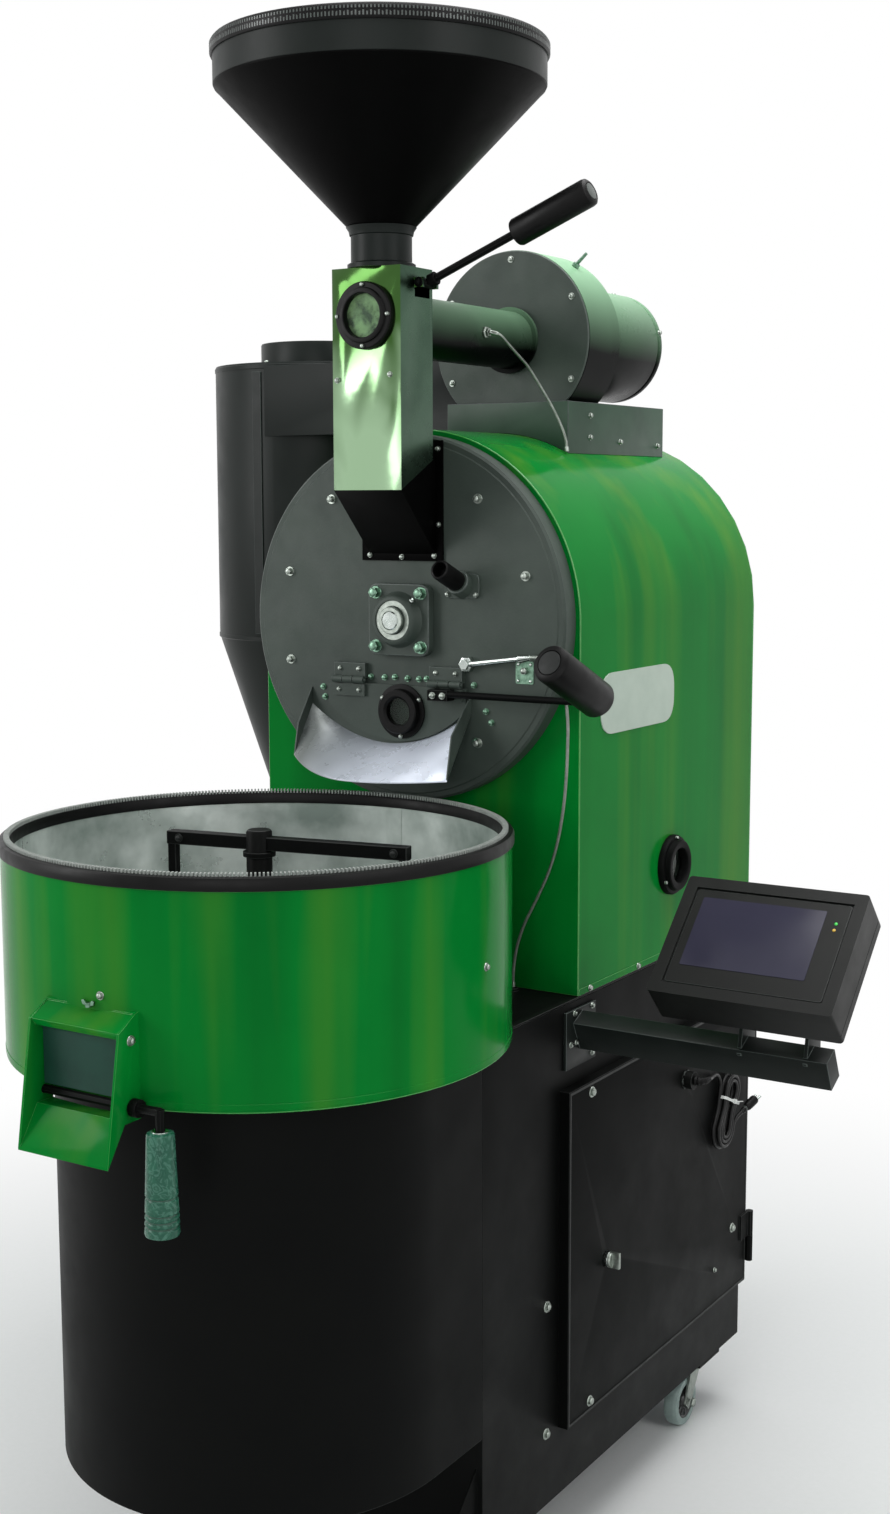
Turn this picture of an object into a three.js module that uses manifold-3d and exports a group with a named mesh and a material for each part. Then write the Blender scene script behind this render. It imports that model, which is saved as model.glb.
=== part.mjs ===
// A drum coffee roaster on casters, with its cooling bin in front and its cyclone at the left rear.
// Millimetres, +Z up. The drum face looks along -Y and the drum axis runs along Y above x = 0.
import * as THREE from "three";
import Module from "manifold-3d";

const wasm = await Module();
wasm.setup();

// Fits shared by all pieces
const seat_gap = 0.3;
const turn_gap = 1;
const overrun = 5;
const sheet = 3;
const weld_grid = 0.0001;

// Numbers of flats on round pieces
const large_sides = 36;
const medium_sides = 16;
const drum_sides = 28;
const small_sides = 12;
const pin_sides = 8;

// Cabinet, deck and service door
const cabinet_width = 493.5;
const cabinet_front = -210;
const cabinet_rear = 566;
const cabinet_bottom = 105;
const deck_top = 764.5;
const service_front = -20;
const service_rear = 555;
const service_bottom = 199;
const service_top = 652;
const service_proud = 15;
const service_lap = 30;
const service_hinge_radius = 6;
const service_hinge_length = 40;
const service_hinge_inset = 70;
const service_pin_radius = 2.6;
const service_leaf = 24;
const lock_y = 86;
const lock_z = 396;
const lock_radius = 11;
const lock_proud = 10;
const lock_wing_width = 5;
const lock_cam_length = 24;
const lock_shaft_radius = 5;

// Casters
const wheel_radius = 37.5;
const wheel_width = 22;
const wheel_bore = 5;
const wheel_trail = 30;
const wheel_groove = 2.5;
const caster_x = 209;
const caster_rear_y = 468;
const caster_front_y = -262;
const fork_wall = 3;
const fork_clearance = 7;
const wheel_sides = 24;
const kingpin_radius = 5;
const caster_seat = 8;
const fork_depth = 36;
const fork_plate = 70;
const fork_boss_radius = 20;
const bracket_width = 60;
const bracket_top = 225;

// Skirt and cooling bin
const bin_center_y = -315;
const skirt_bottom = 265;
const skirt_beam = 40;
const bin_radius = 300.8;
const bin_bottom = 760;
const bin_top = 1013;
const bin_floor_z = 775;
const liner_space = 9.8;
const bin_liner_radius = bin_radius - liner_space;
const bin_front = bin_center_y - bin_radius;
const bin_rim_width = 15;
const bin_rim_height = 15;
const bin_ledge = 18;

// Outlet of the cooling bin
const port_width = 100;
const port_top = 835;
const hood_width = 128;
const hood_top = 868;
const hood_reach = 46.2;
const hood_front = bin_front - hood_reach;
const hood_lip_bottom = 708;
const hood_drop = 6;
const hood_lip_setback = 22;
const hood_return = 22;
const hood_corner = 26;
const hood_heel = 750;
const gate_thickness = 2.5;
const gate_reach = 6.2;
const gate_axis_y = bin_front - gate_reach;
const gate_axis_z = 838;
const gate_pin_radius = 3;
const lever_shaft_y = gate_axis_y;
const lever_shaft_z = 766;
const lever_shaft_radius = 5;
const lever_boss_radius = 10;
const gate_grip_x = 106;
const gate_grip_drop = 18;
const gate_grip_length = 112;
const gate_grip_top_radius = 15;
const gate_grip_radius = 19;
const hood_chute_reach = 18.2;
const hood_chute_start = bin_front - hood_chute_reach;
const hood_floor = 3.6;
const gate_bottom = 773;
const grip_round = 3;
const grip_groove = 1.6;
const grip_groove_levels = [0.62, 0.78, 0.84, 0.9];

// Stirrer
const stirrer_post_radius = 15.5;
const stirrer_top = 1012;
const stirrer_bar = 16;
const stirrer_bar_top = 1004;
const stirrer_left = 122;
const stirrer_right = 194;
const stirrer_turn = 9.8;
const stirrer_leg = 11;
const scraper_length = 90;
const scraper_height = 28;
const floor_clearance = 3;
const gearmotor_width = 110;
const stirrer_motor_radius = 42;
const stirrer_motor_length = 130;

const stirrer_shaft_radius = 11;
const stirrer_engagement = 30;
const stirrer_drive_bottom = 655;
const stirrer_drive_top = 748;
const bin_rim_proud = 2.5;

// Cooling blower inside the cabinet
const blower_y = 60;
const blower_radius = 150;
const blower_width = 130;
const blower_outlet = 110;
const blower_motor_radius = 65;
const blower_motor_length = 110;
const blower_foot = 16;

// Housing and drum
const half_width = cabinet_width / 2;
const drum_axis_z = 1244.5;
const arch_top = drum_axis_z + half_width;
const plate_reveal = 6.75;
const plate_radius = half_width - plate_reveal;
const plate_depth = 28.7;
const housing_rear = 578;
const casing_space = 24.75;
const casing_radius = half_width - casing_space;
const casing_rear = 556;
const casing_slot = 150;
const drum_space = 20;
const drum_radius = casing_radius - drum_space;
const drum_wall = 5;
const drum_front = 36;
const drum_length = 490;
const drum_hub_radius = 34;
const drum_hub_length = 50;
const drum_vane = 26;
const drum_spoke = 26;
const shaft_radius = 12.5;
const shaft_front = -34;
const shaft_rear = 690;
const bearing_size = 94;
const bearing_flange = 13;
const bearing_depth = 28;
const bearing_boss_radius = 33;
const bearing_bolt_pitch = 70;
const bearing_bolt_radius = 9;
const bearing_bolt_height = 9;
const plate_bolt_inset = 47;
const plate_bolt_circle = plate_radius - plate_bolt_inset;
const plate_bolt_radius = 7;
const plate_bolt_height = 9;
const plate_bolts = 10;
const bolt_under_wedge = 2;
const drum_motor_width = 120;
const drum_motor_depth = 86;
const drum_motor_radius = 62;
const drum_motor_length = 190;
const burner_top = 985;
const burner_bar_radius = 13;
const burner_bars = 4;
const burner_length = 420;
const burner_pitch = 52;
const peep_y = 300;
const peep_z = 894;
const peep_radius = 42;
const peep_bore = 24;
const peep_proud = 16;
const drum_spider_y = 190;
const drum_motor_drop = 30;
const drum_foot = 22;
const burner_front = 80;

// Sampler
const sampler_x = 91;
const sampler_z = 1290;
const sampler_tilt = 22;
const sampler_radius = 9;
const sampler_knob_radius = 13;
const sampler_knob_length = 46;
const sampler_inside = 120;
const sampler_sleeve_radius = 16;
const sampler_sleeve_length = 8;
const sampler_flange = 52;
const sampler_scoop_from = 50;

// Discharge door, its hinges and lever
const door_axis_z = 1163;
const door_axis_y = -10;
const door_left = -118;
const door_right = 98;
const door_bottom = 1084;
const door_thickness = 5;
const door_port_lap = 14;
const door_knuckle_radius = 5;
const hinge_pin_radius = 2.2;
const hinge_width = 50;
const hinge_height = 22;
const hinge_leaf = 4;
const hinge_left_x = -82;
const hinge_right_x = 69;
const door_ring_z = 1124;
const door_ring_radius = 29;
const door_ring_bore = 18;
const door_ring_proud = 13;
const door_rod_radius = 4.5;
const door_rod_z = 1152;
const door_rod_y = -24;
const door_rod_end = 306;
const door_grip_radius = 23.5;
const door_grip_length = 124;
const door_grip_rise = 26;
const door_grip_turn = 4;
const door_grip_start = 10;
const door_bottom_rise = 46;
const door_block_width = 30;

// Spout under the door
const spout_left = -150;
const spout_right = 104;
const spout_sheet = 2;
const spout_back_dip = 1080;
const spout_back_edge = 1128;
const spout_lip_left = 1062;
const spout_lip_mid = 1042;
const spout_lip_right = 1046;
const spout_reach_left = 42;
const spout_reach_mid = 98;
const spout_reach_right = 60;
const spout_cheek_share = 0.8;
const spout_cheek_top = 1150;
const spout_cheek_front = 1102;
const spout_columns = 12;
const spout_rows = 4;

// Drum probe and its cable
const probe_x = 100;
const probe_z = 1190;
const probe_radius = 4;
const probe_nut_radius = 11;
const probe_nut_height = 14;
const probe_end_x = 204;
const probe_end_y = -24;
const probe_end_z = 1204;

// Hopper, chute and feed lever
const fan_lift = 126.35;
const fan_z = arch_top + fan_lift;
const chute_head = 65;
const chute_top = fan_z + chute_head;
const hopper_neck_height = 45.4;
const hopper_neck_top = chute_top + hopper_neck_height;
const hopper_cone_height = 171;
const hopper_band_bottom = hopper_neck_top + hopper_cone_height;
const hopper_band_height = 52;
const hopper_top = hopper_band_bottom + hopper_band_height;
const feed_x = 20;
const hopper_y = -76;
const hopper_radius = 208;
const hopper_trim_height = 17;
const hopper_trim_width = 5;
const hopper_band_radius = 204;
const hopper_neck_radius = 37.4;
const chute_width = 101.5;
const chute_front = -111;
const chute_depth = 72.3;
const chute_sheet = 2;
const wedge_lift = 85.5;
const wedge_bottom = drum_axis_z + wedge_lift;
const wedge_depth = 81.6;
const chute_bottom = wedge_bottom + wedge_depth;
const chute_slant = 37.4;
const chute_back_bottom = chute_bottom + chute_slant;
const wedge_top = chute_back_bottom + turn_gap;
const wedge_flange_width = 125;
const wedge_flange_lap = 9;
const wedge_flange_bottom = wedge_bottom - wedge_flange_lap;
const wedge_flange_rise = 25;
const wedge_flange_top = wedge_top + wedge_flange_rise;
const wedge_flange = 3;
const wedge_port = 92;
const sight_lift = 6.4;
const sight_z = fan_z + sight_lift;
const sight_radius = 41;
const sight_bore = 27;
const sight_proud = 11;
const feed_axis_y = -62;
const feed_lift = 46.4;
const feed_axis_z = fan_z + feed_lift;
const feed_hub_radius = 6;
const feed_hub_length = 26;
const feed_pin_radius = 3;
const feed_ear = 4;
const feed_rise = 21.8;
const feed_rod_radius = 5;
const feed_rod_length = 136;
const feed_grip_radius = 17;
const feed_grip_length = 110;
const feed_flap_width = 84;
const feed_flap_depth = 62;
const feed_flap_thickness = 2;
const feed_window_width = 34;
const feed_flap_start = 13.5;

// Exhaust pipe, fan and cyclone
const fan_y = 243;
const pipe_radius = 39;
const pipe_bend_boss = 8;
const pipe_boss_y = 108;
const fan_radius = 121.6;
const fan_depth = 92;
const fan_cover_sheet = 3;
const fan_screw_radius = 4;
const fan_screw_height = 4;
const fan_screw_inset = 11.6;
const fan_screw_circle = fan_radius - fan_screw_inset;
const fan_screws = 6;
const fan_screw_phase = 0.5;
const saddle_share = 0.75;
const saddle_thick = 14;
const saddle_rise_share = 1 / 3;
const impeller_gap = 8;
const motor_radius = 80;
const motor_rear = 560;
const motor_rise = 8;
const motor_neck_radius = 60;
const motor_neck = 22;
const impeller_radius = 96;
const impeller_width = 60;
const impeller_blades = 6;
const impeller_shaft_radius = 8;
const duct_height = 104;
const duct_tip = 14;
const fan_bracket_left = -77;
const fan_bracket_right = 117;
const fan_bracket_front = 232;
const fan_bracket_rear = 528;
const fan_bracket_drop = 84.6;
const fan_bracket_top = fan_z - fan_bracket_drop;
const damper_x = 92;
const damper_lift = 104.4;
const damper_z = fan_z + damper_lift;
const damper_y = 300;
const damper_radius = 4;
const damper_length = 34;
const damper_hub_radius = 8;
const damper_rod_place = 12;
const cyclone_x = -426;
const cyclone_y = 412;
const cyclone_radius = 166;
const cyclone_drop = 11.6;
const cyclone_top = fan_z - cyclone_drop;
const cyclone_cone_top = 1188;
const cyclone_outlet_z = 800;
const cyclone_outlet_radius = 50;
const cyclone_cone_bottom = 832;
const collar_radius = 93;
const collar_height = 36;
const collar_dip = 120;
const cyclone_lug_depth = 60;
const cyclone_lug_height = 50;
const chaff_radius = 112;
const chaff_bottom = 520;
const shelf_brace = 120;

// Operator screen and its arm
const arm_width = 42;
const arm_height = 28;
const arm_y = 30;
const arm_z = 722;
const arm_roll = 26;
const arm_end = 592;
const arm_flange_front = -10;
const arm_flange_rear = 70;
const arm_flange_bottom = 676;
const arm_flange_top = 752;
const arm_flange = 4;
const screen_width = 230;
const screen_height = 168;
const screen_depth = 58;
const screen_x = 521;
const screen_y = -20;
const screen_z = 862;
const screen_tilt = 45.8;
const screen_lip = 6;
const screen_lip_border = 15;
const screen_pivot_radius = 5;
const screen_pivot_y = 40;
const screen_pivot_z = 806;
const screen_ear = 5;
const screen_ear_gap = 90;
const screen_ear_width = 30;

// Leads: the power lead is wound into a hank beside the service door's gland
const gland_y = 328;
const gland_z = 579;
const gland_radius = 13;
const gland_proud = 14;
const lead_radius = 2.9;
const lead_points = [[276.05, 328, 579], [281, 328.6, 579], [286, 332, 578.9], [288, 338, 578.6],
  [287, 352, 577],
  [283, 370, 573.5], [276, 391, 569], [271.2, 409, 565.5], [269.2, 421.5, 561.8], [268.8, 430.6, 553.3],
  [268.75, 434.4, 544.6]];
const lead_steps = 14;
const cord_sides = 8;
const hank_length = 118;
const hank_inner_half = 11;
const hank_waist_half = 6.5;
const hank_pitch = 6.7;
const hank_layers = 2;
const hank_turns_per_layer = 3;
const hank_loop_steps = 24;
const hank_sides = 6;
const hank_top_z = 561;
const hank_y = 452;
const hank_proud = 7;
const hank_lean = 24;
const hank_run_share = 0.25;
const hank_start_share = 0.45;
const hank_short_turns = 0.6;
const hank_exit_steps = 4;
const hank_exit_step = 5.5;
const hank_exit_bend = 20;
const hank_exit_lift = 0.3;
const plug_radius = 7;
const plug_length = 34;
const plug_pin_radius = 2;
const plug_pin_length = 9;
const plug_neck_radius = 5;
const plug_pin_pitch = 7;
const cable_radius = 2;
const probe_cable_points = [[204.6, -24.2, 1204.1], [214, -25, 1205], [226, -22, 1200], [238, -17, 1184],
  [246, -12, 1160], [250, -10, 1128], [249, -8, 1090], [245, -4, 1050], [238, 2, 1012], [226, 8, 965],
  [211, 12, 925], [193, 13, 888], [176, 13, 855], [165, 14, 825], [160, 14, 797], [159, 14, 780],
    [159, 14, 769.1]];
const probe_cable_steps = 28;
const grommet_radius = 7;
const grommet_height = 4;
const exhaust_cable_points = [[67.3, 108, 1617.6], [73, 108.6, 1617.2], [79, 115, 1613], [82, 130, 1603],
  [84, 152, 1590], [86, 174, 1577],
  [92, 192, 1556], [101, 206, 1532], [110, 216, 1508], [116, 221, 1490], [119, 223, 1477],
    [120, 223.5, 1464]];
const exhaust_cable_steps = 16;

const service_axis_x = half_width + service_proud + service_hinge_radius / 2;
const service_axis_y = service_rear + service_hinge_radius + turn_gap;
const service_hinge_levels = [service_bottom + service_hinge_inset, service_top - service_hinge_inset];
const turned_quarter = Math.PI / 2;

const roaster = new THREE.Group();

// Makes a welded solid with its faces pointing out from a closed three.js geometry.
function solidOf(geometry) {
  const flat = geometry.index ? geometry.toNonIndexed() : geometry;
  const position = flat.getAttribute("position");
  const seen = new Map();
  const points = [];
  const corners = [];
  for (let i = 0; i < position.count; i += 1) {
    const place = [position.getX(i), position.getY(i), position.getZ(i)];
    const key = place.map((value) => Math.round(value / weld_grid)).join();
    if (!seen.has(key)) {
      seen.set(key, points.length / 3);
      points.push(...place);
    }
    corners.push(seen.get(key));
  }
  let triangles = [];
  let volume = 0;
  for (let i = 0; i < corners.length; i += 3) {
    const [a, b, c] = corners.slice(i, i + 3);
    if (a === b || b === c || c === a) continue;
    triangles.push([a, b, c]);
    const [p, q, r] = [a, b, c].map((k) => new THREE.Vector3().fromArray(points, 3 * k));
    volume += p.dot(q.cross(r));
  }
  if (volume < 0) triangles = triangles.map(([a, b, c]) => [a, c, b]);
  const mesh = new wasm.Mesh({
    numProp: 3,
    vertProperties: new Float32Array(points),
    triVerts: new Uint32Array(triangles.flat()),
  });
  return new wasm.Manifold(mesh);
}

function join(first, ...others) {
  return others.reduce((whole, other) => whole.add(other), first);
}

function cut(first, ...others) {
  return others.reduce((whole, other) => whole.subtract(other), first);
}

function place(name, solid, color, roughness, metalness) {
  const mesh = solid.getMesh();
  const geometry = new THREE.BufferGeometry();
  geometry.setAttribute("position", new THREE.BufferAttribute(new Float32Array(mesh.vertProperties), 3));
  geometry.setIndex(new THREE.BufferAttribute(new Uint32Array(mesh.triVerts), 1));
  geometry.computeVertexNormals();
  const material = new THREE.MeshStandardMaterial({ color, roughness, metalness });
  const part = new THREE.Mesh(geometry, material);
  part.name = name;
  roaster.add(part);
}

// A block between two corners.
function block(x0, x1, y0, y1, z0, z1) {
  const geometry = new THREE.BoxGeometry(x1 - x0, y1 - y0, z1 - z0);
  geometry.translate((x0 + x1) / 2, (y0 + y1) / 2, (z0 + z1) / 2);
  return solidOf(geometry);
}

// A round bar or cone between two points.
function bar(radius, from, to, sides, end_radius = radius) {
  const start = new THREE.Vector3(...from);
  const way = new THREE.Vector3(...to).sub(start);
  const geometry = new THREE.CylinderGeometry(end_radius, radius, way.length(), sides);
  geometry.translate(0, way.length() / 2, 0);
  const turn = new THREE.Quaternion().setFromUnitVectors(new THREE.Vector3(0, 1, 0),
    way.clone().normalize());
  geometry.applyQuaternion(turn);
  geometry.translate(...start.toArray());
  return solidOf(geometry);
}

// A turned shape: profile points are [radius, distance along the axis] from a base point.
function turned(profile, base, axis, sides) {
  const outline = profile.map(([radius, along]) => new THREE.Vector2(radius, along));
  const closed = outline.every((point) => point.x > 0);
  if (closed) outline.push(outline[0].clone());
  const geometry = new THREE.LatheGeometry(outline, sides);
  const up = new THREE.Vector3(0, 1, 0);
  geometry.applyQuaternion(new THREE.Quaternion().setFromUnitVectors(up, new THREE.Vector3(...axis)));
  geometry.translate(...base);
  return solidOf(geometry);
}

// An outline of [across, up] points pushed along "x", "y" or "z" between two levels.
function pushed(outline, axis, from, to) {
  const ready = outline instanceof THREE.Shape;
  const shape = ready ? outline : new THREE.Shape(outline.map((p) => new THREE.Vector2(...p)));
  const geometry = new THREE.ExtrudeGeometry(shape,
    { depth: to - from, bevelEnabled: false, curveSegments: pin_sides });
  geometry.translate(0, 0, from);
  const x = new THREE.Vector3(1, 0, 0);
  const y = new THREE.Vector3(0, 1, 0);
  const z = new THREE.Vector3(0, 0, 1);
  const bases = { x: [y, z, x], y: [x, z, y], z: [x, y, z] };
  geometry.applyMatrix4(new THREE.Matrix4().makeBasis(...bases[axis]));
  return solidOf(geometry);
}

// A ring or tube between two radii.
function ring(outer, inner, from, length, base, axis, sides) {
  const profile = [[inner, from], [outer, from], [outer, from + length], [inner, from + length]];
  return turned(profile, base, axis, sides);
}

// A hexagon bolt head.
function bolt(radius, from, to) {
  return bar(radius, from, to, 6);
}

function arc(cx, cy, radius, start, end, steps) {
  const points = [];
  for (let i = 0; i <= steps; i += 1) {
    const angle = start + ((end - start) * i) / steps;
    points.push([cx + radius * Math.cos(angle), cy + radius * Math.sin(angle)]);
  }
  return points;
}

function aroundX(solid, degrees, y, z) {
  return solid.translate([0, -y, -z]).rotate([degrees, 0, 0]).translate([0, y, z]);
}

// Cabinet: an open-topped sheet box with a door opening, caster brackets and the chaff shelf.
function baseCabinet() {
  const top = deck_top - sheet - seat_gap;
  const outer = block(-half_width, half_width, cabinet_front, cabinet_rear, cabinet_bottom, top);
  const inner = block(-half_width + sheet, half_width - sheet, cabinet_front + sheet, cabinet_rear - sheet,
    cabinet_bottom + sheet, top + overrun);
  const doorway = block(half_width - sheet - overrun, half_width + overrun,
    lock_y - lock_shaft_radius - 2 * turn_gap,
    service_rear - service_lap, service_bottom + service_lap, service_top - service_lap);
  let cabinet = cut(outer, inner, doorway);
  for (const side of [-1, 1]) {
    const x = side * caster_x;
    const bracket = block(x - bracket_width / 2, x + bracket_width / 2, caster_front_y - fork_plate / 2,
      cabinet_front + seat_gap, cabinet_bottom, cabinet_bottom + sheet);
    const web = pushed([[cabinet_front + seat_gap, cabinet_bottom],
      [caster_front_y - fork_plate / 2, cabinet_bottom],
      [caster_front_y - fork_plate / 2, cabinet_bottom + fork_plate / 2],
        [cabinet_front + seat_gap, bracket_top]],
      "x", x + bracket_width / 2 - sheet, x + bracket_width / 2);
    cabinet = join(cabinet, bracket, web);
  }
  const shelf_top = chaff_bottom - seat_gap;
  const shelf = block(cyclone_x - chaff_radius, -half_width + seat_gap, cyclone_y - chaff_radius,
    cyclone_y + chaff_radius,
    shelf_top - sheet, shelf_top);
  const brace = pushed([[-half_width + seat_gap, shelf_top - sheet / 2],
    [cyclone_x - chaff_radius, shelf_top - sheet / 2],
    [-half_width + seat_gap, shelf_top - shelf_brace]], "y", cyclone_y - sheet, cyclone_y + sheet);
  const posts = service_hinge_levels.map(servicePost);
  const seats = casterPlaces().map(([, x, y]) => casterSeat(x, y));
  const pivots = casterPlaces().map(([, x, y]) => bar(kingpin_radius + turn_gap / 2,
    [x, y, cabinet_bottom - caster_seat - overrun], [x, y, cabinet_bottom + sheet / 2], pin_sides));
  const bay = bar(bin_radius + turn_gap, [0, bin_center_y, bin_bottom - seat_gap],
    [0, bin_center_y, deck_top + overrun],
    large_sides);
  return cut(join(cabinet, shelf, brace, ...posts, ...seats), bay, ...pivots);
}

function casterPlaces() {
  return [["front_left", -caster_x, caster_front_y], ["front_right", caster_x, caster_front_y],
    ["rear_left", -caster_x, caster_rear_y], ["rear_right", caster_x, caster_rear_y]];
}

function casterSeat(x, y) {
  return block(x - fork_plate / 2, x + fork_plate / 2, y - fork_plate / 2, y + fork_plate / 2,
    cabinet_bottom - caster_seat, cabinet_bottom + sheet / 2);
}

// The cabinet's half of a door hinge: a post, a lower barrel and the pin.
function servicePost(z) {
  const barrel_bottom = z - service_hinge_length;
  const post = block(half_width - sheet, service_axis_x, service_axis_y - service_hinge_radius + turn_gap,
    cabinet_rear, barrel_bottom, z - turn_gap / 2);
  const barrel = bar(service_hinge_radius, [service_axis_x, service_axis_y, barrel_bottom],
    [service_axis_x, service_axis_y, z - turn_gap / 2], pin_sides);
  const pin = bar(service_pin_radius, [service_axis_x, service_axis_y, barrel_bottom],
    [service_axis_x, service_axis_y, z + service_hinge_length / 2], pin_sides);
  return join(post, barrel, pin);
}

// Deck: the top of the cabinet, cut round the cooling bin.
function deckPlate() {
  const deck = block(-half_width, half_width, cabinet_front, cabinet_rear, deck_top - sheet, deck_top);
  const bay = bar(bin_radius + bin_rim_proud + turn_gap, [0, bin_center_y, deck_top - sheet - overrun],
    [0, bin_center_y, deck_top + overrun], large_sides);
  const [x, y] = probe_cable_points[probe_cable_points.length - 1];
  const grommet = bar(grommet_radius, [x, y, deck_top - sheet / 2], [x, y, deck_top + grommet_height],
    small_sides);
  return join(cut(deck, bay), grommet);
}

// Service door: a pan with a hinge on its rear edge and the gland of the power lead.
function serviceDoor() {
  const back = half_width + seat_gap;
  const face = half_width + service_proud;
  const pan = block(back, face, service_front, service_rear, service_bottom, service_top);
  const hollow = block(back - overrun, face - sheet, service_front + sheet, service_rear - sheet,
    service_bottom + sheet, service_top - sheet);
  const lock_hole = bar(lock_shaft_radius + turn_gap, [back - overrun, lock_y, lock_z],
    [face + overrun, lock_y, lock_z],
    small_sides);
  const leaves = service_hinge_levels.map((z) => {
    const leaf = block(face - sheet / 2, service_axis_x, service_rear - service_leaf, service_axis_y,
      z + turn_gap / 2, z + service_hinge_length);
    const barrel = bar(service_hinge_radius, [service_axis_x, service_axis_y, z + turn_gap / 2],
      [service_axis_x, service_axis_y, z + service_hinge_length], pin_sides);
    const bore = bar(service_pin_radius + turn_gap / 2, [service_axis_x, service_axis_y, z - overrun],
      [service_axis_x, service_axis_y, z + service_hinge_length / 2 + turn_gap], pin_sides);
    return cut(join(leaf, barrel), bore);
  });
  const gland = bar(gland_radius, [face - sheet, gland_y, gland_z], [face + gland_proud, gland_y, gland_z],
    small_sides);
  const lips = service_hinge_levels.map((z) => bar(service_hinge_radius + turn_gap,
    [service_axis_x, service_axis_y, z - service_hinge_length - turn_gap],
      [service_axis_x, service_axis_y, z], small_sides));
  return join(cut(pan, hollow, lock_hole, ...lips), ...leaves, gland);
}

// Quarter-turn lock: a round head with a finger wing, a shaft and a cam behind the door.
function doorLock() {
  const face = half_width + service_proud;
  const head = bar(lock_radius, [face + seat_gap, lock_y, lock_z], [face + lock_proud, lock_y, lock_z],
    small_sides);
  const wing = block(face + lock_proud / 2, face + lock_proud * 2, lock_y - lock_wing_width / 2,
    lock_y + lock_wing_width / 2, lock_z - lock_radius, lock_z + lock_radius);
  const cam_back = half_width - 2 * sheet - turn_gap;
  const shaft = bar(lock_shaft_radius, [cam_back, lock_y, lock_z], [face + lock_proud / 2, lock_y, lock_z],
    small_sides);
  const cam = block(cam_back, cam_back + sheet, lock_y - lock_shaft_radius, lock_y + lock_shaft_radius,
    lock_z - lock_shaft_radius, lock_z + lock_cam_length);
  return join(head, wing, shaft, cam);
}

// Caster fork: crown with a kingpin, two legs trailing behind it and the axle.
function casterFork(x, y) {
  const crown_top = cabinet_bottom - caster_seat - turn_gap;
  const crown_bottom = 2 * wheel_radius + fork_clearance;
  const crown = bar(fork_boss_radius, [x, y, crown_bottom], [x, y, crown_top], small_sides);
  const kingpin = bar(kingpin_radius, [x, y, crown_bottom], [x, y, cabinet_bottom - turn_gap], pin_sides);
  const axle_y = y - wheel_trail;
  const inner = wheel_width / 2 + turn_gap;
  const legs = [-1, 1].map((side) => {
    const outline = [[y + fork_depth / 2, crown_top - turn_gap], [y - fork_depth / 2, crown_top - turn_gap],
      [axle_y - fork_depth / 3, wheel_radius], [axle_y, wheel_radius - fork_depth / 3],
      [axle_y + fork_depth / 3, wheel_radius]];
    const from = side < 0 ? x - inner - fork_wall : x + inner;
    return pushed(outline, "x", from, from + fork_wall);
  });
  const bridge = block(x - inner - fork_wall, x + inner + fork_wall, y - fork_depth / 2, y + fork_depth / 2,
    crown_bottom, crown_top - turn_gap);
  const axle = bar(wheel_bore, [x - inner - fork_wall - turn_gap, axle_y, wheel_radius],
    [x + inner + fork_wall + turn_gap, axle_y, wheel_radius], pin_sides);
  return join(crown, kingpin, ...legs, bridge, axle);
}

// Caster wheel: one of its flats faces the floor.
function casterWheel(x, y) {
  const corner = wheel_radius / Math.cos(Math.PI / wheel_sides);
  const half = wheel_width / 2;
  const profile = [[wheel_bore + turn_gap / 2, -half], [corner - wheel_groove, -half],
    [corner, wheel_groove - half],
    [corner, half - wheel_groove], [corner - wheel_groove, half], [wheel_bore + turn_gap / 2, half]];
  const wheel = turned(profile, [0, 0, 0], [1, 0, 0], wheel_sides);
  return wheel.rotate([180 / wheel_sides, 0, 0]).translate([x, y - wheel_trail, wheel_radius]);
}

// Skirt: the D-shaped stand of the cooling bin, with the beam that carries the stirrer drive.
function binSkirt() {
  const top = bin_bottom - seat_gap;
  const back = cabinet_front - seat_gap;
  const wall = (inset, from,
    to) => pushed([[half_width - inset, back + inset], [half_width - inset, bin_center_y],
    ...arc(0, bin_center_y, half_width - inset, 0, -Math.PI, large_sides / 2).slice(1),
    [inset - half_width, back + inset]], "z", from, to);
  const shell = cut(wall(0, skirt_bottom, top), wall(sheet, skirt_bottom - overrun, top + overrun));
  const beam_top = stirrer_drive_bottom;
  const beam = block(sheet - half_width, half_width - sheet, bin_center_y - skirt_beam / 2,
    bin_center_y + skirt_beam / 2,
    beam_top - sheet, beam_top - seat_gap);
  return join(shell, beam);
}

// Bin wall: an outer skin with a ledge below and the rolled rim on top.
function binWall() {
  const inner = bin_radius - sheet;
  const rim_bottom = bin_top - bin_rim_height;
  const rim_outer = bin_radius + bin_rim_proud;
  const profile = [[half_width - sheet - bin_ledge, bin_bottom], [bin_radius, bin_bottom],
    [bin_radius, rim_bottom],
    [rim_outer, rim_bottom], [rim_outer, bin_top], [rim_outer - bin_rim_width, bin_top],
    [rim_outer - bin_rim_width, rim_bottom], [inner, rim_bottom], [inner, bin_bottom + sheet],
    [half_width - sheet - bin_ledge, bin_bottom + sheet]];
  return cut(turned(profile, [0, bin_center_y, 0], [0, 0, 1], large_sides), ...portCuts());
}

function portCuts() {
  return [block(-port_width / 2, port_width / 2, bin_center_y - bin_radius - overrun,
    bin_center_y - bin_liner_radius / 2,
    bin_floor_z + sheet, port_top)];
}

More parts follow.
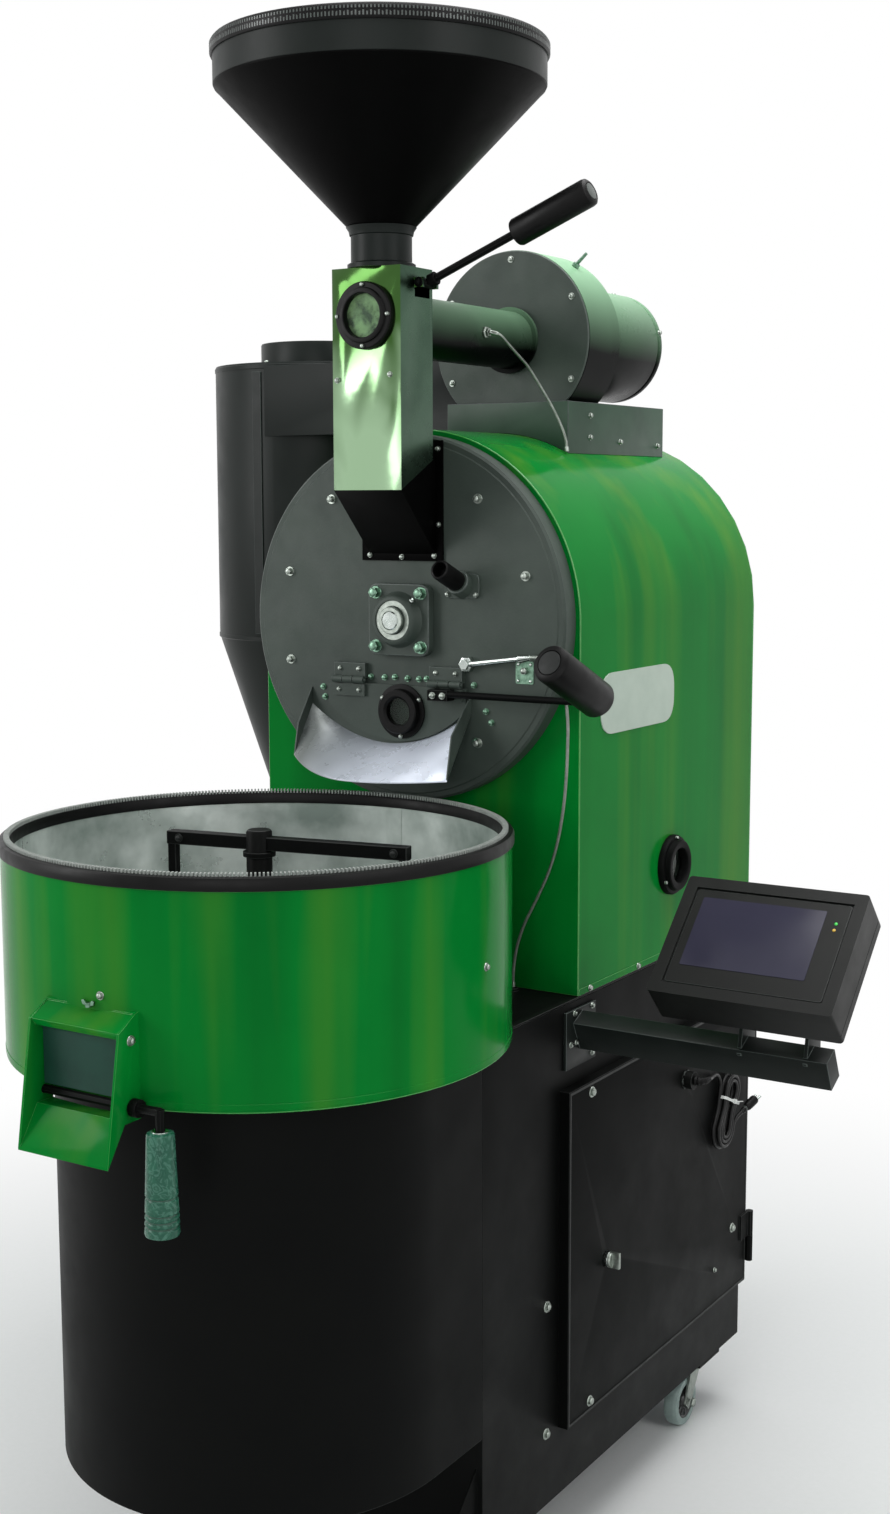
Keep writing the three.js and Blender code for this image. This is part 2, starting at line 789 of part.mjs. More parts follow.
// Liner: the stainless bowl wall with the ledge under the floor.
function binLiner() {
  const inner = bin_liner_radius - sheet / 2;
  const ledge_top = bin_floor_z - sheet - seat_gap;
  const profile = [[bin_liner_radius - bin_ledge, bin_bottom + sheet + seat_gap],
    [bin_liner_radius, bin_bottom + sheet + seat_gap],
      [bin_liner_radius, bin_top - bin_rim_height - seat_gap],
    [inner, bin_top - bin_rim_height - seat_gap], [inner, ledge_top],
      [bin_liner_radius - bin_ledge, ledge_top]];
  return cut(turned(profile, [0, bin_center_y, 0], [0, 0, 1], large_sides), ...portCuts());
}

// Floor of the bin, with the hole of the stirrer shaft.
function binFloor() {
  const outer = (bin_liner_radius - sheet / 2) * Math.cos(Math.PI / large_sides) - seat_gap;
  return ring(outer, stirrer_shaft_radius + turn_gap, bin_floor_z - sheet, sheet, [0, bin_center_y, 0],
    [0, 0, 1], large_sides);
}

// Stirrer: post, two unequal arms with drop legs and scraper blades, and its drive shaft.
function stirrerArms() {
  const floor = bin_floor_z + floor_clearance;
  const post = bar(stirrer_post_radius, [0, 0, floor], [0, 0, stirrer_top], small_sides);
  const shaft = bar(stirrer_shaft_radius, [0, 0, stirrer_drive_top - stirrer_engagement],
    [0, 0, floor + overrun], small_sides);
  const beam = block(-stirrer_left, stirrer_right, -stirrer_bar / 2, stirrer_bar / 2,
    stirrer_bar_top - stirrer_bar,
    stirrer_bar_top);
  const leg = (x) => block(x - stirrer_leg / 2, x + stirrer_leg / 2, -stirrer_leg / 2, stirrer_leg / 2,
    floor,
    stirrer_bar_top - stirrer_bar / 2);
  const blade = (from, to) => block(from, to, -sheet / 2, sheet / 2, floor, floor + scraper_height);
  const whole = join(post, shaft, beam, leg(stirrer_leg - stirrer_left), leg(stirrer_right - stirrer_leg),
    blade(-stirrer_left - scraper_length / 3, -stirrer_post_radius / 2),
    blade(stirrer_right - scraper_length, stirrer_right + scraper_length - 2 * stirrer_leg));
  return whole.rotate([0, 0, stirrer_turn]).translate([0, bin_center_y, 0]);
}

// Stirrer drive: a gear case on the skirt's beam with its motor lying to the right.
function stirrerGearmotor() {
  const half = gearmotor_width / 2;
  const y = bin_center_y;
  const gear_case = block(-half, half, y - half, y + half, stirrer_drive_bottom, stirrer_drive_top);
  const middle = (stirrer_drive_bottom + stirrer_drive_top) / 2;
  const motor = bar(stirrer_motor_radius, [half - overrun, y, middle],
    [half + stirrer_motor_length, y, middle], medium_sides);
  const collar = bar(stirrer_shaft_radius + overrun, [0, y, stirrer_drive_top - overrun],
    [0, y, stirrer_drive_top + overrun], small_sides);
  const socket = bar(stirrer_shaft_radius + turn_gap / 2,
    [0, y, stirrer_drive_top - stirrer_engagement - turn_gap],
    [0, y, stirrer_drive_top + 2 * overrun], small_sides);
  return cut(join(gear_case, motor, collar), socket);
}

// Cooling blower: a bought-in scroll fan on the cabinet floor.
function coolingBlower() {
  const floor = cabinet_bottom + sheet + seat_gap;
  const z = floor + blower_foot + blower_radius;
  const scroll = bar(blower_radius, [-blower_width / 2, blower_y, z], [blower_width / 2, blower_y, z],
    medium_sides);
  const outlet = block(-blower_width / 2, blower_width / 2, blower_y - blower_radius,
    blower_y - blower_radius + blower_outlet,
    z, z + blower_radius + blower_outlet);
  const motor = bar(blower_motor_radius, [blower_width / 2 - overrun, blower_y, z],
    [blower_width / 2 + blower_motor_length, blower_y, z], medium_sides);
  const foot = block(-blower_width / 2, blower_width / 2, blower_y - blower_radius / 2,
    blower_y + blower_radius / 2,
    floor, z - blower_radius / 2);
  const mouth = block(sheet - blower_width / 2, blower_width / 2 - sheet, blower_y - blower_radius + sheet,
    blower_y - blower_radius + blower_outlet - sheet, z + overrun,
      z + blower_radius + blower_outlet + overrun);
  return cut(join(scroll, outlet, motor, foot), mouth);
}

// Discharge hood on the front of the bin: cheeks, sloping top, front return and a ramp floor.
function outletHood() {
  const half = hood_width / 2;
  const wall_y = bin_center_y - Math.sqrt(bin_radius ** 2 - half ** 2) + overrun;
  const cheek = [[wall_y, hood_top],
    [hood_front + hood_lip_setback + hood_corner, hood_top - hood_drop / 2],
    [hood_front + hood_lip_setback, hood_top - hood_corner / 2 - hood_drop],
      [hood_front, hood_lip_bottom + sheet],
    [hood_front, hood_lip_bottom], [hood_chute_start, hood_heel], [wall_y, hood_heel]];
  const cheeks = [[-half, sheet - half],
    [half - sheet, half]].map(([from, to]) => pushed(cheek, "x", from, to));
  const top = pushed([[wall_y, hood_top],
    [hood_front + hood_lip_setback + hood_corner, hood_top - hood_drop / 2],
    [hood_front + hood_lip_setback + hood_corner, hood_top - hood_drop / 2 - sheet],
      [wall_y, hood_top - sheet]],
    "x", -half, half);
  const brow = pushed([[hood_front + hood_lip_setback + hood_corner + sheet, hood_top - hood_drop / 2],
    [hood_front + hood_lip_setback, hood_top - hood_corner / 2 - hood_drop],
    [hood_front + hood_lip_setback + hood_return / 3, hood_top - hood_return - hood_drop],
    [hood_front + hood_lip_setback + hood_return / 3 + sheet, hood_top - hood_return],
    [hood_front + hood_lip_setback + sheet * 2, hood_top - hood_corner / 2 - hood_drop],
    [hood_front + hood_lip_setback + hood_corner + sheet, hood_top - hood_drop]], "x", -half, half);
  const ramp = pushed([[wall_y, hood_heel], [hood_chute_start, hood_heel], [hood_front, hood_lip_bottom],
    [hood_front, hood_lip_bottom + sheet], [hood_chute_start, hood_heel + hood_floor],
      [wall_y, hood_heel + hood_floor]],
    "x", -half, half);
  const bin = bar(bin_radius + seat_gap, [0, bin_center_y, hood_lip_bottom - overrun],
    [0, bin_center_y, hood_top + overrun],
    large_sides);
  const bores = [bar(gate_pin_radius + turn_gap / 2, [-half - overrun, gate_axis_y, gate_axis_z],
    [half + overrun, gate_axis_y, gate_axis_z], pin_sides),
  bar(lever_shaft_radius + turn_gap / 2, [-half - overrun, lever_shaft_y, lever_shaft_z],
    [half + overrun, lever_shaft_y, lever_shaft_z], pin_sides)];
  return cut(join(...cheeks, top, brow, ramp), bin, ...bores);
}

// Flap across the outlet, hung from a pin under the hood's top.
function binGate() {
  const half = hood_width / 2;
  const reach = half - sheet - turn_gap;
  const flap = block(-reach, reach, gate_axis_y - gate_thickness / 2, gate_axis_y + gate_thickness / 2,
    gate_bottom, gate_axis_z);
  const pin = bar(gate_pin_radius, [-half - turn_gap, gate_axis_y, gate_axis_z],
    [half + turn_gap, gate_axis_y, gate_axis_z],
    pin_sides);
  return join(flap, pin);
}

// Lever of the outlet: a cross shaft, a round boss and the cranked rod of the grip.
function gateLever() {
  const half = hood_width / 2;
  const shaft = bar(lever_shaft_radius, [-half - turn_gap, lever_shaft_y, lever_shaft_z],
    [half + lever_boss_radius, lever_shaft_y, lever_shaft_z], pin_sides);
  const boss = bar(lever_boss_radius, [half + turn_gap, lever_shaft_y, lever_shaft_z],
    [half + turn_gap + lever_boss_radius, lever_shaft_y, lever_shaft_z], small_sides);
  const rod_y = lever_shaft_y - lever_boss_radius / 2;
  const elbow = [gate_grip_x, rod_y, lever_shaft_z + lever_boss_radius / 3];
  const arm = bar(lever_shaft_radius, [half + lever_boss_radius / 2, lever_shaft_y, lever_shaft_z], elbow,
    pin_sides);
  const drop = bar(lever_shaft_radius,
    [gate_grip_x, rod_y, lever_shaft_z + lever_boss_radius / 3 + lever_shaft_radius / 2],
    [gate_grip_x, rod_y, lever_shaft_z - gate_grip_drop - gate_grip_length / 2], pin_sides);
  return join(shaft, boss, arm, drop);
}

// Grip: hangs on the rod, wider below, with turned grooves.
function gateGrip() {
  const rod_y = lever_shaft_y - lever_boss_radius / 2;
  const top = lever_shaft_z - gate_grip_drop;
  const growth = (gate_grip_radius - gate_grip_top_radius) / gate_grip_length;
  const widen = (along) => gate_grip_top_radius + growth * along;
  const bore = lever_shaft_radius + seat_gap;
  const profile = [[0, -gate_grip_length / 2 - turn_gap], [bore, -gate_grip_length / 2 - turn_gap],
    [bore, 0],
    [gate_grip_top_radius - grip_round, 0], [gate_grip_top_radius, -grip_round]];
  for (const along of grip_groove_levels.map((share) => share * gate_grip_length)) {
    profile.push([widen(along), -along + grip_groove], [widen(along) - grip_groove / 2, -along],
      [widen(along), -along - grip_groove]);
  }
  profile.push([gate_grip_radius, grip_round - gate_grip_length],
    [gate_grip_radius - grip_round, -gate_grip_length], [0, -gate_grip_length]);
  return turned(profile, [gate_grip_x, rod_y, top], [0, 0, 1], small_sides);
}

// Housing: the arched sheet jacket with its round front opening.
function archOutline(half, bottom) {
  return [[half, bottom], ...arc(0, drum_axis_z, half, 0, Math.PI, large_sides / 2), [-half, bottom]];
}

function housingShell() {
  const bottom = deck_top + seat_gap;
  const back = housing_rear - sheet - seat_gap;
  const outer = pushed(archOutline(half_width, bottom), "y", plate_depth + seat_gap, back);
  const inner = pushed(archOutline(half_width - sheet, bottom - overrun), "y",
    plate_depth + seat_gap + sheet, back + overrun);
  const mouth = bar(casing_radius + turn_gap, [0, 0, drum_axis_z],
    [0, plate_depth + sheet + overrun, drum_axis_z], large_sides);
  const peep = bar(peep_bore, [half_width - sheet - overrun, peep_y, peep_z],
    [half_width + overrun, peep_y, peep_z],
    small_sides);
  return cut(outer, inner, mouth, peep);
}

// Rear panel with the rear bearing of the drum shaft.
function housingRearPanel() {
  const panel = pushed(archOutline(half_width, deck_top + seat_gap), "y", housing_rear - sheet,
    housing_rear);
  const boss = bar(bearing_boss_radius, [0, housing_rear - sheet / 2, drum_axis_z],
    [0, housing_rear + bearing_flange, drum_axis_z], small_sides);
  const bore = bar(shaft_radius + turn_gap, [0, casing_rear, drum_axis_z],
    [0, housing_rear + bearing_flange + overrun, drum_axis_z], medium_sides);
  return cut(join(panel, boss), bore);
}

// Cast front plate with its ports, bolts, upper hinge halves, sampler sleeve and bean probe.
function frontPlate() {
  let plate = bar(plate_radius, [0, 0, drum_axis_z], [0, plate_depth, drum_axis_z], large_sides);
  for (let i = 0; i < plate_bolts; i += 1) {
    if (i === bolt_under_wedge) continue;
    const angle = Math.PI * (2 * i + 1) / plate_bolts;
    const x = plate_bolt_circle * Math.cos(angle);
    const z = drum_axis_z + plate_bolt_circle * Math.sin(angle);
    plate = join(plate, bolt(plate_bolt_radius, [x, -plate_bolt_height, z], [x, overrun, z]));
  }
  const sleeve = sampled(sampler_sleeve_radius, -sampler_sleeve_radius,
    sampler_sleeve_length + sampler_sleeve_radius / 2);
  const flange = block(sampler_x - sampler_flange / 2, sampler_x + sampler_flange / 2, -sheet, overrun,
    sampler_z - sampler_sleeve_radius, sampler_z + sampler_sleeve_radius);
  const bore = sampled(sampler_radius + turn_gap, -plate_depth * 2, plate_depth * 2);
  const door_port = pushed(doorOutline(door_port_lap), "y", -overrun, plate_depth + overrun);
  const bean_port = block(-wedge_port / 2, wedge_port / 2, -overrun, plate_depth + overrun,
    wedge_bottom + door_thickness,
    wedge_bottom + wedge_port);
  const shaft_hole = bar(shaft_radius + turn_gap, [0, -overrun, drum_axis_z],
    [0, plate_depth + overrun, drum_axis_z],
    medium_sides);
  const probe_nut = bolt(probe_nut_radius, [probe_x, -probe_nut_height, probe_z],
    [probe_x, overrun, probe_z]);
  const probe = bar(probe_radius, [probe_x, -probe_nut_height / 2, probe_z],
    [probe_end_x, probe_end_y, probe_end_z],
    pin_sides);
  plate = cut(join(plate, sleeve, flange, probe_nut, probe), bore, door_port, bean_port, shaft_hole);
  return join(plate, ...[hinge_left_x, hinge_right_x].map(plateHinge));
}

function sampled(radius, from, to) {
  const tilt = THREE.MathUtils.degToRad(sampler_tilt);
  const at = (along) => [sampler_x, -Math.cos(tilt) * along, sampler_z + Math.sin(tilt) * along];
  return bar(radius, at(from), at(to), small_sides);
}

function doorOutline(inset) {
  const half = (door_right - door_left) / 2;
  const middle = (door_right + door_left) / 2;
  const rise = door_bottom_rise;
  const radius = (half ** 2 + rise ** 2) / (2 * rise);
  const spread = Math.asin(half / radius) - inset / radius;
  const curve = arc(middle, door_bottom + radius, radius - inset, -turned_quarter - spread,
    -turned_quarter + spread,
    small_sides);
  const top = door_axis_z - door_knuckle_radius + seat_gap - inset;
  return [[door_left + inset, top], ...curve, [door_right - inset, top]];
}

// The plate's half of a door hinge: a leaf block, two outer knuckles and the pin.
function plateHinge(x) {
  const half = hinge_width / 2;
  const knuckle = hinge_width / 3;
  const leaf = block(x - half, x + half, door_axis_y + turn_gap / 2, overrun, door_axis_z,
    door_axis_z + hinge_height);
  const relief = bar(door_knuckle_radius + turn_gap,
    [x - knuckle / 2 - turn_gap / 2, door_axis_y, door_axis_z],
    [x + knuckle / 2 + turn_gap / 2, door_axis_y, door_axis_z], small_sides);
  const knuckles = [-1, 1].map((side) => bar(door_knuckle_radius,
    [x + side * half, door_axis_y, door_axis_z],
    [x + side * (knuckle / 2 + turn_gap / 2), door_axis_y, door_axis_z], small_sides));
  const pin = bar(hinge_pin_radius, [x - half, door_axis_y, door_axis_z],
    [x + half, door_axis_y, door_axis_z], pin_sides);
  return join(cut(leaf, relief), ...knuckles, pin);
}

// Discharge door: a curved leaf with lower hinge halves and a sight ring.
function dischargeDoor() {
  const back = -seat_gap;
  const face = back - door_thickness;
  let door = pushed(doorOutline(0), "y", face, back);
  for (const x of [hinge_left_x, hinge_right_x]) {
    const half = hinge_width / 2;
    const knuckle = hinge_width / 3;
    const leaf = block(x - half, x + half, face - hinge_leaf, back - sheet, door_axis_z - hinge_height,
      door_axis_z - turn_gap / 2);
    const clear = [-1, 1].map((side) => bar(door_knuckle_radius + turn_gap,
      [x + side * (half + turn_gap), door_axis_y,
      door_axis_z], [x + side * (knuckle / 2 - turn_gap / 2), door_axis_y, door_axis_z], small_sides));
    const barrel = bar(door_knuckle_radius, [x - knuckle / 2 + turn_gap / 2, door_axis_y, door_axis_z],
      [x + knuckle / 2 - turn_gap / 2, door_axis_y, door_axis_z], small_sides);
    const bore = bar(hinge_pin_radius + turn_gap / 2, [x - half, door_axis_y, door_axis_z],
      [x + half, door_axis_y,
      door_axis_z], pin_sides);
    door = cut(join(cut(join(door, leaf), ...clear), barrel), bore);
  }
  const collar = bar(door_ring_radius, [0, face - door_ring_proud, door_ring_z],
    [0, face + overrun / 2, door_ring_z],
    medium_sides);
  const sight = bar(door_ring_bore, [0, face - door_ring_proud - overrun, door_ring_z],
    [0, overrun, door_ring_z], medium_sides);
  return cut(join(door, collar), sight);
}

// Door lever: a block on the door, a rod to the right and the cranked stub inside the grip.
function doorLever() {
  const face = -seat_gap - door_thickness;
  const block_front = door_rod_y - door_rod_radius;
  const root = block(hinge_right_x - door_block_width / 2, hinge_right_x + door_block_width / 2,
    block_front,
    face - hinge_leaf - seat_gap, door_rod_z - door_rod_radius * 2,
      door_axis_z - door_knuckle_radius - turn_gap);
  const rod = bar(door_rod_radius, [hinge_right_x, door_rod_y, door_rod_z],
    [door_rod_end, door_rod_y, door_rod_z], pin_sides);
  const stub = bar(door_rod_radius,
    [door_rod_end, door_rod_y + door_rod_radius / 2, door_rod_z - door_rod_radius / 4],
    doorGripPoint(door_grip_start + door_grip_length / 2), pin_sides);
  return join(root, rod, stub);
}

function doorGripPoint(along) {
  const rise = THREE.MathUtils.degToRad(door_grip_rise);
  const turn = THREE.MathUtils.degToRad(door_grip_turn);
  return [door_rod_end - along * Math.cos(rise) * Math.sin(turn),
    door_rod_y - along * Math.cos(rise) * Math.cos(turn),
    door_rod_z + along * Math.sin(rise)];
}

function gripOn(radius, bore, length, start, end, sides) {
  const axis = new THREE.Vector3(...end).sub(new THREE.Vector3(...start)).normalize();
  const profile = [[0, length / 2 + turn_gap], [bore, length / 2 + turn_gap], [bore, 0],
    [radius - grip_round, 0],
    [radius, grip_round], [radius, length - grip_round], [radius - grip_round, length], [0, length]];
  return turned(profile, start, axis.toArray(), sides);
}

function doorGrip() {
  return gripOn(door_grip_radius, door_rod_radius + seat_gap, door_grip_length,
    doorGripPoint(door_grip_start),
    doorGripPoint(door_grip_start + door_grip_length), medium_sides);
}

// Spout: a dished scoop under the door between two cheeks.
function spout() {
  const middle = (spout_left + spout_right) / 2;
  const half = (spout_right - spout_left) / 2;
  const back = -seat_gap;
  const points = [];
  const columns = spout_columns + 1;
  const rows = spout_rows + 1;
  for (const drop of [0, spout_sheet]) {
    for (let i = 0; i < columns; i += 1) {
      const u = i / spout_columns;
      const side = 2 * u - 1;
      const back_z = spout_back_dip + (spout_back_edge - spout_back_dip) * side ** 2;
      const left = Math.max(0, -side);
      const right = Math.max(0, side);
      const lift_left = (spout_lip_left - spout_lip_mid) * left ** 2;
      const lip_z = spout_lip_mid + lift_left + (spout_lip_right - spout_lip_mid) * right ** 2;
      const reach = spout_reach_mid + (spout_reach_left - spout_reach_mid) * left ** 2
        + (spout_reach_right - spout_reach_mid) * right ** 2;
      for (let j = 0; j < rows; j += 1) {
        const v = j / spout_rows;
        points.push([middle + half * side, back - reach * v, back_z + (lip_z - back_z) * v - drop]);
      }
    }
  }
  const scoop = sheetBetween(points, columns, rows);
  const cheeks = [[spout_left, spout_reach_left, spout_lip_left],
    [spout_right - spout_sheet, spout_reach_right,
    spout_lip_right]].map(([x, reach, lip]) => pushed([[back, spout_back_edge - spout_sheet * 2],
      [back, spout_cheek_top],
    [back - reach * spout_cheek_share, spout_cheek_front], [back - reach, lip],
      [back - reach, lip - spout_sheet]],
  "x", x, x + spout_sheet));
  return join(scoop, ...cheeks);
}

// A closed sheet from two grids of points, upper then lower.
function sheetBetween(points, columns, rows) {
  const half = columns * rows;
  const index = [];
  const face = (a, b, c, d) => index.push(a, b, c, a, c, d);
  for (let i = 0; i + 1 < columns; i += 1) {
    for (let j = 0; j + 1 < rows; j += 1) {
      const k = i * rows + j;
      face(k, k + 1, k + rows + 1, k + rows);
      face(half + k + rows, half + k + rows + 1, half + k + 1, half + k);
    }
    const near = i * rows;
    const far = near + rows - 1;
    face(near, near + rows, half + near + rows, half + near);
    face(far + rows, far, half + far, half + far + rows);
  }
  for (let j = 0; j + 1 < rows; j += 1) {
    const last = (columns - 1) * rows + j;
    face(j + 1, j, half + j, half + j + 1);
    face(last, last + 1, half + last + 1, half + last);
  }
  return closedMesh(points, index);
}

function closedMesh(points, index) {
  const geometry = new THREE.BufferGeometry();
  geometry.setAttribute("position", new THREE.Float32BufferAttribute(points.flat(), 3));
  geometry.setIndex(index);
  return solidOf(geometry);
}

// Drum casing: the fixed tube round the drum, open below for the burner's heat.
function drumCasing() {
  const tube = ring(casing_radius, casing_radius - sheet, plate_depth + seat_gap,
    casing_rear - plate_depth - seat_gap,
    [0, 0, drum_axis_z], [0, 1, 0], drum_sides);
  const slot = block(-casing_slot / 2, casing_slot / 2, plate_depth + drum_spoke * 2,
    casing_rear - drum_spoke * 2,
    drum_axis_z - casing_radius - overrun, drum_axis_z - casing_radius / 2);
  return cut(tube, slot);
}

// Roasting drum: shell, rear wall with hub, a spoked spider in the middle and lifting vanes.
function roastingDrum() {
  const base = [0, 0, drum_axis_z];
  const inner = drum_radius - drum_wall;
  const rear = drum_front + drum_length;
  const shell = ring(drum_radius, inner, drum_front, drum_length, base, [0, 1, 0], drum_sides);
  const disc = (radius, from, to) => bar(radius, [0, from, drum_axis_z], [0, to, drum_axis_z], drum_sides);
  const wall = disc(inner + drum_wall / 2, rear - drum_wall, rear);
  const hubs = [disc(drum_hub_radius, rear - drum_hub_length, rear), disc(drum_hub_radius, drum_spider_y,
    drum_spider_y + drum_spoke)];
  const spokes = [0, 120,
    240].map((degrees) => block(drum_hub_radius - overrun, inner + drum_wall / 2, drum_spider_y,
    drum_spider_y + drum_spoke, -drum_wall, drum_wall).rotate([0, degrees, 0]).translate(base));
  const vanes = [60, 180,
    300].map((degrees) => block(inner - drum_vane, inner + drum_wall / 2, drum_front + drum_vane,
    rear - drum_vane, -drum_wall / 2, drum_wall / 2).rotate([0, degrees, 0]).translate(base));
  const bore = bar(shaft_radius + seat_gap, [0, drum_front, drum_axis_z], [0, rear + overrun, drum_axis_z],
    medium_sides);
  return cut(join(shell, wall, ...hubs, ...spokes, ...vanes), bore);
}

function drumShaft() {
  return bar(shaft_radius, [0, shaft_front, drum_axis_z], [0, shaft_rear, drum_axis_z], medium_sides);
}

// Front bearing: a square flange with a round boss and four bolts.
function frontBearing() {
  const half = bearing_size / 2;
  const flange = block(-half, half, -bearing_flange - seat_gap, -seat_gap, drum_axis_z - half,
    drum_axis_z + half);
  const boss = bar(bearing_boss_radius, [0, -bearing_depth, drum_axis_z], [0, -bearing_flange, drum_axis_z],
    medium_sides);
  const reach = bearing_bolt_pitch / 2;
  const bolts = [[1, 1], [1, -1], [-1, 1], [-1, -1]].map(([a, b]) => bolt(bearing_bolt_radius,
    [a * reach, -bearing_flange - bearing_bolt_height, drum_axis_z + b * reach],
    [a * reach, -bearing_flange + overrun, drum_axis_z + b * reach]));
  const bore = bar(shaft_radius + turn_gap, [0, overrun, drum_axis_z],
    [0, -bearing_depth - overrun, drum_axis_z], medium_sides);
  return cut(join(flange, boss, ...bolts), bore);
}

// Drum drive: a gear case on four feet behind the rear panel, its motor hanging below.
function drumGearmotor() {
  const half = drum_motor_width / 2;
  const front = housing_rear + bearing_flange + overrun;
  const back = front + drum_motor_depth;
  const gear_case = block(-half, half, front, back, drum_axis_z - half - drum_motor_drop,
    drum_axis_z + half);
  const motor = bar(drum_motor_radius, [0, (front + back) / 2, drum_axis_z - half],
    [0, (front + back) / 2, drum_axis_z - half - drum_motor_drop - drum_motor_length], medium_sides);
  const feet = [[1, 1], [1, -1], [-1, 1], [-1, -1]].map(([a, b]) => {
    const x = a * (half - drum_foot / 2);
    const z = drum_axis_z + b * (half - drum_foot / 2);
    return bar(drum_foot / 2, [x, housing_rear + seat_gap, z], [x, front + overrun, z], pin_sides);
  });
  const trim = block(-drum_motor_width, drum_motor_width, 0, housing_rear + seat_gap, deck_top, hopper_top);
  const bore = bar(shaft_radius + turn_gap, [0, front - overrun, drum_axis_z],
    [0, back + overrun, drum_axis_z], medium_sides);
  return cut(join(gear_case, motor, ...feet), trim, bore);
}

// Burner: parallel bars on two stands above the deck.
function burner() {
  const z = burner_top - burner_bar_radius;
  const from = burner_front;
  const to = burner_front + burner_length;
  const reach = burner_pitch * (burner_bars - 1) / 2;
  const bars = [];
  for (let i = 0; i < burner_bars; i += 1) {
    const x = i * burner_pitch - reach;
    bars.push(bar(burner_bar_radius, [x, from, z], [x, to, z], pin_sides));
  }
  const stands = [from + burner_pitch, to - burner_pitch].map((y) => block(-reach - burner_bar_radius,
    reach + burner_bar_radius, y - sheet, y + sheet, deck_top + seat_gap, z));
  const rail = block(-reach, reach, to - burner_bar_radius * 2, to, z - burner_bar_radius, z);
  return join(bars[0], rail, ...bars.slice(1), ...stands);
}

// Peephole ring on the right of the housing.
function peephole() {
  return ring(peep_radius, peep_bore, half_width + seat_gap, peep_proud, [0, peep_y, peep_z], [1, 0, 0],
    medium_sides);
}

// Sampler: a rod through the plate with a scooped end inside and a hollow-ended knob.
function sampler() {
  const sleeve_end = sampler_sleeve_length + sampler_sleeve_radius / 2;
  const rod = sampled(sampler_radius, -sampler_inside, sleeve_end + sampler_knob_length / 2);
  const knob = sampled(sampler_knob_radius, sleeve_end + seat_gap, sleeve_end + sampler_knob_length);
  const hollow = sampled(sampler_knob_radius - sheet, sleeve_end + sampler_knob_length / 2,
    sleeve_end + sampler_knob_length + overrun);
  const scoop = block(-sampler_radius, sampler_radius, sampler_scoop_from, sampler_inside + overrun,
    sampler_radius / 3,
    sampler_radius * 2).rotate([-sampler_tilt, 0, 0]).translate([sampler_x, 0, sampler_z]);
  return cut(join(rod, knob), hollow, scoop);
}

// Hopper: a thin cone with an upright band, a rolled rim and a neck.
function hopper() {
  const neck_bottom = chute_top + seat_gap;
  const skin = chute_sheet;
  const profile = [[hopper_neck_radius, neck_bottom], [hopper_neck_radius, hopper_neck_top],
    [hopper_band_radius, hopper_band_bottom], [hopper_band_radius, hopper_top - hopper_trim_height],
    [hopper_radius, hopper_top - hopper_trim_height], [hopper_radius, hopper_top],
      [hopper_radius - hopper_trim_width, hopper_top],
    [hopper_band_radius - skin, hopper_top - hopper_trim_height],
      [hopper_band_radius - skin, hopper_band_bottom + skin],
    [hopper_neck_radius - skin, hopper_neck_top + skin], [hopper_neck_radius - skin, neck_bottom]];
  return turned(profile, [feed_x, hopper_y, 0], [0, 0, 1], large_sides);
}

// Feed chute: a box with a slanting foot, ears for the lever and holes for neck, pipe and sight ring.
function feedChute() {
  const left = feed_x - chute_width / 2;
  const right = feed_x + chute_width / 2;
  const back = chute_front + chute_depth;
  const skin = chute_sheet;
  const side = (inset, top,
    drop) => pushed([[chute_front + inset, chute_bottom - drop], [chute_front + inset, top],
    [back - inset, top], [back - inset, chute_back_bottom - drop]], "x", left + inset, right - inset);
  const shell = cut(side(0, chute_top, 0), side(skin, chute_top - skin, overrun * 2));
  const ear_x = feedHubX();
  const ear = (y) => block(right - skin / 2, ear_x + feed_hub_radius, y - feed_ear / 2, y + feed_ear / 2,
    feed_axis_z - feed_hub_radius, feed_axis_z + feed_hub_radius);
  const reach = feed_hub_length / 2 + turn_gap + feed_ear / 2;
  const stubs = [-1, 1].map((way) => bar(feed_pin_radius, [ear_x, feed_axis_y + way * reach, feed_axis_z],
    [ear_x, feed_axis_y + way * (feed_hub_length / 2 - feed_ear), feed_axis_z], pin_sides));
  const window_cut = block(right - skin - overrun, right + turn_gap, feed_axis_y - feed_window_width / 2,
    feed_axis_y + feed_window_width / 2, feed_axis_z - feed_window_width / 2,
      feed_axis_z + feed_pin_radius + turn_gap);
  const neck = bar(hopper_neck_radius - skin * 2, [feed_x, hopper_y, chute_top - skin - overrun],
    [feed_x, hopper_y, chute_top + overrun], medium_sides);
  const vent = bar(pipe_radius - sheet, [feed_x, back - skin - overrun, fan_z],
    [feed_x, back + overrun, fan_z], medium_sides);
  const sight = bar(sight_bore, [feed_x, chute_front - overrun, sight_z],
    [feed_x, chute_front + skin + overrun, sight_z],
    medium_sides);
  return cut(join(shell, ear(feed_axis_y - reach), ear(feed_axis_y + reach), ...stubs), window_cut, neck,
    vent, sight);
}

function feedHubX() {
  return feed_x + chute_width / 2 + feed_hub_radius + turn_gap / 2;
}

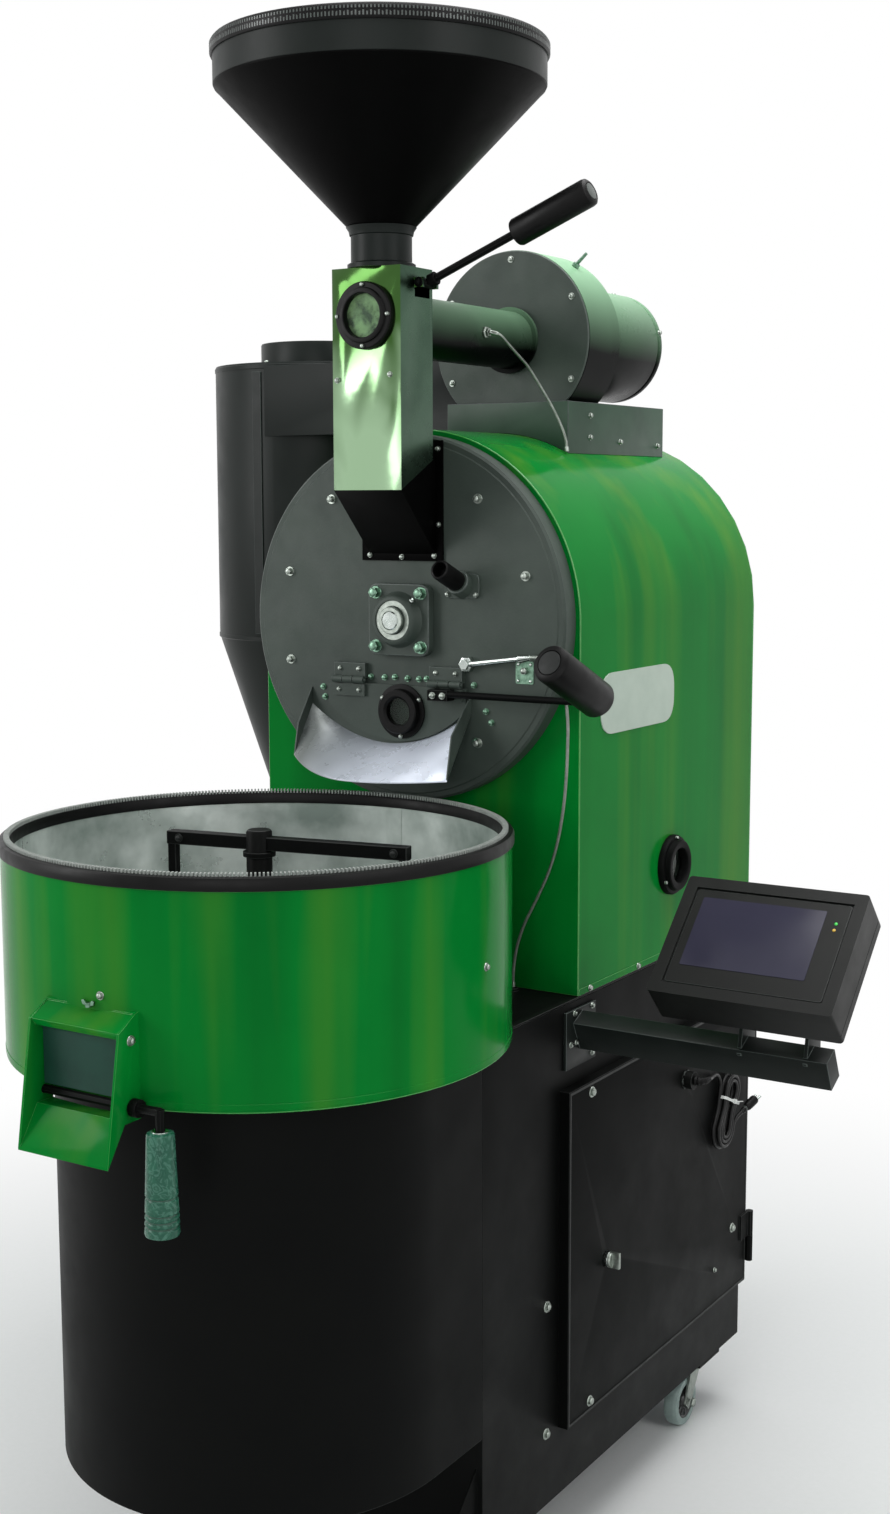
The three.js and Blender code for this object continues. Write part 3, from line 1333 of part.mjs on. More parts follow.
// Wedge between chute and plate: a leaning open box with a flange.
function chuteWedge() {
  const half = chute_width / 2;
  const skin = chute_sheet;
  const back = chute_front + chute_depth;
  const foot_z = chute_bottom - seat_gap;
  const roof_z = chute_back_bottom - seat_gap;
  const face = -seat_gap - wedge_flange;
  const outline = [[face, wedge_bottom], [chute_front, foot_z], [back, roof_z], [face, wedge_top]];
  const slope = (foot_z - wedge_bottom) / (face - chute_front);
  const floor_at = (y) => wedge_bottom + slope * (face - y) + skin * Math.sqrt(1 + slope ** 2);
  const hollow = [[overrun, floor_at(overrun)], [chute_front + skin, floor_at(chute_front + skin)],
    [chute_front + skin, foot_z + overrun * 4], [back - skin, roof_z + overrun * 4],
      [back - skin, roof_z - skin],
    [overrun, roof_z - skin]];
  const lean = new THREE.Matrix4().set(1, -feed_x / -chute_front, 0, 0, 0, 1, 0, 0, 0, 0, 1, 0, 0, 0, 0, 1);
  const outer = leaned(outline, -half, half, lean);
  const inner = leaned(hollow, skin - half, half - skin, lean);
  const flange = block(-wedge_flange_width / 2, wedge_flange_width / 2, face, -seat_gap,
    wedge_flange_bottom, wedge_flange_top);
  return cut(join(outer, flange), inner);
}

function leaned(outline, from, to, matrix) {
  const shape = new THREE.Shape(outline.map((p) => new THREE.Vector2(...p)));
  const geometry = new THREE.ExtrudeGeometry(shape, { depth: to - from, bevelEnabled: false });
  geometry.translate(0, 0, from);
  geometry.applyMatrix4(new THREE.Matrix4().makeBasis(new THREE.Vector3(0, 1, 0),
    new THREE.Vector3(0, 0, 1),
    new THREE.Vector3(1, 0, 0)));
  geometry.applyMatrix4(matrix);
  return solidOf(geometry);
}

function sightRing() {
  return ring(sight_radius, sight_bore, seat_gap - chute_front, sight_proud, [feed_x, 0, sight_z],
    [0, -1, 0], medium_sides);
}

// Feed lever: hub, flap inside the chute and rod to the right.
function feedLever() {
  const x = feedHubX();
  const half = feed_hub_length / 2;
  const hub = bar(feed_hub_radius, [x, feed_axis_y - half, feed_axis_z],
    [x, feed_axis_y + half, feed_axis_z], small_sides);
  const bore = bar(feed_pin_radius + turn_gap / 2, [x, feed_axis_y - half - overrun, feed_axis_z],
    [x, feed_axis_y + half + overrun, feed_axis_z], pin_sides);
  const thick = feed_flap_thickness / 2;
  const root_half = feed_window_width / 2 - 2 * turn_gap - feed_hub_radius / 2;
  const root = block(x - feed_flap_start - turn_gap, x - feed_pin_radius - turn_gap,
    feed_axis_y - root_half, feed_axis_y + root_half,
    feed_axis_z - thick, feed_axis_z + thick);
  const middle = chute_front + chute_depth / 2;
  const flap = block(x - feed_flap_start - feed_flap_width, x - feed_flap_start,
    middle - feed_flap_depth / 2,
    middle + feed_flap_depth / 2, feed_axis_z - thick, feed_axis_z + thick);
  const rod = bar(feed_rod_radius, feedPoint(feed_pin_radius + turn_gap),
    feedPoint(feed_rod_length + feed_grip_length / 2),
    pin_sides);
  return join(cut(join(hub, root, rod), bore), flap);
}

function feedPoint(along) {
  const rise = THREE.MathUtils.degToRad(feed_rise);
  return [feedHubX() + along * Math.cos(rise), feed_axis_y, feed_axis_z + along * Math.sin(rise)];
}

function feedGrip() {
  return gripOn(feed_grip_radius, feed_rod_radius + seat_gap, feed_grip_length, feedPoint(feed_rod_length),
    feedPoint(feed_rod_length + feed_grip_length), medium_sides);
}

// Exhaust pipe from chute to fan, with the boss of its probe.
function exhaustPipe() {
  const from = chute_front + chute_depth + seat_gap;
  const to = fan_y - seat_gap;
  const pipe = ring(pipe_radius, pipe_radius - sheet, from, to - from, [feed_x, 0, fan_z], [0, 1, 0],
    medium_sides);
  const flange = ring(pipe_radius + sheet * 2, pipe_radius - sheet, to - sheet, sheet, [feed_x, 0, fan_z],
    [0, 1, 0],
    medium_sides);
  const boss = bolt(pipe_bend_boss, [feed_x + pipe_radius - sheet / 2, pipe_boss_y, fan_z],
    [feed_x + pipe_radius + pipe_bend_boss, pipe_boss_y, fan_z]);
  return join(pipe, flange, boss);
}

// Fan scroll: a round case with a duct to the left that meets the cyclone's side.
function fanScroll() {
  const front = fan_y + fan_cover_sheet + seat_gap;
  const back = fan_y + fan_depth;
  const bottom = fan_z - fan_radius;
  const round = bar(fan_radius, [feed_x, front, fan_z], [feed_x, back, fan_z], drum_sides);
  const duct = block(cyclone_x, feed_x, front, back, bottom, bottom + duct_height);
  const chamber = bar(fan_radius - sheet, [feed_x, front - overrun, fan_z], [feed_x, back - sheet, fan_z],
    drum_sides);
  const channel = block(cyclone_x - overrun, feed_x, front + sheet, back - sheet, bottom + sheet,
    bottom + duct_height - sheet);
  const barrel = bar(cyclone_radius + seat_gap, [cyclone_x, cyclone_y, bottom - overrun],
    [cyclone_x, cyclone_y, bottom + duct_height + overrun], large_sides);
  const far = block(cyclone_x - overrun, cyclone_x + duct_tip, front - overrun, back + overrun,
    bottom - overrun,
    bottom + duct_height + overrun);
  const shaft = bar(impeller_shaft_radius + turn_gap, [feed_x, back - sheet - overrun, fan_z],
    [feed_x, back + overrun, fan_z],
    small_sides);
  const damper_hole = bar(damper_radius + turn_gap / 2, damperPoint(fan_radius - sheet - overrun),
    damperPoint(fan_radius + overrun),
    pin_sides);
  return cut(join(round, duct), chamber, channel, barrel, far, shaft, damper_hole);
}

function damperPoint(along, aside = 0) {
  const angle = Math.atan2(damper_z - fan_z, damper_x - feed_x);
  return [feed_x + along * Math.cos(angle) + aside * Math.sin(angle), damper_y,
    fan_z + along * Math.sin(angle) - aside * Math.cos(angle)];
}

function fanCover() {
  const cover = ring(fan_radius, pipe_radius - sheet, fan_y, fan_cover_sheet, [feed_x, 0, fan_z], [0, 1, 0],
    drum_sides);
  const screws = [];
  for (let i = 0; i < fan_screws; i += 1) {
    const angle = (2 * Math.PI * (i + fan_screw_phase)) / fan_screws;
    const x = feed_x + fan_screw_circle * Math.cos(angle);
    const z = fan_z + fan_screw_circle * Math.sin(angle);
    screws.push(bolt(fan_screw_radius, [x, fan_y - fan_screw_height, z], [x, fan_y + sheet / 2, z]));
  }
  return join(cover, ...screws);
}

// Impeller: back disc, blades, and the shaft that enters the motor.
function fanImpeller() {
  const back = fan_y + fan_depth - sheet - impeller_gap;
  const front = back - impeller_width;
  const disc = bar(impeller_radius, [feed_x, back - sheet, fan_z], [feed_x, back, fan_z], medium_sides);
  const hub = bar(impeller_shaft_radius * 2, [feed_x, front, fan_z], [feed_x, back, fan_z], small_sides);
  const shaft = bar(impeller_shaft_radius, [feed_x, back - sheet, fan_z],
    [feed_x, fan_y + fan_depth + motor_neck, fan_z], small_sides);
  const blades = [];
  for (let i = 0; i < impeller_blades; i += 1) {
    const blade = block(impeller_shaft_radius * 2 - sheet, impeller_radius, front, back - sheet / 2,
      -sheet / 2, sheet / 2);
    blades.push(blade.rotate([0, (360 * i) / impeller_blades, 0]).translate([feed_x, 0, fan_z]));
  }
  return join(disc, hub, shaft, ...blades);
}

// Fan motor with its cowl; the cowl sits a little above the shaft.
function fanMotor() {
  const from = fan_y + fan_depth + seat_gap;
  const neck = bar(motor_neck_radius, [feed_x, from, fan_z], [feed_x, from + motor_neck + overrun, fan_z],
    medium_sides);
  const cowl = bar(motor_radius, [feed_x, from + motor_neck, fan_z + motor_rise],
    [feed_x, motor_rear, fan_z + motor_rise],
    drum_sides);
  const bore = bar(impeller_shaft_radius + turn_gap, [feed_x, from - overrun, fan_z],
    [feed_x, from + motor_neck + overrun, fan_z], small_sides);
  return cut(join(neck, cowl), bore);
}

// Fan bracket: a folded box on the arch, notched round the scroll, with a saddle under the motor.
function fanBracket() {
  const left = fan_bracket_left;
  const right = fan_bracket_right;
  const low = drum_axis_z + half_width / 2;
  const outer = block(left, right, fan_bracket_front, fan_bracket_rear, low, fan_bracket_top);
  const inner = block(left + sheet, right - sheet, fan_bracket_front + sheet, fan_bracket_rear - sheet,
    low - overrun,
    fan_bracket_top - sheet);
  const arch = bar(half_width + seat_gap, [0, 0, drum_axis_z], [0, housing_rear, drum_axis_z],
    large_sides * 2);
  const from = fan_y - seat_gap;
  const to = fan_y + fan_depth + seat_gap;
  const round = bar(fan_radius + turn_gap, [feed_x, from, fan_z], [feed_x, to, fan_z], drum_sides);
  const duct = block(left - overrun, feed_x, from, to, fan_z - fan_radius - seat_gap,
    fan_bracket_top + overrun);
  const saddle_reach = motor_radius * saddle_share;
  const saddle = block(feed_x - saddle_reach, feed_x + saddle_reach, to + motor_neck,
    to + motor_neck + saddle_thick,
    fan_bracket_top - sheet / 2, fan_bracket_top + motor_radius * saddle_rise_share);
  const cowl = bar(motor_radius + seat_gap, [feed_x, to, fan_z + motor_rise],
    [feed_x, motor_rear, fan_z + motor_rise],
    drum_sides);
  return cut(join(cut(outer, inner), saddle), arch, round, duct, cowl);
}

// Damper lever: hub on the scroll, a stub into it and a short rod.
function damperLever() {
  const stub = bar(damper_radius, damperPoint(fan_radius - sheet),
    damperPoint(fan_radius + damper_hub_radius), pin_sides);
  const hub = bar(damper_hub_radius, damperPoint(fan_radius + turn_gap),
    damperPoint(fan_radius + damper_hub_radius * 2),
    small_sides);
  const rod = bar(damper_radius, damperPoint(fan_radius + damper_rod_place),
    damperPoint(fan_radius + damper_rod_place, damper_length), pin_sides);
  return join(stub, hub, rod);
}

// Cyclone: barrel, cone and outlet, with the clean-air collar dipping in from the top.
function cyclone() {
  const radius = cyclone_radius;
  const skin = sheet;
  const profile = [[cyclone_outlet_radius, cyclone_outlet_z], [cyclone_outlet_radius, cyclone_cone_bottom],
    [radius, cyclone_cone_top], [radius, cyclone_top], [collar_radius, cyclone_top],
    [collar_radius, cyclone_top + collar_height], [collar_radius - skin, cyclone_top + collar_height],
    [collar_radius - skin, cyclone_top - collar_dip], [collar_radius, cyclone_top - collar_dip],
    [collar_radius, cyclone_top - skin], [radius - skin, cyclone_top - skin],
      [radius - skin, cyclone_cone_top],
    [cyclone_outlet_radius - skin, cyclone_cone_bottom], [cyclone_outlet_radius - skin, cyclone_outlet_z]];
  const body = turned(profile, [cyclone_x, cyclone_y, 0], [0, 0, 1], large_sides);
  const bottom = fan_z - fan_radius;
  const front = fan_y + fan_cover_sheet + seat_gap;
  const inlet = block(cyclone_x + duct_tip, cyclone_x + radius + overrun, front + sheet,
    fan_y + fan_depth - sheet,
    bottom + sheet, bottom + duct_height - sheet);
  const lug_z = cyclone_cone_top + cyclone_lug_height / 2 + overrun;
  const lug = cut(block(cyclone_x + radius - skin * 3, -half_width - seat_gap,
    cyclone_y - cyclone_lug_depth / 2,
    cyclone_y + cyclone_lug_depth / 2, lug_z - cyclone_lug_height / 2, lug_z + cyclone_lug_height / 2),
  bar(radius - skin / 2, [cyclone_x, cyclone_y, lug_z - cyclone_lug_height],
    [cyclone_x, cyclone_y, lug_z + cyclone_lug_height],
    large_sides));
  return join(cut(body, inlet), lug);
}

// Chaff drum under the cyclone, its lid open under the outlet.
function chaffDrum() {
  const top = cyclone_outlet_z - seat_gap;
  const profile = [[0, chaff_bottom], [chaff_radius, chaff_bottom], [chaff_radius, top],
    [cyclone_outlet_radius - sheet, top],
    [cyclone_outlet_radius - sheet, top - sheet], [chaff_radius - sheet, top - sheet],
      [chaff_radius - sheet, chaff_bottom + sheet],
    [0, chaff_bottom + sheet]];
  return turned(profile, [cyclone_x, cyclone_y, 0], [0, 0, 1], drum_sides);
}

// Arm of the operator screen: flange, rolled tube and two ears.
function screenArm() {
  const flange_x = half_width + seat_gap;
  const flange = block(flange_x, flange_x + arm_flange, arm_flange_front, arm_flange_rear,
    arm_flange_bottom, arm_flange_top);
  const tube = aroundX(block(flange_x + arm_flange / 2, arm_end, arm_y - arm_width / 2,
    arm_y + arm_width / 2,
    arm_z - arm_height / 2, arm_z + arm_height / 2), arm_roll - 90, arm_y, arm_z);
  const outline = [[screen_pivot_y - screen_ear_width, arm_z + overrun],
    [screen_pivot_y + screen_ear_width / 2, arm_z + overrun],
    [screen_pivot_y + screen_ear_width / 2, screen_pivot_z + screen_ear_width / 4],
    [screen_pivot_y, screen_pivot_z + screen_ear_width / 2], [screen_pivot_y - screen_ear_width / 2,
      screen_pivot_z + screen_ear_width / 4]];
  const ears = [screen_x - screen_ear_gap / 2, screen_x + screen_ear_gap / 2 - screen_ear].map((x) =>
    pushed(outline, "x", x, x + screen_ear));
  const bore = bar(screen_pivot_radius + turn_gap / 2,
    [screen_x - screen_ear_gap, screen_pivot_y, screen_pivot_z],
    [screen_x + screen_ear_gap, screen_pivot_y, screen_pivot_z], pin_sides);
  return cut(join(flange, tube, ...ears), bore);
}

// Operator screen: a flat case with a recessed face and two lugs on a cross pin.
function screenBox() {
  const w = screen_width / 2;
  const h = screen_height / 2;
  const d = screen_depth / 2;
  const rad = THREE.MathUtils.degToRad(screen_tilt);
  const dy = screen_pivot_y - screen_y;
  const dz = screen_pivot_z - screen_z;
  const pivot_y = dy * Math.cos(rad) - dz * Math.sin(rad);
  const pivot_z = dy * Math.sin(rad) + dz * Math.cos(rad);
  const body = cut(block(-w, w, -d, d, -h, h),
    block(screen_lip_border - w, w - screen_lip_border, -d - overrun,
    screen_lip / 2 - d, screen_lip_border - h, h - screen_lip_border));
  const lug_half = screen_ear_width / 2;
  const reach = screen_ear_gap / 2 - screen_ear - turn_gap;
  const lugs = [-reach, reach - screen_ear].map((x) => block(x, x + screen_ear, d - overrun,
    pivot_y + lug_half / 2,
    pivot_z - lug_half / 2, pivot_z + lug_half / 2));
  const pin = bar(screen_pivot_radius, [-screen_ear_gap / 2, pivot_y, pivot_z],
    [screen_ear_gap / 2, pivot_y, pivot_z], pin_sides);
  return join(body, ...lugs, pin).rotate([-screen_tilt, 0, 0]).translate([screen_x, screen_y, screen_z]);
}

// A cord's free stretch along a smooth curve through its points.
function cordAlong(points, radius, steps) {
  const curve = new THREE.CatmullRomCurve3(points.map((p) => new THREE.Vector3(...p)));
  const section = new THREE.Shape(arc(0, 0, radius, 0, 2 * Math.PI, cord_sides).slice(0, -1).map((p) =>
    new THREE.Vector2(...p)));
  return solidOf(new THREE.ExtrudeGeometry(section, { steps, extrudePath: curve, bevelEnabled: false }));
}

// One point of the hank: a waisted loop whose turns spiral in and out while they pile up.
function hankPoint(turns) {
  const turned_in = turns < 0 ? hank_turns_per_layer - turns
    : Math.abs(hank_turns_per_layer - (turns % (2 * hank_turns_per_layer)));
  const offset = hank_pitch * turned_in;
  const phase = turns - Math.floor(turns);
  const straight = hank_length / 2 - hank_inner_half - hank_pitch * hank_turns_per_layer;
  const wide = hank_inner_half + offset;
  const waist = hank_waist_half + offset;
  const half_run = hank_run_share / 2;
  const bend = 1 / 2 - hank_run_share;
  const spread = (share) => waist + (wide - waist) * share;
  if (phase < half_run) return [-spread(phase / half_run), -straight * (phase / half_run)];
  if (phase < half_run + bend) {
    const angle = Math.PI * (phase - half_run) / bend;
    return [-wide * Math.cos(angle), -straight - wide * Math.sin(angle)];
  }
  if (phase < 1 / 2 + half_run) {
    const share = (phase - 1 / 2) / half_run;
    return [spread(Math.abs(share)), straight * share];
  }
  if (phase < 1 - half_run) {
    const angle = Math.PI * (phase - 1 / 2 - half_run) / bend;
    return [wide * Math.cos(angle), straight + wide * Math.sin(angle)];
  }
  const share = (1 - phase) / half_run;
  return [-spread(share), straight * share];
}

// Height of the hank's pile: it rises one layer along the run where the spiral turns back.
function hankRise(turns) {
  let rise = 0;
  for (let k = 1; k < hank_layers; k += 1) {
    const share = (turns - k * hank_turns_per_layer + hank_run_share / 2) / hank_run_share;
    rise += hank_pitch * Math.min(1, Math.max(0, share));
  }
  return rise;
}

function hankPlace(across, up, rise) {
  const lean = THREE.MathUtils.degToRad(hank_lean);
  const y = hank_y + across * Math.cos(lean) + up * Math.sin(lean);
  const z = hank_top_z - hank_length / 2 - across * Math.sin(lean) + up * Math.cos(lean);
  return new THREE.Vector3(half_width + service_proud + hank_proud + rise, y, z);
}

function hankLine() {
  const start = -hank_run_share * hank_start_share;
  const end = hank_layers * hank_turns_per_layer - hank_short_turns;
  const steps = Math.round((end - start) * hank_loop_steps);
  const line = [];
  for (let i = 0; i <= steps; i += 1) {
    const turns = start + ((end - start) * i) / steps;
    line.push(hankPlace(...hankPoint(turns), hankRise(turns)));
  }
  const last = line[line.length - 1];
  const way = last.clone().sub(line[line.length - 2]).normalize();
  const aside = hankPlace(1, 0, hank_exit_lift).sub(hankPlace(0, 0, 0)).normalize();
  for (let k = 1; k <= hank_exit_steps; k += 1) {
    const s = k * hank_exit_step;
    line.push(last.clone().addScaledVector(way, s).addScaledVector(aside, s ** 2 / (2 * hank_exit_bend)));
  }
  const tip = line[line.length - 1];
  const heading = way.clone().addScaledVector(aside,
    (hank_exit_steps * hank_exit_step) / hank_exit_bend).normalize();
  line.push(tip.clone().addScaledVector(heading, 2 * lead_radius));
  return line;
}

// Sweeps a small polygon along a line of points and closes both ends.
function sweptLine(line, radius, sides) {
  const points = [];
  const index = [];
  const outward = new THREE.Vector3(1, 0, 0);
  line.forEach((point, i) => {
    const ahead = line[Math.min(i + 1, line.length - 1)].clone().sub(line[Math.max(i - 1, 0)]).normalize();
    const u = outward.clone().addScaledVector(ahead, -outward.dot(ahead)).normalize();
    const v = new THREE.Vector3().crossVectors(ahead, u);
    for (let j = 0; j < sides; j += 1) {
      const angle = (2 * Math.PI * j) / sides;
      points.push(point.clone().addScaledVector(u, radius * Math.cos(angle)).addScaledVector(v,
        radius * Math.sin(angle))
        .toArray());
    }
  });
  for (let i = 0; i + 1 < line.length; i += 1) {
    for (let j = 0; j < sides; j += 1) {
      const [a, b] = [i * sides + j, i * sides + (j + 1) % sides];
      index.push(a, b, b + sides, a, b + sides, a + sides);
    }
  }
  const last = (line.length - 1) * sides;
  for (let j = 1; j + 1 < sides; j += 1) {
    index.push(0, j + 1, j, last, last + j, last + j + 1);
  }
  return closedMesh(points, index);
}

// Least clear distance between stretches of a wound line, by fine points along it.
function leastGap(line, radius, apart) {
  const fine = [];
  for (let i = 0; i + 1 < line.length; i += 1) {
    for (let k = 0; k < 3; k += 1) fine.push(line[i].clone().lerp(line[i + 1], k / 3));
  }
  let least = Infinity;
  for (let i = 0; i < fine.length; i += 1) {
    for (let j = i + 3 * apart; j < fine.length; j += 1) least = Math.min(least,
      fine[i].distanceTo(fine[j]));
  }
  return least - 2 * radius;
}

// Plug on the end of the hank: a round body with a bright pin.
function powerPlug(line) {
  const end = line[line.length - 1];
  const way = end.clone().sub(line[line.length - 2]).normalize();
  const at = (along) => end.clone().addScaledVector(way, along).toArray();
  const body = bar(plug_neck_radius, at(seat_gap), at(seat_gap + plug_length), small_sides, plug_radius);
  const pins = [-1, 1].map((side) => {
    const across = new THREE.Vector3(side * plug_pin_pitch / 2, 0, 0);
    const from = new THREE.Vector3(...at(plug_length / 2)).add(across);
    return bar(plug_pin_radius, from.toArray(),
      from.clone().addScaledVector(way, plug_length / 2 + plug_pin_length).toArray(), pin_sides);
  });
  return join(body, ...pins);
}

const green = "#1c7f24";
const dark = "#26282a";
const black = "#151515";
const steel = "#b9bcbd";
const zinc = "#9fa59b";
const grip_green = "#5d6b5f";
const tread = "#9cafac";

place("base_cabinet", baseCabinet(), black, 0.35, 0.1);
place("deck_plate", deckPlate(), black, 0.35, 0.1);
place("bin_skirt", binSkirt(), black, 0.35, 0.1);
place("service_door", serviceDoor(), black, 0.35, 0.1);
place("door_lock", doorLock(), dark, 0.4, 0.6);
for (const [where, x, y] of casterPlaces()) {
  place(`caster_fork_${where}`, casterFork(x, y), zinc, 0.4, 0.9);
  place(`caster_wheel_${where}`, casterWheel(x, y), tread, 0.5, 0);
}
place("bin_wall", binWall(), green, 0.3, 0.1);
place("bin_liner", binLiner(), steel, 0.2, 1);
place("bin_floor", binFloor(), steel, 0.3, 1);
place("stirrer_arms", stirrerArms(), black, 0.4, 0.2);
place("stirrer_gearmotor", stirrerGearmotor(), dark, 0.5, 0.3);
place("cooling_blower", coolingBlower(), dark, 0.5, 0.3);
place("outlet_hood", outletHood(), green, 0.3, 0.1);
place("bin_gate", binGate(), dark, 0.4, 0.4);
place("gate_lever", gateLever(), black, 0.4, 0.5);
place("gate_grip", gateGrip(), grip_green, 0.3, 0);
place("housing_shell", housingShell(), green, 0.3, 0.1);
place("housing_rear_panel", housingRearPanel(), green, 0.3, 0.1);
place("front_plate", frontPlate(), dark, 0.5, 0.4);
place("drum_casing", drumCasing(), steel, 0.4, 1);
place("roasting_drum", roastingDrum(), dark, 0.5, 0.8);
place("drum_shaft", drumShaft(), steel, 0.25, 1);
place("front_bearing", frontBearing(), dark, 0.5, 0.5);
place("drum_gearmotor", drumGearmotor(), dark, 0.5, 0.3);
place("burner", burner(), dark, 0.5, 0.7);
place("peephole", peephole(), black, 0.4, 0.3);
place("sampler", sampler(), dark, 0.4, 0.5);
place("discharge_door", dischargeDoor(), dark, 0.5, 0.4);
place("door_lever", doorLever(), black, 0.4, 0.5);
place("door_grip", doorGrip(), black, 0.5, 0);
place("spout", spout(), steel, 0.2, 1);
place("bean_probe_cable", cordAlong(probe_cable_points, cable_radius, probe_cable_steps), zinc, 0.6, 0.3);
place("hopper", hopper(), black, 0.35, 0.3);
place("feed_chute", feedChute(), steel, 0.2, 1);
place("chute_wedge", chuteWedge(), black, 0.4, 0.3);
place("sight_ring", sightRing(), black, 0.4, 0.3);
place("feed_lever", feedLever(), black, 0.4, 0.5);
place("feed_grip", feedGrip(), black, 0.5, 0);
place("exhaust_pipe", exhaustPipe(), dark, 0.4, 0.5);
place("exhaust_probe_cable", cordAlong(exhaust_cable_points, cable_radius, exhaust_cable_steps), zinc, 0.6,
  0.3);
place("fan_scroll", fanScroll(), dark, 0.4, 0.4);
place("fan_cover", fanCover(), black, 0.4, 0.3);
place("fan_impeller", fanImpeller(), steel, 0.4, 0.9);
place("fan_motor", fanMotor(), dark, 0.5, 0.3);
place("fan_bracket", fanBracket(), dark, 0.4, 0.4);
place("damper_lever", damperLever(), black, 0.4, 0.5);
place("cyclone", cyclone(), dark, 0.4, 0.4);
place("chaff_drum", chaffDrum(), dark, 0.4, 0.4);
place("screen_arm", screenArm(), dark, 0.4, 0.3);
place("screen_box", screenBox(), dark, 0.4, 0.2);
const hank_line = hankLine();
const hank_start = hank_line[0].clone();
const hank_lead_in = hank_start.clone().sub(hank_line[1]).normalize();
const hank_entry = hank_start.clone().add(hank_lead_in.multiplyScalar(seat_gap));
place("power_lead", cordAlong([...lead_points, hank_entry.toArray()], lead_radius, lead_steps), black, 0.6,
  0);
place("power_hank", sweptLine(hank_line, lead_radius, hank_sides), black, 0.6, 0);
place("power_plug", powerPlug(hank_line), black, 0.5, 0);
console.log("least gap of the hank to itself, mm:",
  leastGap(hank_line, lead_radius, hank_sides).toFixed(2));

const box = new THREE.Box3().setFromObject(roaster);
const middle = box.getCenter(new THREE.Vector3());
for (const part of roaster.children) part.geometry.translate(-middle.x, -middle.y, -box.min.z);

export default roaster;
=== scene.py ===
import logging
import math
from dataclasses import dataclass, field
from enum import Enum
from typing import Callable, Iterable, Sequence

import bmesh
import bpy
from mathutils import Matrix, Vector


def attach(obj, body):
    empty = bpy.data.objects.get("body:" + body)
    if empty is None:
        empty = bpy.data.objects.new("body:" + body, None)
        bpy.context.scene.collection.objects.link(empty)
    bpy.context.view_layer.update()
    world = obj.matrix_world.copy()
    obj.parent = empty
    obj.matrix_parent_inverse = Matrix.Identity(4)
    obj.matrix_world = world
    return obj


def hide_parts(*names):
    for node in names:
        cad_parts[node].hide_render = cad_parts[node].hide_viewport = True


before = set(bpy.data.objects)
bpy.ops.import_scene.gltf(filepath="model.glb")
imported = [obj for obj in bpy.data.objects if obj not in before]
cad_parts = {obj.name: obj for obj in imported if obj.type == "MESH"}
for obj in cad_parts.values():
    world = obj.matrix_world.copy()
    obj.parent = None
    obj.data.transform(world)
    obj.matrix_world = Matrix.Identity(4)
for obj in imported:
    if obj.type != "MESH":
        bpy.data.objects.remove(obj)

Point = Sequence[float]
Outline = Sequence[tuple[float, float]]
Places = list[tuple[Point, Point]]

log = logging.getLogger("roaster")
MM = 0.001
FLOOR_SHIFT = Vector((-22.0, -19.5, 0.0))  # from the machine's own floor frame to the row's frame, in mm
SHARP = math.radians(35.0)
QUARTER = math.pi / 2
RIGHT, BACK, UP = (1, 0, 0), (0, 1, 0), (0, 0, 1)
LEFT, FRONT, DOWN = (-1, 0, 0), (0, -1, 0), (0, 0, -1)

# Sizes shared by several sub-assemblies, in mm on the floor frame
HALF_WIDTH = 246.75
CABINET_FRONT = -210.0
DRUM_Z = 1244.5
BIN_Y = -315.0
BIN_RADIUS = 300.8
FEED_X = 20.0
FAN_Z = 1617.6
SEAT = 0.3
BIN_AXIS = (0, BIN_Y, 0)
DRUM_AXIS = (0, 0, DRUM_Z)
DOOR_SIGHT = (0, 0, 1124)
HINGES = (-82.0, 69.0)
SAMPLER_FOOT = (91, 0, 1290)
SAMPLER_TILT = math.radians(22)
SAMPLER_WAY = (0, -math.cos(SAMPLER_TILT), math.sin(SAMPLER_TILT))


# ---------------------------------------------------------------- node helper

def add_node(tree: bpy.types.NodeTree, kind: str, settings: dict | None = None,
             inputs: dict | None = None) -> bpy.types.Node:
    """Adds one node with its settings, input values and incoming links.

    Args:
        tree: Node tree that receives the node.
        kind: Type name of the node.
        settings: Attribute values of the node.
        inputs: Input values by name or index; an output socket as value makes a link.

    Returns:
        The new node.
    """
    node = tree.nodes.new(kind)
    for name, value in (settings or {}).items():
        setattr(node, name, value)
    for name, value in (inputs or {}).items():
        if isinstance(value, bpy.types.NodeSocket):
            tree.links.new(value, node.inputs[name])
        else:
            node.inputs[name].default_value = value
    return node


def linear(code: str) -> tuple[float, ...]:
    """Turns an sRGB hex colour into linear components.

    Args:
        code: Colour as a hash and six hex digits.

    Returns:
        Linear red, green and blue, and an alpha of 1.
    """
    parts = [int(code[i:i + 2], 16) / 255.0 for i in (1, 3, 5)]
    return (*(c / 12.92 if c <= 0.04045 else ((c + 0.055) / 1.055) ** 2.4 for c in parts), 1.0)


# ---------------------------------------------------------------- finishes

class Flow(Enum):
    """Direction in which a surface's fine marks are drawn out."""

    EVEN = (1.0, 1.0, 1.0)
    UPRIGHT = (1.0, 1.0, 0.04)
    ROUND = (0.3, 0.3, 6.0)


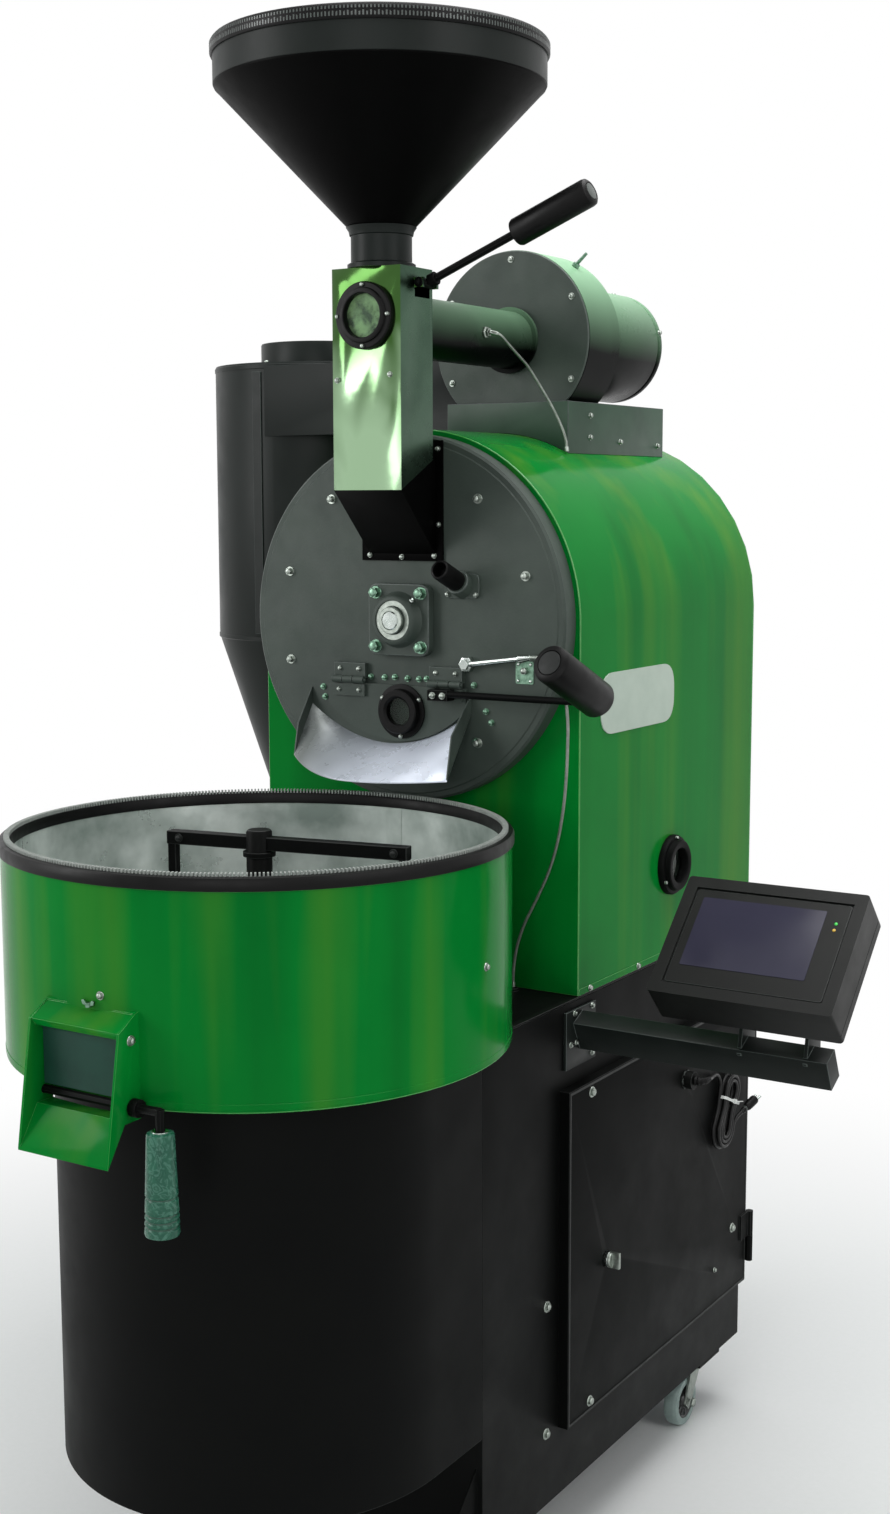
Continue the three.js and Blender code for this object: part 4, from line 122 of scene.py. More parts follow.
@dataclass(frozen=True)
class Finish:
    """A material and how its surface was made; every length is in millimetres."""

    label: str
    tint: str
    shade: str
    slot: str = ""
    patch: float = 8.0
    spread: float = 0.5
    metallic: float = 0.0
    smooth: float = 0.3
    rough: float = 0.5
    smudge: float = 35.0
    grain: float = 2.0
    relief: float = 0.01
    flow: Flow = Flow.EVEN
    wave: float = 0.0
    swell: float = 0.0
    ior: float = 1.5

    def colour(self, tree: bpy.types.NodeTree, place: bpy.types.NodeSocket) -> bpy.types.NodeSocket:
        """Lays slow patches of the second colour over the first.

        Args:
            tree: Material's node tree.
            place: Coordinates of the surface in metres.

        Returns:
            Socket with the surface colour.
        """
        patches = add_node(tree, "ShaderNodeTexNoise", inputs={
            "Vector": place, "Scale": 1.0 / (self.patch * MM), "Detail": 4.0, "Roughness": 0.55})
        amount = add_node(tree, "ShaderNodeMapRange", inputs={
            "Value": patches.outputs["Fac"], "From Min": 0.5 - self.spread / 2, "From Max": 0.5 + self.spread / 2})
        mixed = add_node(tree, "ShaderNodeMix", {"data_type": "RGBA"}, {
            "Factor": amount.outputs["Result"], 6: linear(self.tint), 7: linear(self.shade)})
        return mixed.outputs[2]

    def height(self, tree: bpy.types.NodeTree, place: bpy.types.NodeSocket) -> bpy.types.NodeSocket | None:
        """Chains the slow waviness of sheet and the fine grain into one normal.

        Args:
            tree: Material's node tree.
            place: Coordinates of the surface in metres.

        Returns:
            Socket with the bumped normal, or None for a surface without relief.
        """
        normal = None
        drawn = add_node(tree, "ShaderNodeMapping", inputs={"Vector": place, "Scale": self.flow.value})
        for size, depth, source in ((self.wave, self.swell, place), (self.grain, self.relief, drawn.outputs[0])):
            if size <= 0 or depth <= 0:
                continue
            noise = add_node(tree, "ShaderNodeTexNoise", inputs={
                "Vector": source, "Scale": 1.0 / (size * MM), "Detail": 2.0})
            bump = add_node(tree, "ShaderNodeBump", inputs={
                "Strength": 1.0, "Distance": depth * MM, "Height": noise.outputs["Fac"]})
            if normal is not None:
                tree.links.new(normal, bump.inputs["Normal"])
            normal = bump.outputs["Normal"]
        return normal

    def surface(self, tree: bpy.types.NodeTree, shader: bpy.types.Node) -> None:
        """Sets what is particular to a finish; the plain finish has nothing to add."""

    def build(self) -> bpy.types.Material:
        """Builds the material once and returns it on every later call.

        Returns:
            The material.
        """
        known = bpy.data.materials.get(self.label)
        if known is not None:
            return known
        material = bpy.data.materials.new(self.label)
        material.use_nodes = True
        tree = material.node_tree
        tree.nodes.clear()
        where = add_node(tree, "ShaderNodeTexCoord").outputs["Object"]
        smudges = add_node(tree, "ShaderNodeTexNoise", inputs={
            "Vector": where, "Scale": 1.0 / (self.smudge * MM), "Detail": 5.0, "Roughness": 0.6})
        polish = add_node(tree, "ShaderNodeMapRange", inputs={
            "Value": smudges.outputs["Fac"], "From Min": 0.3, "From Max": 0.7,
            "To Min": self.smooth, "To Max": self.rough})
        values = {"Base Color": self.colour(tree, where), "Metallic": self.metallic,
                  "Roughness": polish.outputs["Result"]}
        if self.metallic < 0.5:
            values["IOR"] = self.ior
        normal = self.height(tree, where)
        if normal is not None:
            values["Normal"] = normal
        shader = add_node(tree, "ShaderNodeBsdfPrincipled", inputs=values)
        self.surface(tree, shader)
        add_node(tree, "ShaderNodeOutputMaterial", inputs={"Surface": shader.outputs[0]})
        return material


@dataclass(frozen=True)
class StreakedEnamel(Finish):
    """Stoved gloss enamel on rolled sheet, with upright warm and deep streaks of painted reflection."""

    warm: str = "#5b8a22"
    deep: str = "#04561c"
    streak: float = 85.0

    def colour(self, tree: bpy.types.NodeTree, place: bpy.types.NodeSocket) -> bpy.types.NodeSocket:
        """Adds upright warm and deep streaks of painted reflection to the enamel's patches.

        Args:
            tree: Material's node tree.
            place: Coordinates of the surface in metres.

        Returns:
            Socket with the surface colour.
        """
        base = Finish.colour(self, tree, place)
        drawn = add_node(tree, "ShaderNodeMapping", inputs={"Vector": place, "Scale": (1.0, 1.0, 0.05)})
        result = base
        # The warm and deep streaks are painted reflections.
        for code, seed, low, high in ((self.warm, 3.7, 0.5, 0.72), (self.deep, 11.3, 0.5, 0.76)):
            noise = add_node(tree, "ShaderNodeTexNoise", {"noise_dimensions": "4D"}, {
                "Vector": drawn.outputs[0], "W": seed, "Scale": 1.0 / (self.streak * MM), "Detail": 3.0})
            amount = add_node(tree, "ShaderNodeMapRange", inputs={
                "Value": noise.outputs["Fac"], "From Min": low, "From Max": high, "To Max": 0.5})
            mixed = add_node(tree, "ShaderNodeMix", {"data_type": "RGBA"}, {
                "Factor": amount.outputs["Result"], 6: result, 7: linear(code)})
            result = mixed.outputs[2]
        return result


@dataclass(frozen=True)
class MarbledResin(Finish):
    """Cast resin whose veins wander through the handle."""

    vein: str = "#5c8c7a"
    vein_size: float = 16.0

    def colour(self, tree: bpy.types.NodeTree, place: bpy.types.NodeSocket) -> bpy.types.NodeSocket:
        """Draws pale veins where two slow noises cross.

        Args:
            tree: Material's node tree.
            place: Coordinates of the surface in metres.

        Returns:
            Socket with the surface colour.
        """
        base = Finish.colour(self, tree, place)
        veins = add_node(tree, "ShaderNodeTexNoise", inputs={
            "Vector": place, "Scale": 1.0 / (self.vein_size * MM), "Detail": 6.0, "Distortion": 1.8})
        near = add_node(tree, "ShaderNodeMath", {"operation": "PINGPONG"}, {
            0: veins.outputs["Fac"], 1: 0.12})
        amount = add_node(tree, "ShaderNodeMapRange", inputs={
            "Value": near.outputs[0], "From Min": 0.05, "From Max": 0.12, "To Max": 0.5})
        mixed = add_node(tree, "ShaderNodeMix", {"data_type": "RGBA"}, {
            "Factor": amount.outputs["Result"], 6: base, 7: linear(self.vein)})
        return mixed.outputs[2]


@dataclass(frozen=True)
class ShadedSheet(Finish):
    """Glossy sheet with painted light along an axis: its second colour at the low end runs into its first at the high
    end.
    """

    axis: str = "Z"
    low: float = 1.45
    high: float = 1.62
    sway: float = 0.16

    def colour(self, tree: bpy.types.NodeTree, place: bpy.types.NodeSocket) -> bpy.types.NodeSocket:
        """Fades the painted light from the second colour to the first along the axis, swayed by slow patches.

        Args:
            tree: Material's node tree.
            place: Coordinates of the surface in metres.

        Returns:
            Socket with the surface colour.
        """
        drawn = add_node(tree, "ShaderNodeMapping", inputs={"Vector": place, "Scale": (1.0, 1.0, 0.45)})
        noise = add_node(tree, "ShaderNodeTexNoise", inputs={
            "Vector": drawn.outputs[0], "Scale": 1.0 / (self.patch * MM), "Detail": 1.0, "Distortion": 1.2})
        parts = add_node(tree, "ShaderNodeSeparateXYZ", inputs={"Vector": place})
        bent = add_node(tree, "ShaderNodeMath", {"operation": "MULTIPLY_ADD"}, {
            0: noise.outputs["Fac"], 1: 2 * self.sway, 2: parts.outputs[self.axis]})
        amount = add_node(tree, "ShaderNodeMapRange", inputs={
            "Value": bent.outputs[0], "From Min": self.low + self.sway, "From Max": self.high + self.sway})
        mixed = add_node(tree, "ShaderNodeMix", {"data_type": "RGBA"}, {
            "Factor": amount.outputs["Result"], 6: linear(self.shade), 7: linear(self.tint)})
        return mixed.outputs[2]


@dataclass(frozen=True)
class HeatedSteel(Finish):
    """Steel that the burner has tempered to straw and blue."""

    straw: str = "#7a5f3c"
    blue: str = "#2e3648"

    def colour(self, tree: bpy.types.NodeTree, place: bpy.types.NodeSocket) -> bpy.types.NodeSocket:
        """Runs temper colours over the dull steel.

        Args:
            tree: Material's node tree.
            place: Coordinates of the surface in metres.

        Returns:
            Socket with the surface colour.
        """
        heat = add_node(tree, "ShaderNodeTexNoise", inputs={
            "Vector": place, "Scale": 1.0 / (140.0 * MM), "Detail": 3.0})
        ramp = add_node(tree, "ShaderNodeValToRGB", inputs={"Fac": heat.outputs["Fac"]})
        ramp.color_ramp.elements[0].position = 0.3
        ramp.color_ramp.elements[0].color = linear(self.tint)
        ramp.color_ramp.elements[1].position = 0.75
        ramp.color_ramp.elements[1].color = linear(self.shade)
        for position, code in ((0.48, self.straw), (0.6, self.blue)):
            ramp.color_ramp.elements.new(position).color = linear(code)
        return ramp.outputs["Color"]


@dataclass(frozen=True)
class WovenSleeve(Finish):
    """Braid or moulded sheath that follows the cord's own length and girth."""

    strand: float = 1.2
    girth: float = 12.6
    depth: float = 0.12

    def height(self, tree: bpy.types.NodeTree, place: bpy.types.NodeSocket) -> bpy.types.NodeSocket | None:
        """Crosses two sets of slanting strands on the cord's own map.

        Args:
            tree: Material's node tree.
            place: Coordinates of the surface in metres, not used here.

        Returns:
            Socket with the bumped normal.
        """
        across = add_node(tree, "ShaderNodeUVMap", {"uv_map": "Cord"})
        parts = add_node(tree, "ShaderNodeSeparateXYZ", inputs={"Vector": across.outputs[0]})
        sets = []
        for slant in (1.0, -1.0):
            sloped = add_node(tree, "ShaderNodeMath", {"operation": "MULTIPLY_ADD"}, {
                0: parts.outputs["X"], 1: slant * self.girth * MM, 2: parts.outputs["Y"]})
            turns = add_node(tree, "ShaderNodeMath", {"operation": "MULTIPLY"}, {
                0: sloped.outputs[0], 1: 2.0 * math.pi / (self.strand * MM * 2)})
            sets.append(add_node(tree, "ShaderNodeMath", {"operation": "SINE"}, {0: turns.outputs[0]}))
        top = add_node(tree, "ShaderNodeMath", {"operation": "MAXIMUM"}, {
            0: sets[0].outputs[0], 1: sets[1].outputs[0]})
        bump = add_node(tree, "ShaderNodeBump", inputs={
            "Strength": 0.9, "Distance": self.depth * MM, "Height": top.outputs[0]})
        return bump.outputs["Normal"]


@dataclass(frozen=True)
class ClearPane(Finish):
    """Clear or smoked pane with a polished face."""

    def surface(self, tree: bpy.types.NodeTree, shader: bpy.types.Node) -> None:
        """Lets light through the pane."""
        shader.inputs["Transmission Weight"].default_value = 1.0


@dataclass(frozen=True)
class LitLens(Finish):
    """Small lamp lens that glows faintly."""

    glow: float = 1.0

    def surface(self, tree: bpy.types.NodeTree, shader: bpy.types.Node) -> None:
        """Adds the lamp's own faint light."""
        shader.inputs["Emission Color"].default_value = linear(self.tint)
        shader.inputs["Emission Strength"].default_value = self.glow


# Stoved gloss enamel on rolled sheet: deep saturated green, wet reflections, faint orange peel of 3 mm, and upright
# warm and deep streaks of painted reflection
GREEN = StreakedEnamel("gloss_green_enamel", "#017429", "#087f2d", "green_paint", patch=160, smooth=0.12, rough=0.2,
    smudge=60, grain=3.2, relief=0.012, wave=70, swell=0.16, ior=1.12)
# The same enamel on rounded edges, paler and brighter: a painted highlight
GREEN_EDGE = Finish("green_edge_painted_highlight", "#3c8f3f", "#4c9c50", patch=12, smooth=0.18, rough=0.3)
# Satin powder coat: near black, soft sheen, fine pimples of 1 mm drawn at 2 mm so that they show
BLACK = Finish("satin_black_powder_coat", "#080909", "#0c0d0c", "black_paint", patch=120, smooth=0.42, rough=0.54,
    smudge=80, relief=0.02, wave=110, swell=0.1, ior=1.13)
# Dark grey of powder-coated rounded edges, a painted highlight; also the own dark grey of the door grip's end disc and
# the stirrer screws
BLACK_EDGE = Finish("dark_grey_edge_and_painted_highlight", "#1d1f1e", "#2b2d2c", "black_paint", smooth=0.35, grain=1.5, ior=1.25)
# Stoved jet lacquer on the hopper and wedge: the darkest surface, hardly any sheen
JET = Finish("jet_black_lacquer", "#020202", "#040404", "black_paint", patch=90, smooth=0.34, smudge=60, relief=0.012,
    ior=1.1)
# Satin dark grey paint on spun sheet: cool green-grey, slow sheen
GREY = Finish("satin_graphite_paint", "#141816", "#1c211f", "grey_paint", patch=140, smooth=0.32, rough=0.46,
    smudge=70, grain=2.2, relief=0.02, wave=90, swell=0.12, ior=1.22)
# Graphite paint on rounded edges: mid grey, a painted highlight
GREY_EDGE = Finish("graphite_edge_painted_highlight", "#39413e", "#4b5451", rough=0.45, grain=1.5, ior=1.35)
# Gloss graphite enamel of the fan, pipe and neck, with painted light: a green-grey painted highlight on top running
# into painted shade, nearly black, underneath
SHEEN = ShadedSheet("graphite_enamel_painted_light_and_shade", "#86b08c", "#040605", "grey_paint", patch=120, smooth=0.26, rough=0.36,
    smudge=60, grain=2.4, relief=0.012, wave=80, swell=0.12, ior=1.12, low=1.6, high=1.715, sway=0.006)
# Green-grey enamel of the fan's bracket: flat, a little lighter than the cyclone
BRACKET = Finish("green_grey_enamel", "#2c3f33", "#385040", "grey_paint", patch=90, smooth=0.32, rough=0.46, smudge=60,
    grain=2.2, relief=0.02, wave=90, swell=0.1, ior=1.3)
# Painted cast iron: sand-cast skin of 4 mm under dark grey paint
CAST = Finish("painted_cast_iron", "#353e39", "#434d46", "cast", patch=70, smooth=0.42, rough=0.6, smudge=45, grain=4,
    relief=0.16, wave=22, swell=0.1, ior=1.35)
# Rounded edge of painted iron: lighter grey, a painted highlight
CAST_EDGE = Finish("iron_edge_painted_highlight", "#505a55", "#39413d", patch=5, grain=2.5, relief=0.04)
# Dark teal of the outlet flap: painted shade inside the green hood
TEAL = Finish("dark_teal_painted_shade", "#16382f", "#1d4539", "grey_paint", patch=30, smooth=0.36, relief=0.015, ior=1.3)
# Scuffed stainless sheet of the liner: pale grey, broad soft patches that are partly scuffs and partly painted
# reflection, slow dents of 95 mm
SCUFFS_AND_PAINTED_REFLECTION = Finish("stainless_scuffs_and_painted_reflection", "#e4ebe6", "#94a19a", "stainless", patch=85, spread=0.35, metallic=0.6,
    smooth=0.24, rough=0.44, smudge=60, grain=0, wave=95, swell=0.15)
# The spout's own sheet with a painted reflection: dark grey at its left horn, running to bright and bluish towards its
# lip
SCOOP = ShadedSheet("stainless_scoop_painted_reflection", "#e2e9f5", "#666c6a", "stainless", patch=60, metallic=0.25, smooth=0.2,
    rough=0.38, smudge=40, grain=0, axis="X", low=-0.15, high=-0.02, sway=0.012)
# Mirror stainless of the chute with a painted reflection: a green room painted above, pale light painted below, mixed
# by its slow dents
MIRROR = ShadedSheet("mirror_stainless_chute_painted_reflection", "#3c5c2e", "#9cbb97", "stainless", patch=60, metallic=1, smooth=0.08,
    rough=0.2, smudge=50, grain=0.8, relief=0.002, flow=Flow.UPRIGHT, wave=44, swell=0.5)
# The chute's flank: the same sheet with painted shade, darker on the side faces
FLANK = Finish("stainless_flank_painted_shade", "#47604e", "#344a3b", patch=70, metallic=1, smooth=0.2, rough=0.34, smudge=50,
    grain=0.8, relief=0.003, flow=Flow.UPRIGHT, wave=60, swell=0.3)
# Brushed stainless sheet: polishing lines 0.5 mm apart along the rolling direction, drawn at 0.9 mm
BRUSHED = Finish("brushed_stainless_sheet", "#b9bdbb", "#a2a7a5", "stainless", patch=90, metallic=1, smooth=0.22,
    rough=0.36, smudge=60, grain=0.9, relief=0.006, flow=Flow.ROUND, wave=60, swell=0.25)
# Ground and plated steel: bright, tight glints, turning marks of 0.6 mm
BRIGHT = Finish("ground_bright_steel", "#c3cac6", "#a3aca7", "bright_steel", patch=14, metallic=1, smooth=0.14,
    rough=0.26, smudge=9, grain=0.6, relief=0.004)
# Zinc plated steel: pale, slightly cloudy with spangle of 6 mm
ZINC = Finish("zinc_plated_steel", "#a7aea7", "#7f8780", "zinc", patch=6, metallic=1, smooth=0.28, rough=0.46,
    smudge=7, grain=1.6)
# Zinc gone green-grey with roasting oil, on the bearing and the row of nuts
PATINA = Finish("oiled_green_zinc", "#86a893", "#4f6a59", "zinc", patch=5, metallic=1, smooth=0.28, rough=0.46,
    smudge=6, grain=1.6, relief=0.02)
# Heat darkened steel: dull brown-grey with temper colours
HEATED = HeatedSteel("heat_darkened_steel", "#3a3735", "#57534f", "dark_steel", patch=90, metallic=1, smooth=0.38,
    rough=0.6, smudge=30, grain=1.8, relief=0.02)
# Moulded nylon grip: deep black with fine spark-eroded grain of 0.8 mm, drawn at 1.2 mm
NYLON = Finish("moulded_black_nylon", "#060606", "#0c0c0c", "grip", patch=30, smooth=0.34, rough=0.48, smudge=18,
    grain=1.2, relief=0.02, ior=1.22)
# Pale grey nylon: a painted highlight on nylon's rounded edges and the hopper's rim ribs, and the own colour of the
# feed grip's end cap
NYLON_EDGE = Finish("pale_nylon_and_painted_highlight", "#3a403d", "#4a514d", "grip", patch=10, smooth=0.25, rough=0.35)
# Rubber rib strip of both rims: pale grey, a painted highlight on the ribs
RIBBED = Finish("rubber_ribs_painted_highlight", "#868c87", "#a3a9a3", "grip", smooth=0.4, rough=0.55, grain=1.5)
# Cast marbled resin: grey-green with soft paler veins, polished
MARBLED = MarbledResin("marbled_green_resin", "#25604a", "#1a493a", "marbled", patch=18, smooth=0.22, rough=0.34,
    smudge=15, grain=1, relief=0.006, ior=1.35)
# Painted shade in the grooves of the resin handle: dark
GROOVE = Finish("resin_groove_painted_shade", "#16382b", "#1d4534", "marbled", patch=10, rough=0.45, grain=1.5)
# Moulded ABS of the operator screen: near black, fine texture of 1 mm, drawn at 1.6 mm
ABS = Finish("moulded_dark_abs", "#0b0c0b", "#111311", "case", patch=50, smooth=0.34, rough=0.46, smudge=40, grain=1.6,
    relief=0.02, ior=1.25)
# Moulded edge of ABS: catches light
ABS_EDGE = Finish("moulded_abs_edge", "#2b302d", "#383e3b", patch=12, smooth=0.28, rough=0.4)
# Switched-off display behind glass: cool grey-violet, glossy
DISPLAY = Finish("unlit_display_glass", "#2f2e3b", "#393848", "case", patch=80, spread=1, smooth=0.08, rough=0.14,
    smudge=50, grain=0, relief=0, ior=1.25)
# Poured polyurethane tread: pale grey-green, dull, soiled in patches
TREAD = Finish("poured_polyurethane_tread", "#98aaa6", "#7f908b", "tyre", patch=14, smooth=0.42, rough=0.6, smudge=12,
    relief=0.03)
# Black moulded wheel hub
HUB = Finish("moulded_polypropylene_hub", "#141515", "#1d1f1e", "grip", patch=14, smooth=0.35, grain=1.4, relief=0.015)
# PVC mains sheath: black, slightly shiny, faint lay of the cores under it
SHEATH = WovenSleeve("pvc_cable_sheath", "#0d0d0d", "#151515", "cable", patch=20, rough=0.42, grain=1.2, ior=1.3,
    strand=9, girth=18.2, depth=0.08)
# Braided steel sleeve: fine wires crossing 1.1 mm apart
BRAID = WovenSleeve("braided_steel_sleeve", "#8b918a", "#6d736d", "braid", metallic=1, rough=0.45, grain=1.2,
    strand=1.1, depth=0.16)
# White nylon tie: translucent white, serrated
TIE = Finish("white_nylon_tie", "#dcdedb", "#cfd2ce", "grip", smooth=0.32, rough=0.42, grain=1.2, relief=0.04)
# Silkscreened plate of white acrylic, left blank
PLATE_WHITE = Finish("white_acrylic_plate", "#bccbbd", "#adbdaf", "green_paint", patch=60, smooth=0.16, rough=0.26,
    smudge=40, grain=4, relief=0.004, ior=1.3)
# Sight glass: thick clear borosilicate with a green cast
SIGHT_GLASS = ClearPane("clear_borosilicate_pane", "#d9eadf", "#cfe3d6", "black_paint", patch=30, smooth=0.02,
    rough=0.05, grain=0, relief=0, ior=1.2)
# Painted shade behind the sight glasses and in the screen's vent slots: dark brown-black
PAINTED_SHADE = Finish("painted_shade_inner_face", "#050706", "#0c0a08", "dark_steel", patch=9, smooth=0.5, rough=0.7, grain=1.5,
    relief=0.04)
# Daylit olive of the chute's inside behind its sight glass
OLIVE = Finish("olive_lit_inner_face", "#2f3b26", "#9fae84", "dark_steel", patch=14, spread=0.25, grain=1.5,
    relief=0.04)
# Green pilot lens
PILOT = LitLens("green_pilot_lens", "#39c04a", "#2fb040", patch=5, smooth=0.1, rough=0.2, grain=0, relief=0, glow=0.3)
# Amber pilot lens
AMBER = LitLens("amber_pilot_lens", "#c9a23a", "#b8912e", patch=5, smooth=0.1, rough=0.2, grain=0, relief=0, glow=0.15)

# Edge finishes paint a highlight along each finish's rounded edges.
EDGES = {GREEN.label: GREEN_EDGE, BLACK.label: BLACK_EDGE, GREY.label: GREY_EDGE, BRACKET.label: GREY_EDGE,
         CAST.label: CAST_EDGE, NYLON.label: NYLON_EDGE, ABS.label: ABS_EDGE}


# ---------------------------------------------------------------- mesh making

@dataclass
class Form:
    """A closed mesh under construction, in millimetres on the machine's floor frame."""

    mesh: bmesh.types.BMesh = field(default_factory=bmesh.new)

    def bridge(self, first: list, second: list) -> None:
        """Joins two rings of vertices with faces; a ring of one vertex is a pole.

        Args:
            first: Vertices of one ring.
            second: Vertices of the next ring.
        """
        count = max(len(first), len(second))
        if count < 2:
            return
        for k in range(count):
            n = (k + 1) % count
            corners = [first[k % len(first)], first[n % len(first)], second[n % len(second)], second[k % len(second)]]
            unique = list(dict.fromkeys(corners))
            if len(unique) > 2:
                self.mesh.faces.new(unique)

    def lathe(self, profile: Outline, base: Point, axis: Point = UP, segments: int = 96) -> "Form":
        """Turns a profile about an axis; a profile that leaves the axis open is closed into a ring.

        Args:
            profile: Pairs of radius and height along the axis.
            base: Point of the axis at height 0.
            axis: Direction of the axis.
            segments: Number of sides round the axis.

        Returns:
            This form.
        """
        along = Vector(axis).normalized()
        side = Vector((1.0, 0.0, 0.0)) if abs(along.x) < 0.9 else Vector((0.0, 1.0, 0.0))
        side = (side - along * side.dot(along)).normalized()
        up = along.cross(side)
        rings = []
        for radius, height in profile:
            centre = Vector(base) + along * height
            if radius < 1e-6:
                rings.append([self.mesh.verts.new(centre)])
                continue
            ring = []
            for k in range(segments):
                angle = 2 * math.pi * k / segments
                ring.append(self.mesh.verts.new(centre + (side * math.cos(angle) + up * math.sin(angle)) * radius))
            rings.append(ring)
        pairs = list(zip(rings, rings[1:]))
        if profile[0][0] > 1e-6 and profile[-1][0] > 1e-6:
            pairs.append((rings[-1], rings[0]))
        for first, second in pairs:
            self.bridge(first, second)
        return self

    def band(self, inner: float, outer: float, low: float, high: float, base: Point, axis: Point = UP,
             segments: int = 96) -> "Form":
        """Makes a disc, or a ring if the inner radius is more than 0, between two heights along the axis."""
        return self.lathe(rectangle(inner, outer, low, high), base, axis, segments)

    def rod(self, radius: float, start: Point, end: Point, segments: int = 32, tip: float | None = None) -> "Form":
        """Makes a round bar or a cone between two points.

        Args:
            radius: Radius at the start.
            start: First end of the axis.
            end: Second end of the axis.
            segments: Number of sides.
            tip: Radius at the end, the same as at the start if left out.

        Returns:
            This form.
        """
        along = Vector(end) - Vector(start)
        far = radius if tip is None else tip
        return self.lathe([(0, 0), (radius, 0), (far, along.length), (0, along.length)], start, along, segments)

    def ring(self, outline: Outline, axis: str, level: float) -> list[bmesh.types.BMVert]:
        """Sets the corners of a flat outline across an axis.

        Args:
            outline: Corners in the plane across the axis.
            axis: x, y or z.
            level: Place along the axis.

        Returns:
            The corners as vertices.
        """
        order = {"x": (2, 0, 1), "y": (0, 2, 1), "z": (0, 1, 2)}[axis]
        return [self.mesh.verts.new([(a, b, level)[k] for k in order]) for a, b in outline]

    def prism(self, outline: Outline, axis: str, low: float, high: float) -> "Form":
        """Pushes a flat outline along one axis.

        Args:
            outline: Corners in the plane across the axis.
            axis: x, y or z.
            low: Place of the first end.
            high: Place of the second end.

        Returns:
            This form.
        """
        lower, upper = self.ring(outline, axis, low), self.ring(outline, axis, high)
        self.mesh.faces.new(lower)
        self.mesh.faces.new(list(reversed(upper)))
        self.bridge(lower, upper)
        return self

    def wall(self, outer: Outline, inner: Outline, axis: str, low: float, high: float) -> "Form":
        """Pushes the strip between two matching closed outlines along one axis.

        Args:
            outer: Corners of the outer outline.
            inner: As many corners of the inner outline.
            axis: x, y or z.
            low: Place of the first end.
            high: Place of the second end.

        Returns:
            This form.
        """
        rings = [self.ring(line, axis, level)
                 for line, level in ((outer, low), (outer, high), (inner, high), (inner, low))]
        for k in range(4):
            self.bridge(rings[k], rings[(k + 1) % 4])
        return self

    def box(self, x0: float, x1: float, y0: float, y1: float, z0: float, z1: float) -> "Form":
        """Makes a rectangular block between its two corners."""
        return self.prism(rectangle(x0, x1, y0, y1), "z", z0, z1)

    def sheet(self, upper: list[list[Vector]], lower: list[list[Vector]]) -> "Form":
        """Closes the space between two grids of points.

        Args:
            upper: Rows of points of one face.
            lower: Rows of points of the other face.

        Returns:
            This form.
        """
        top = [[self.mesh.verts.new(p) for p in row] for row in upper]
        low = [[self.mesh.verts.new(p) for p in row] for row in lower]
        for grid in (top, low):
            for a, b in zip(grid, grid[1:]):
                for k in range(len(a) - 1):
                    self.mesh.faces.new((a[k], a[k + 1], b[k + 1], b[k]))
        for a, b in ((top[0], low[0]), (top[-1], low[-1]), ([r[0] for r in top], [r[0] for r in low]),
                     ([r[-1] for r in top], [r[-1] for r in low])):
            for k in range(len(a) - 1):
                self.mesh.faces.new((a[k], a[k + 1], b[k + 1], b[k]))
        return self

    def tube(self, line: Sequence[Vector], radius: Callable[[float], float], sides: int = 16) -> "Form":
        """Sweeps a round section along a line and lays the cord's own map on it.

        Args:
            line: Points of the middle line, in mm.
            radius: Radius at a share of the length.
            sides: Number of sides.

        Returns:
            This form.
        """
        layer = self.mesh.loops.layers.uv.get("Cord") or self.mesh.loops.layers.uv.new("Cord")
        runs = [0.0]
        for a, b in zip(line, line[1:]):
            runs.append(runs[-1] + (b - a).length)
        normal = None
        rings = []
        for i, point in enumerate(line):
            ahead = (line[min(i + 1, len(line) - 1)] - line[max(i - 1, 0)]).normalized()
            guide = normal if normal is not None else (Vector((1, 0, 0)) if abs(ahead.x) < 0.9 else Vector((0, 0, 1)))
            normal = (guide - ahead * guide.dot(ahead)).normalized()
            side = ahead.cross(normal)
            size = radius(runs[i] / runs[-1])
            rings.append([self.mesh.verts.new(point + (normal * math.cos(2 * math.pi * k / sides)
                                                       + side * math.sin(2 * math.pi * k / sides)) * size)
                          for k in range(sides)])
        for i, (a, b) in enumerate(zip(rings, rings[1:])):
            for k in range(sides):
                face = self.mesh.faces.new((a[k], a[(k + 1) % sides], b[(k + 1) % sides], b[k]))
                for loop, (u, v) in zip(face.loops, ((k, i), (k + 1, i), (k + 1, i + 1), (k, i + 1))):
                    loop[layer].uv = (u / sides, runs[v] * MM)
        for ring in (rings[0], rings[-1]):
            self.mesh.faces.new(ring)
        return self

    def move(self, matrix: Matrix) -> "Form":
        """Turns or shifts everything made so far."""
        bmesh.ops.transform(self.mesh, matrix=matrix, verts=self.mesh.verts)
        return self

    def piece(self, name: str) -> bpy.types.Object:
        """Turns the form into an object at the origin, in metres on the row's frame.

        Args:
            name: Name of the piece.

        Returns:
            The new object.
        """
        bmesh.ops.recalc_face_normals(self.mesh, faces=self.mesh.faces)
        for vert in self.mesh.verts:
            vert.co = (vert.co + FLOOR_SHIFT) * MM
        data = bpy.data.meshes.new(name)
        self.mesh.to_mesh(data)
        self.mesh.free()
        piece = bpy.data.objects.new(name, data)
        bpy.context.scene.collection.objects.link(piece)
        return piece

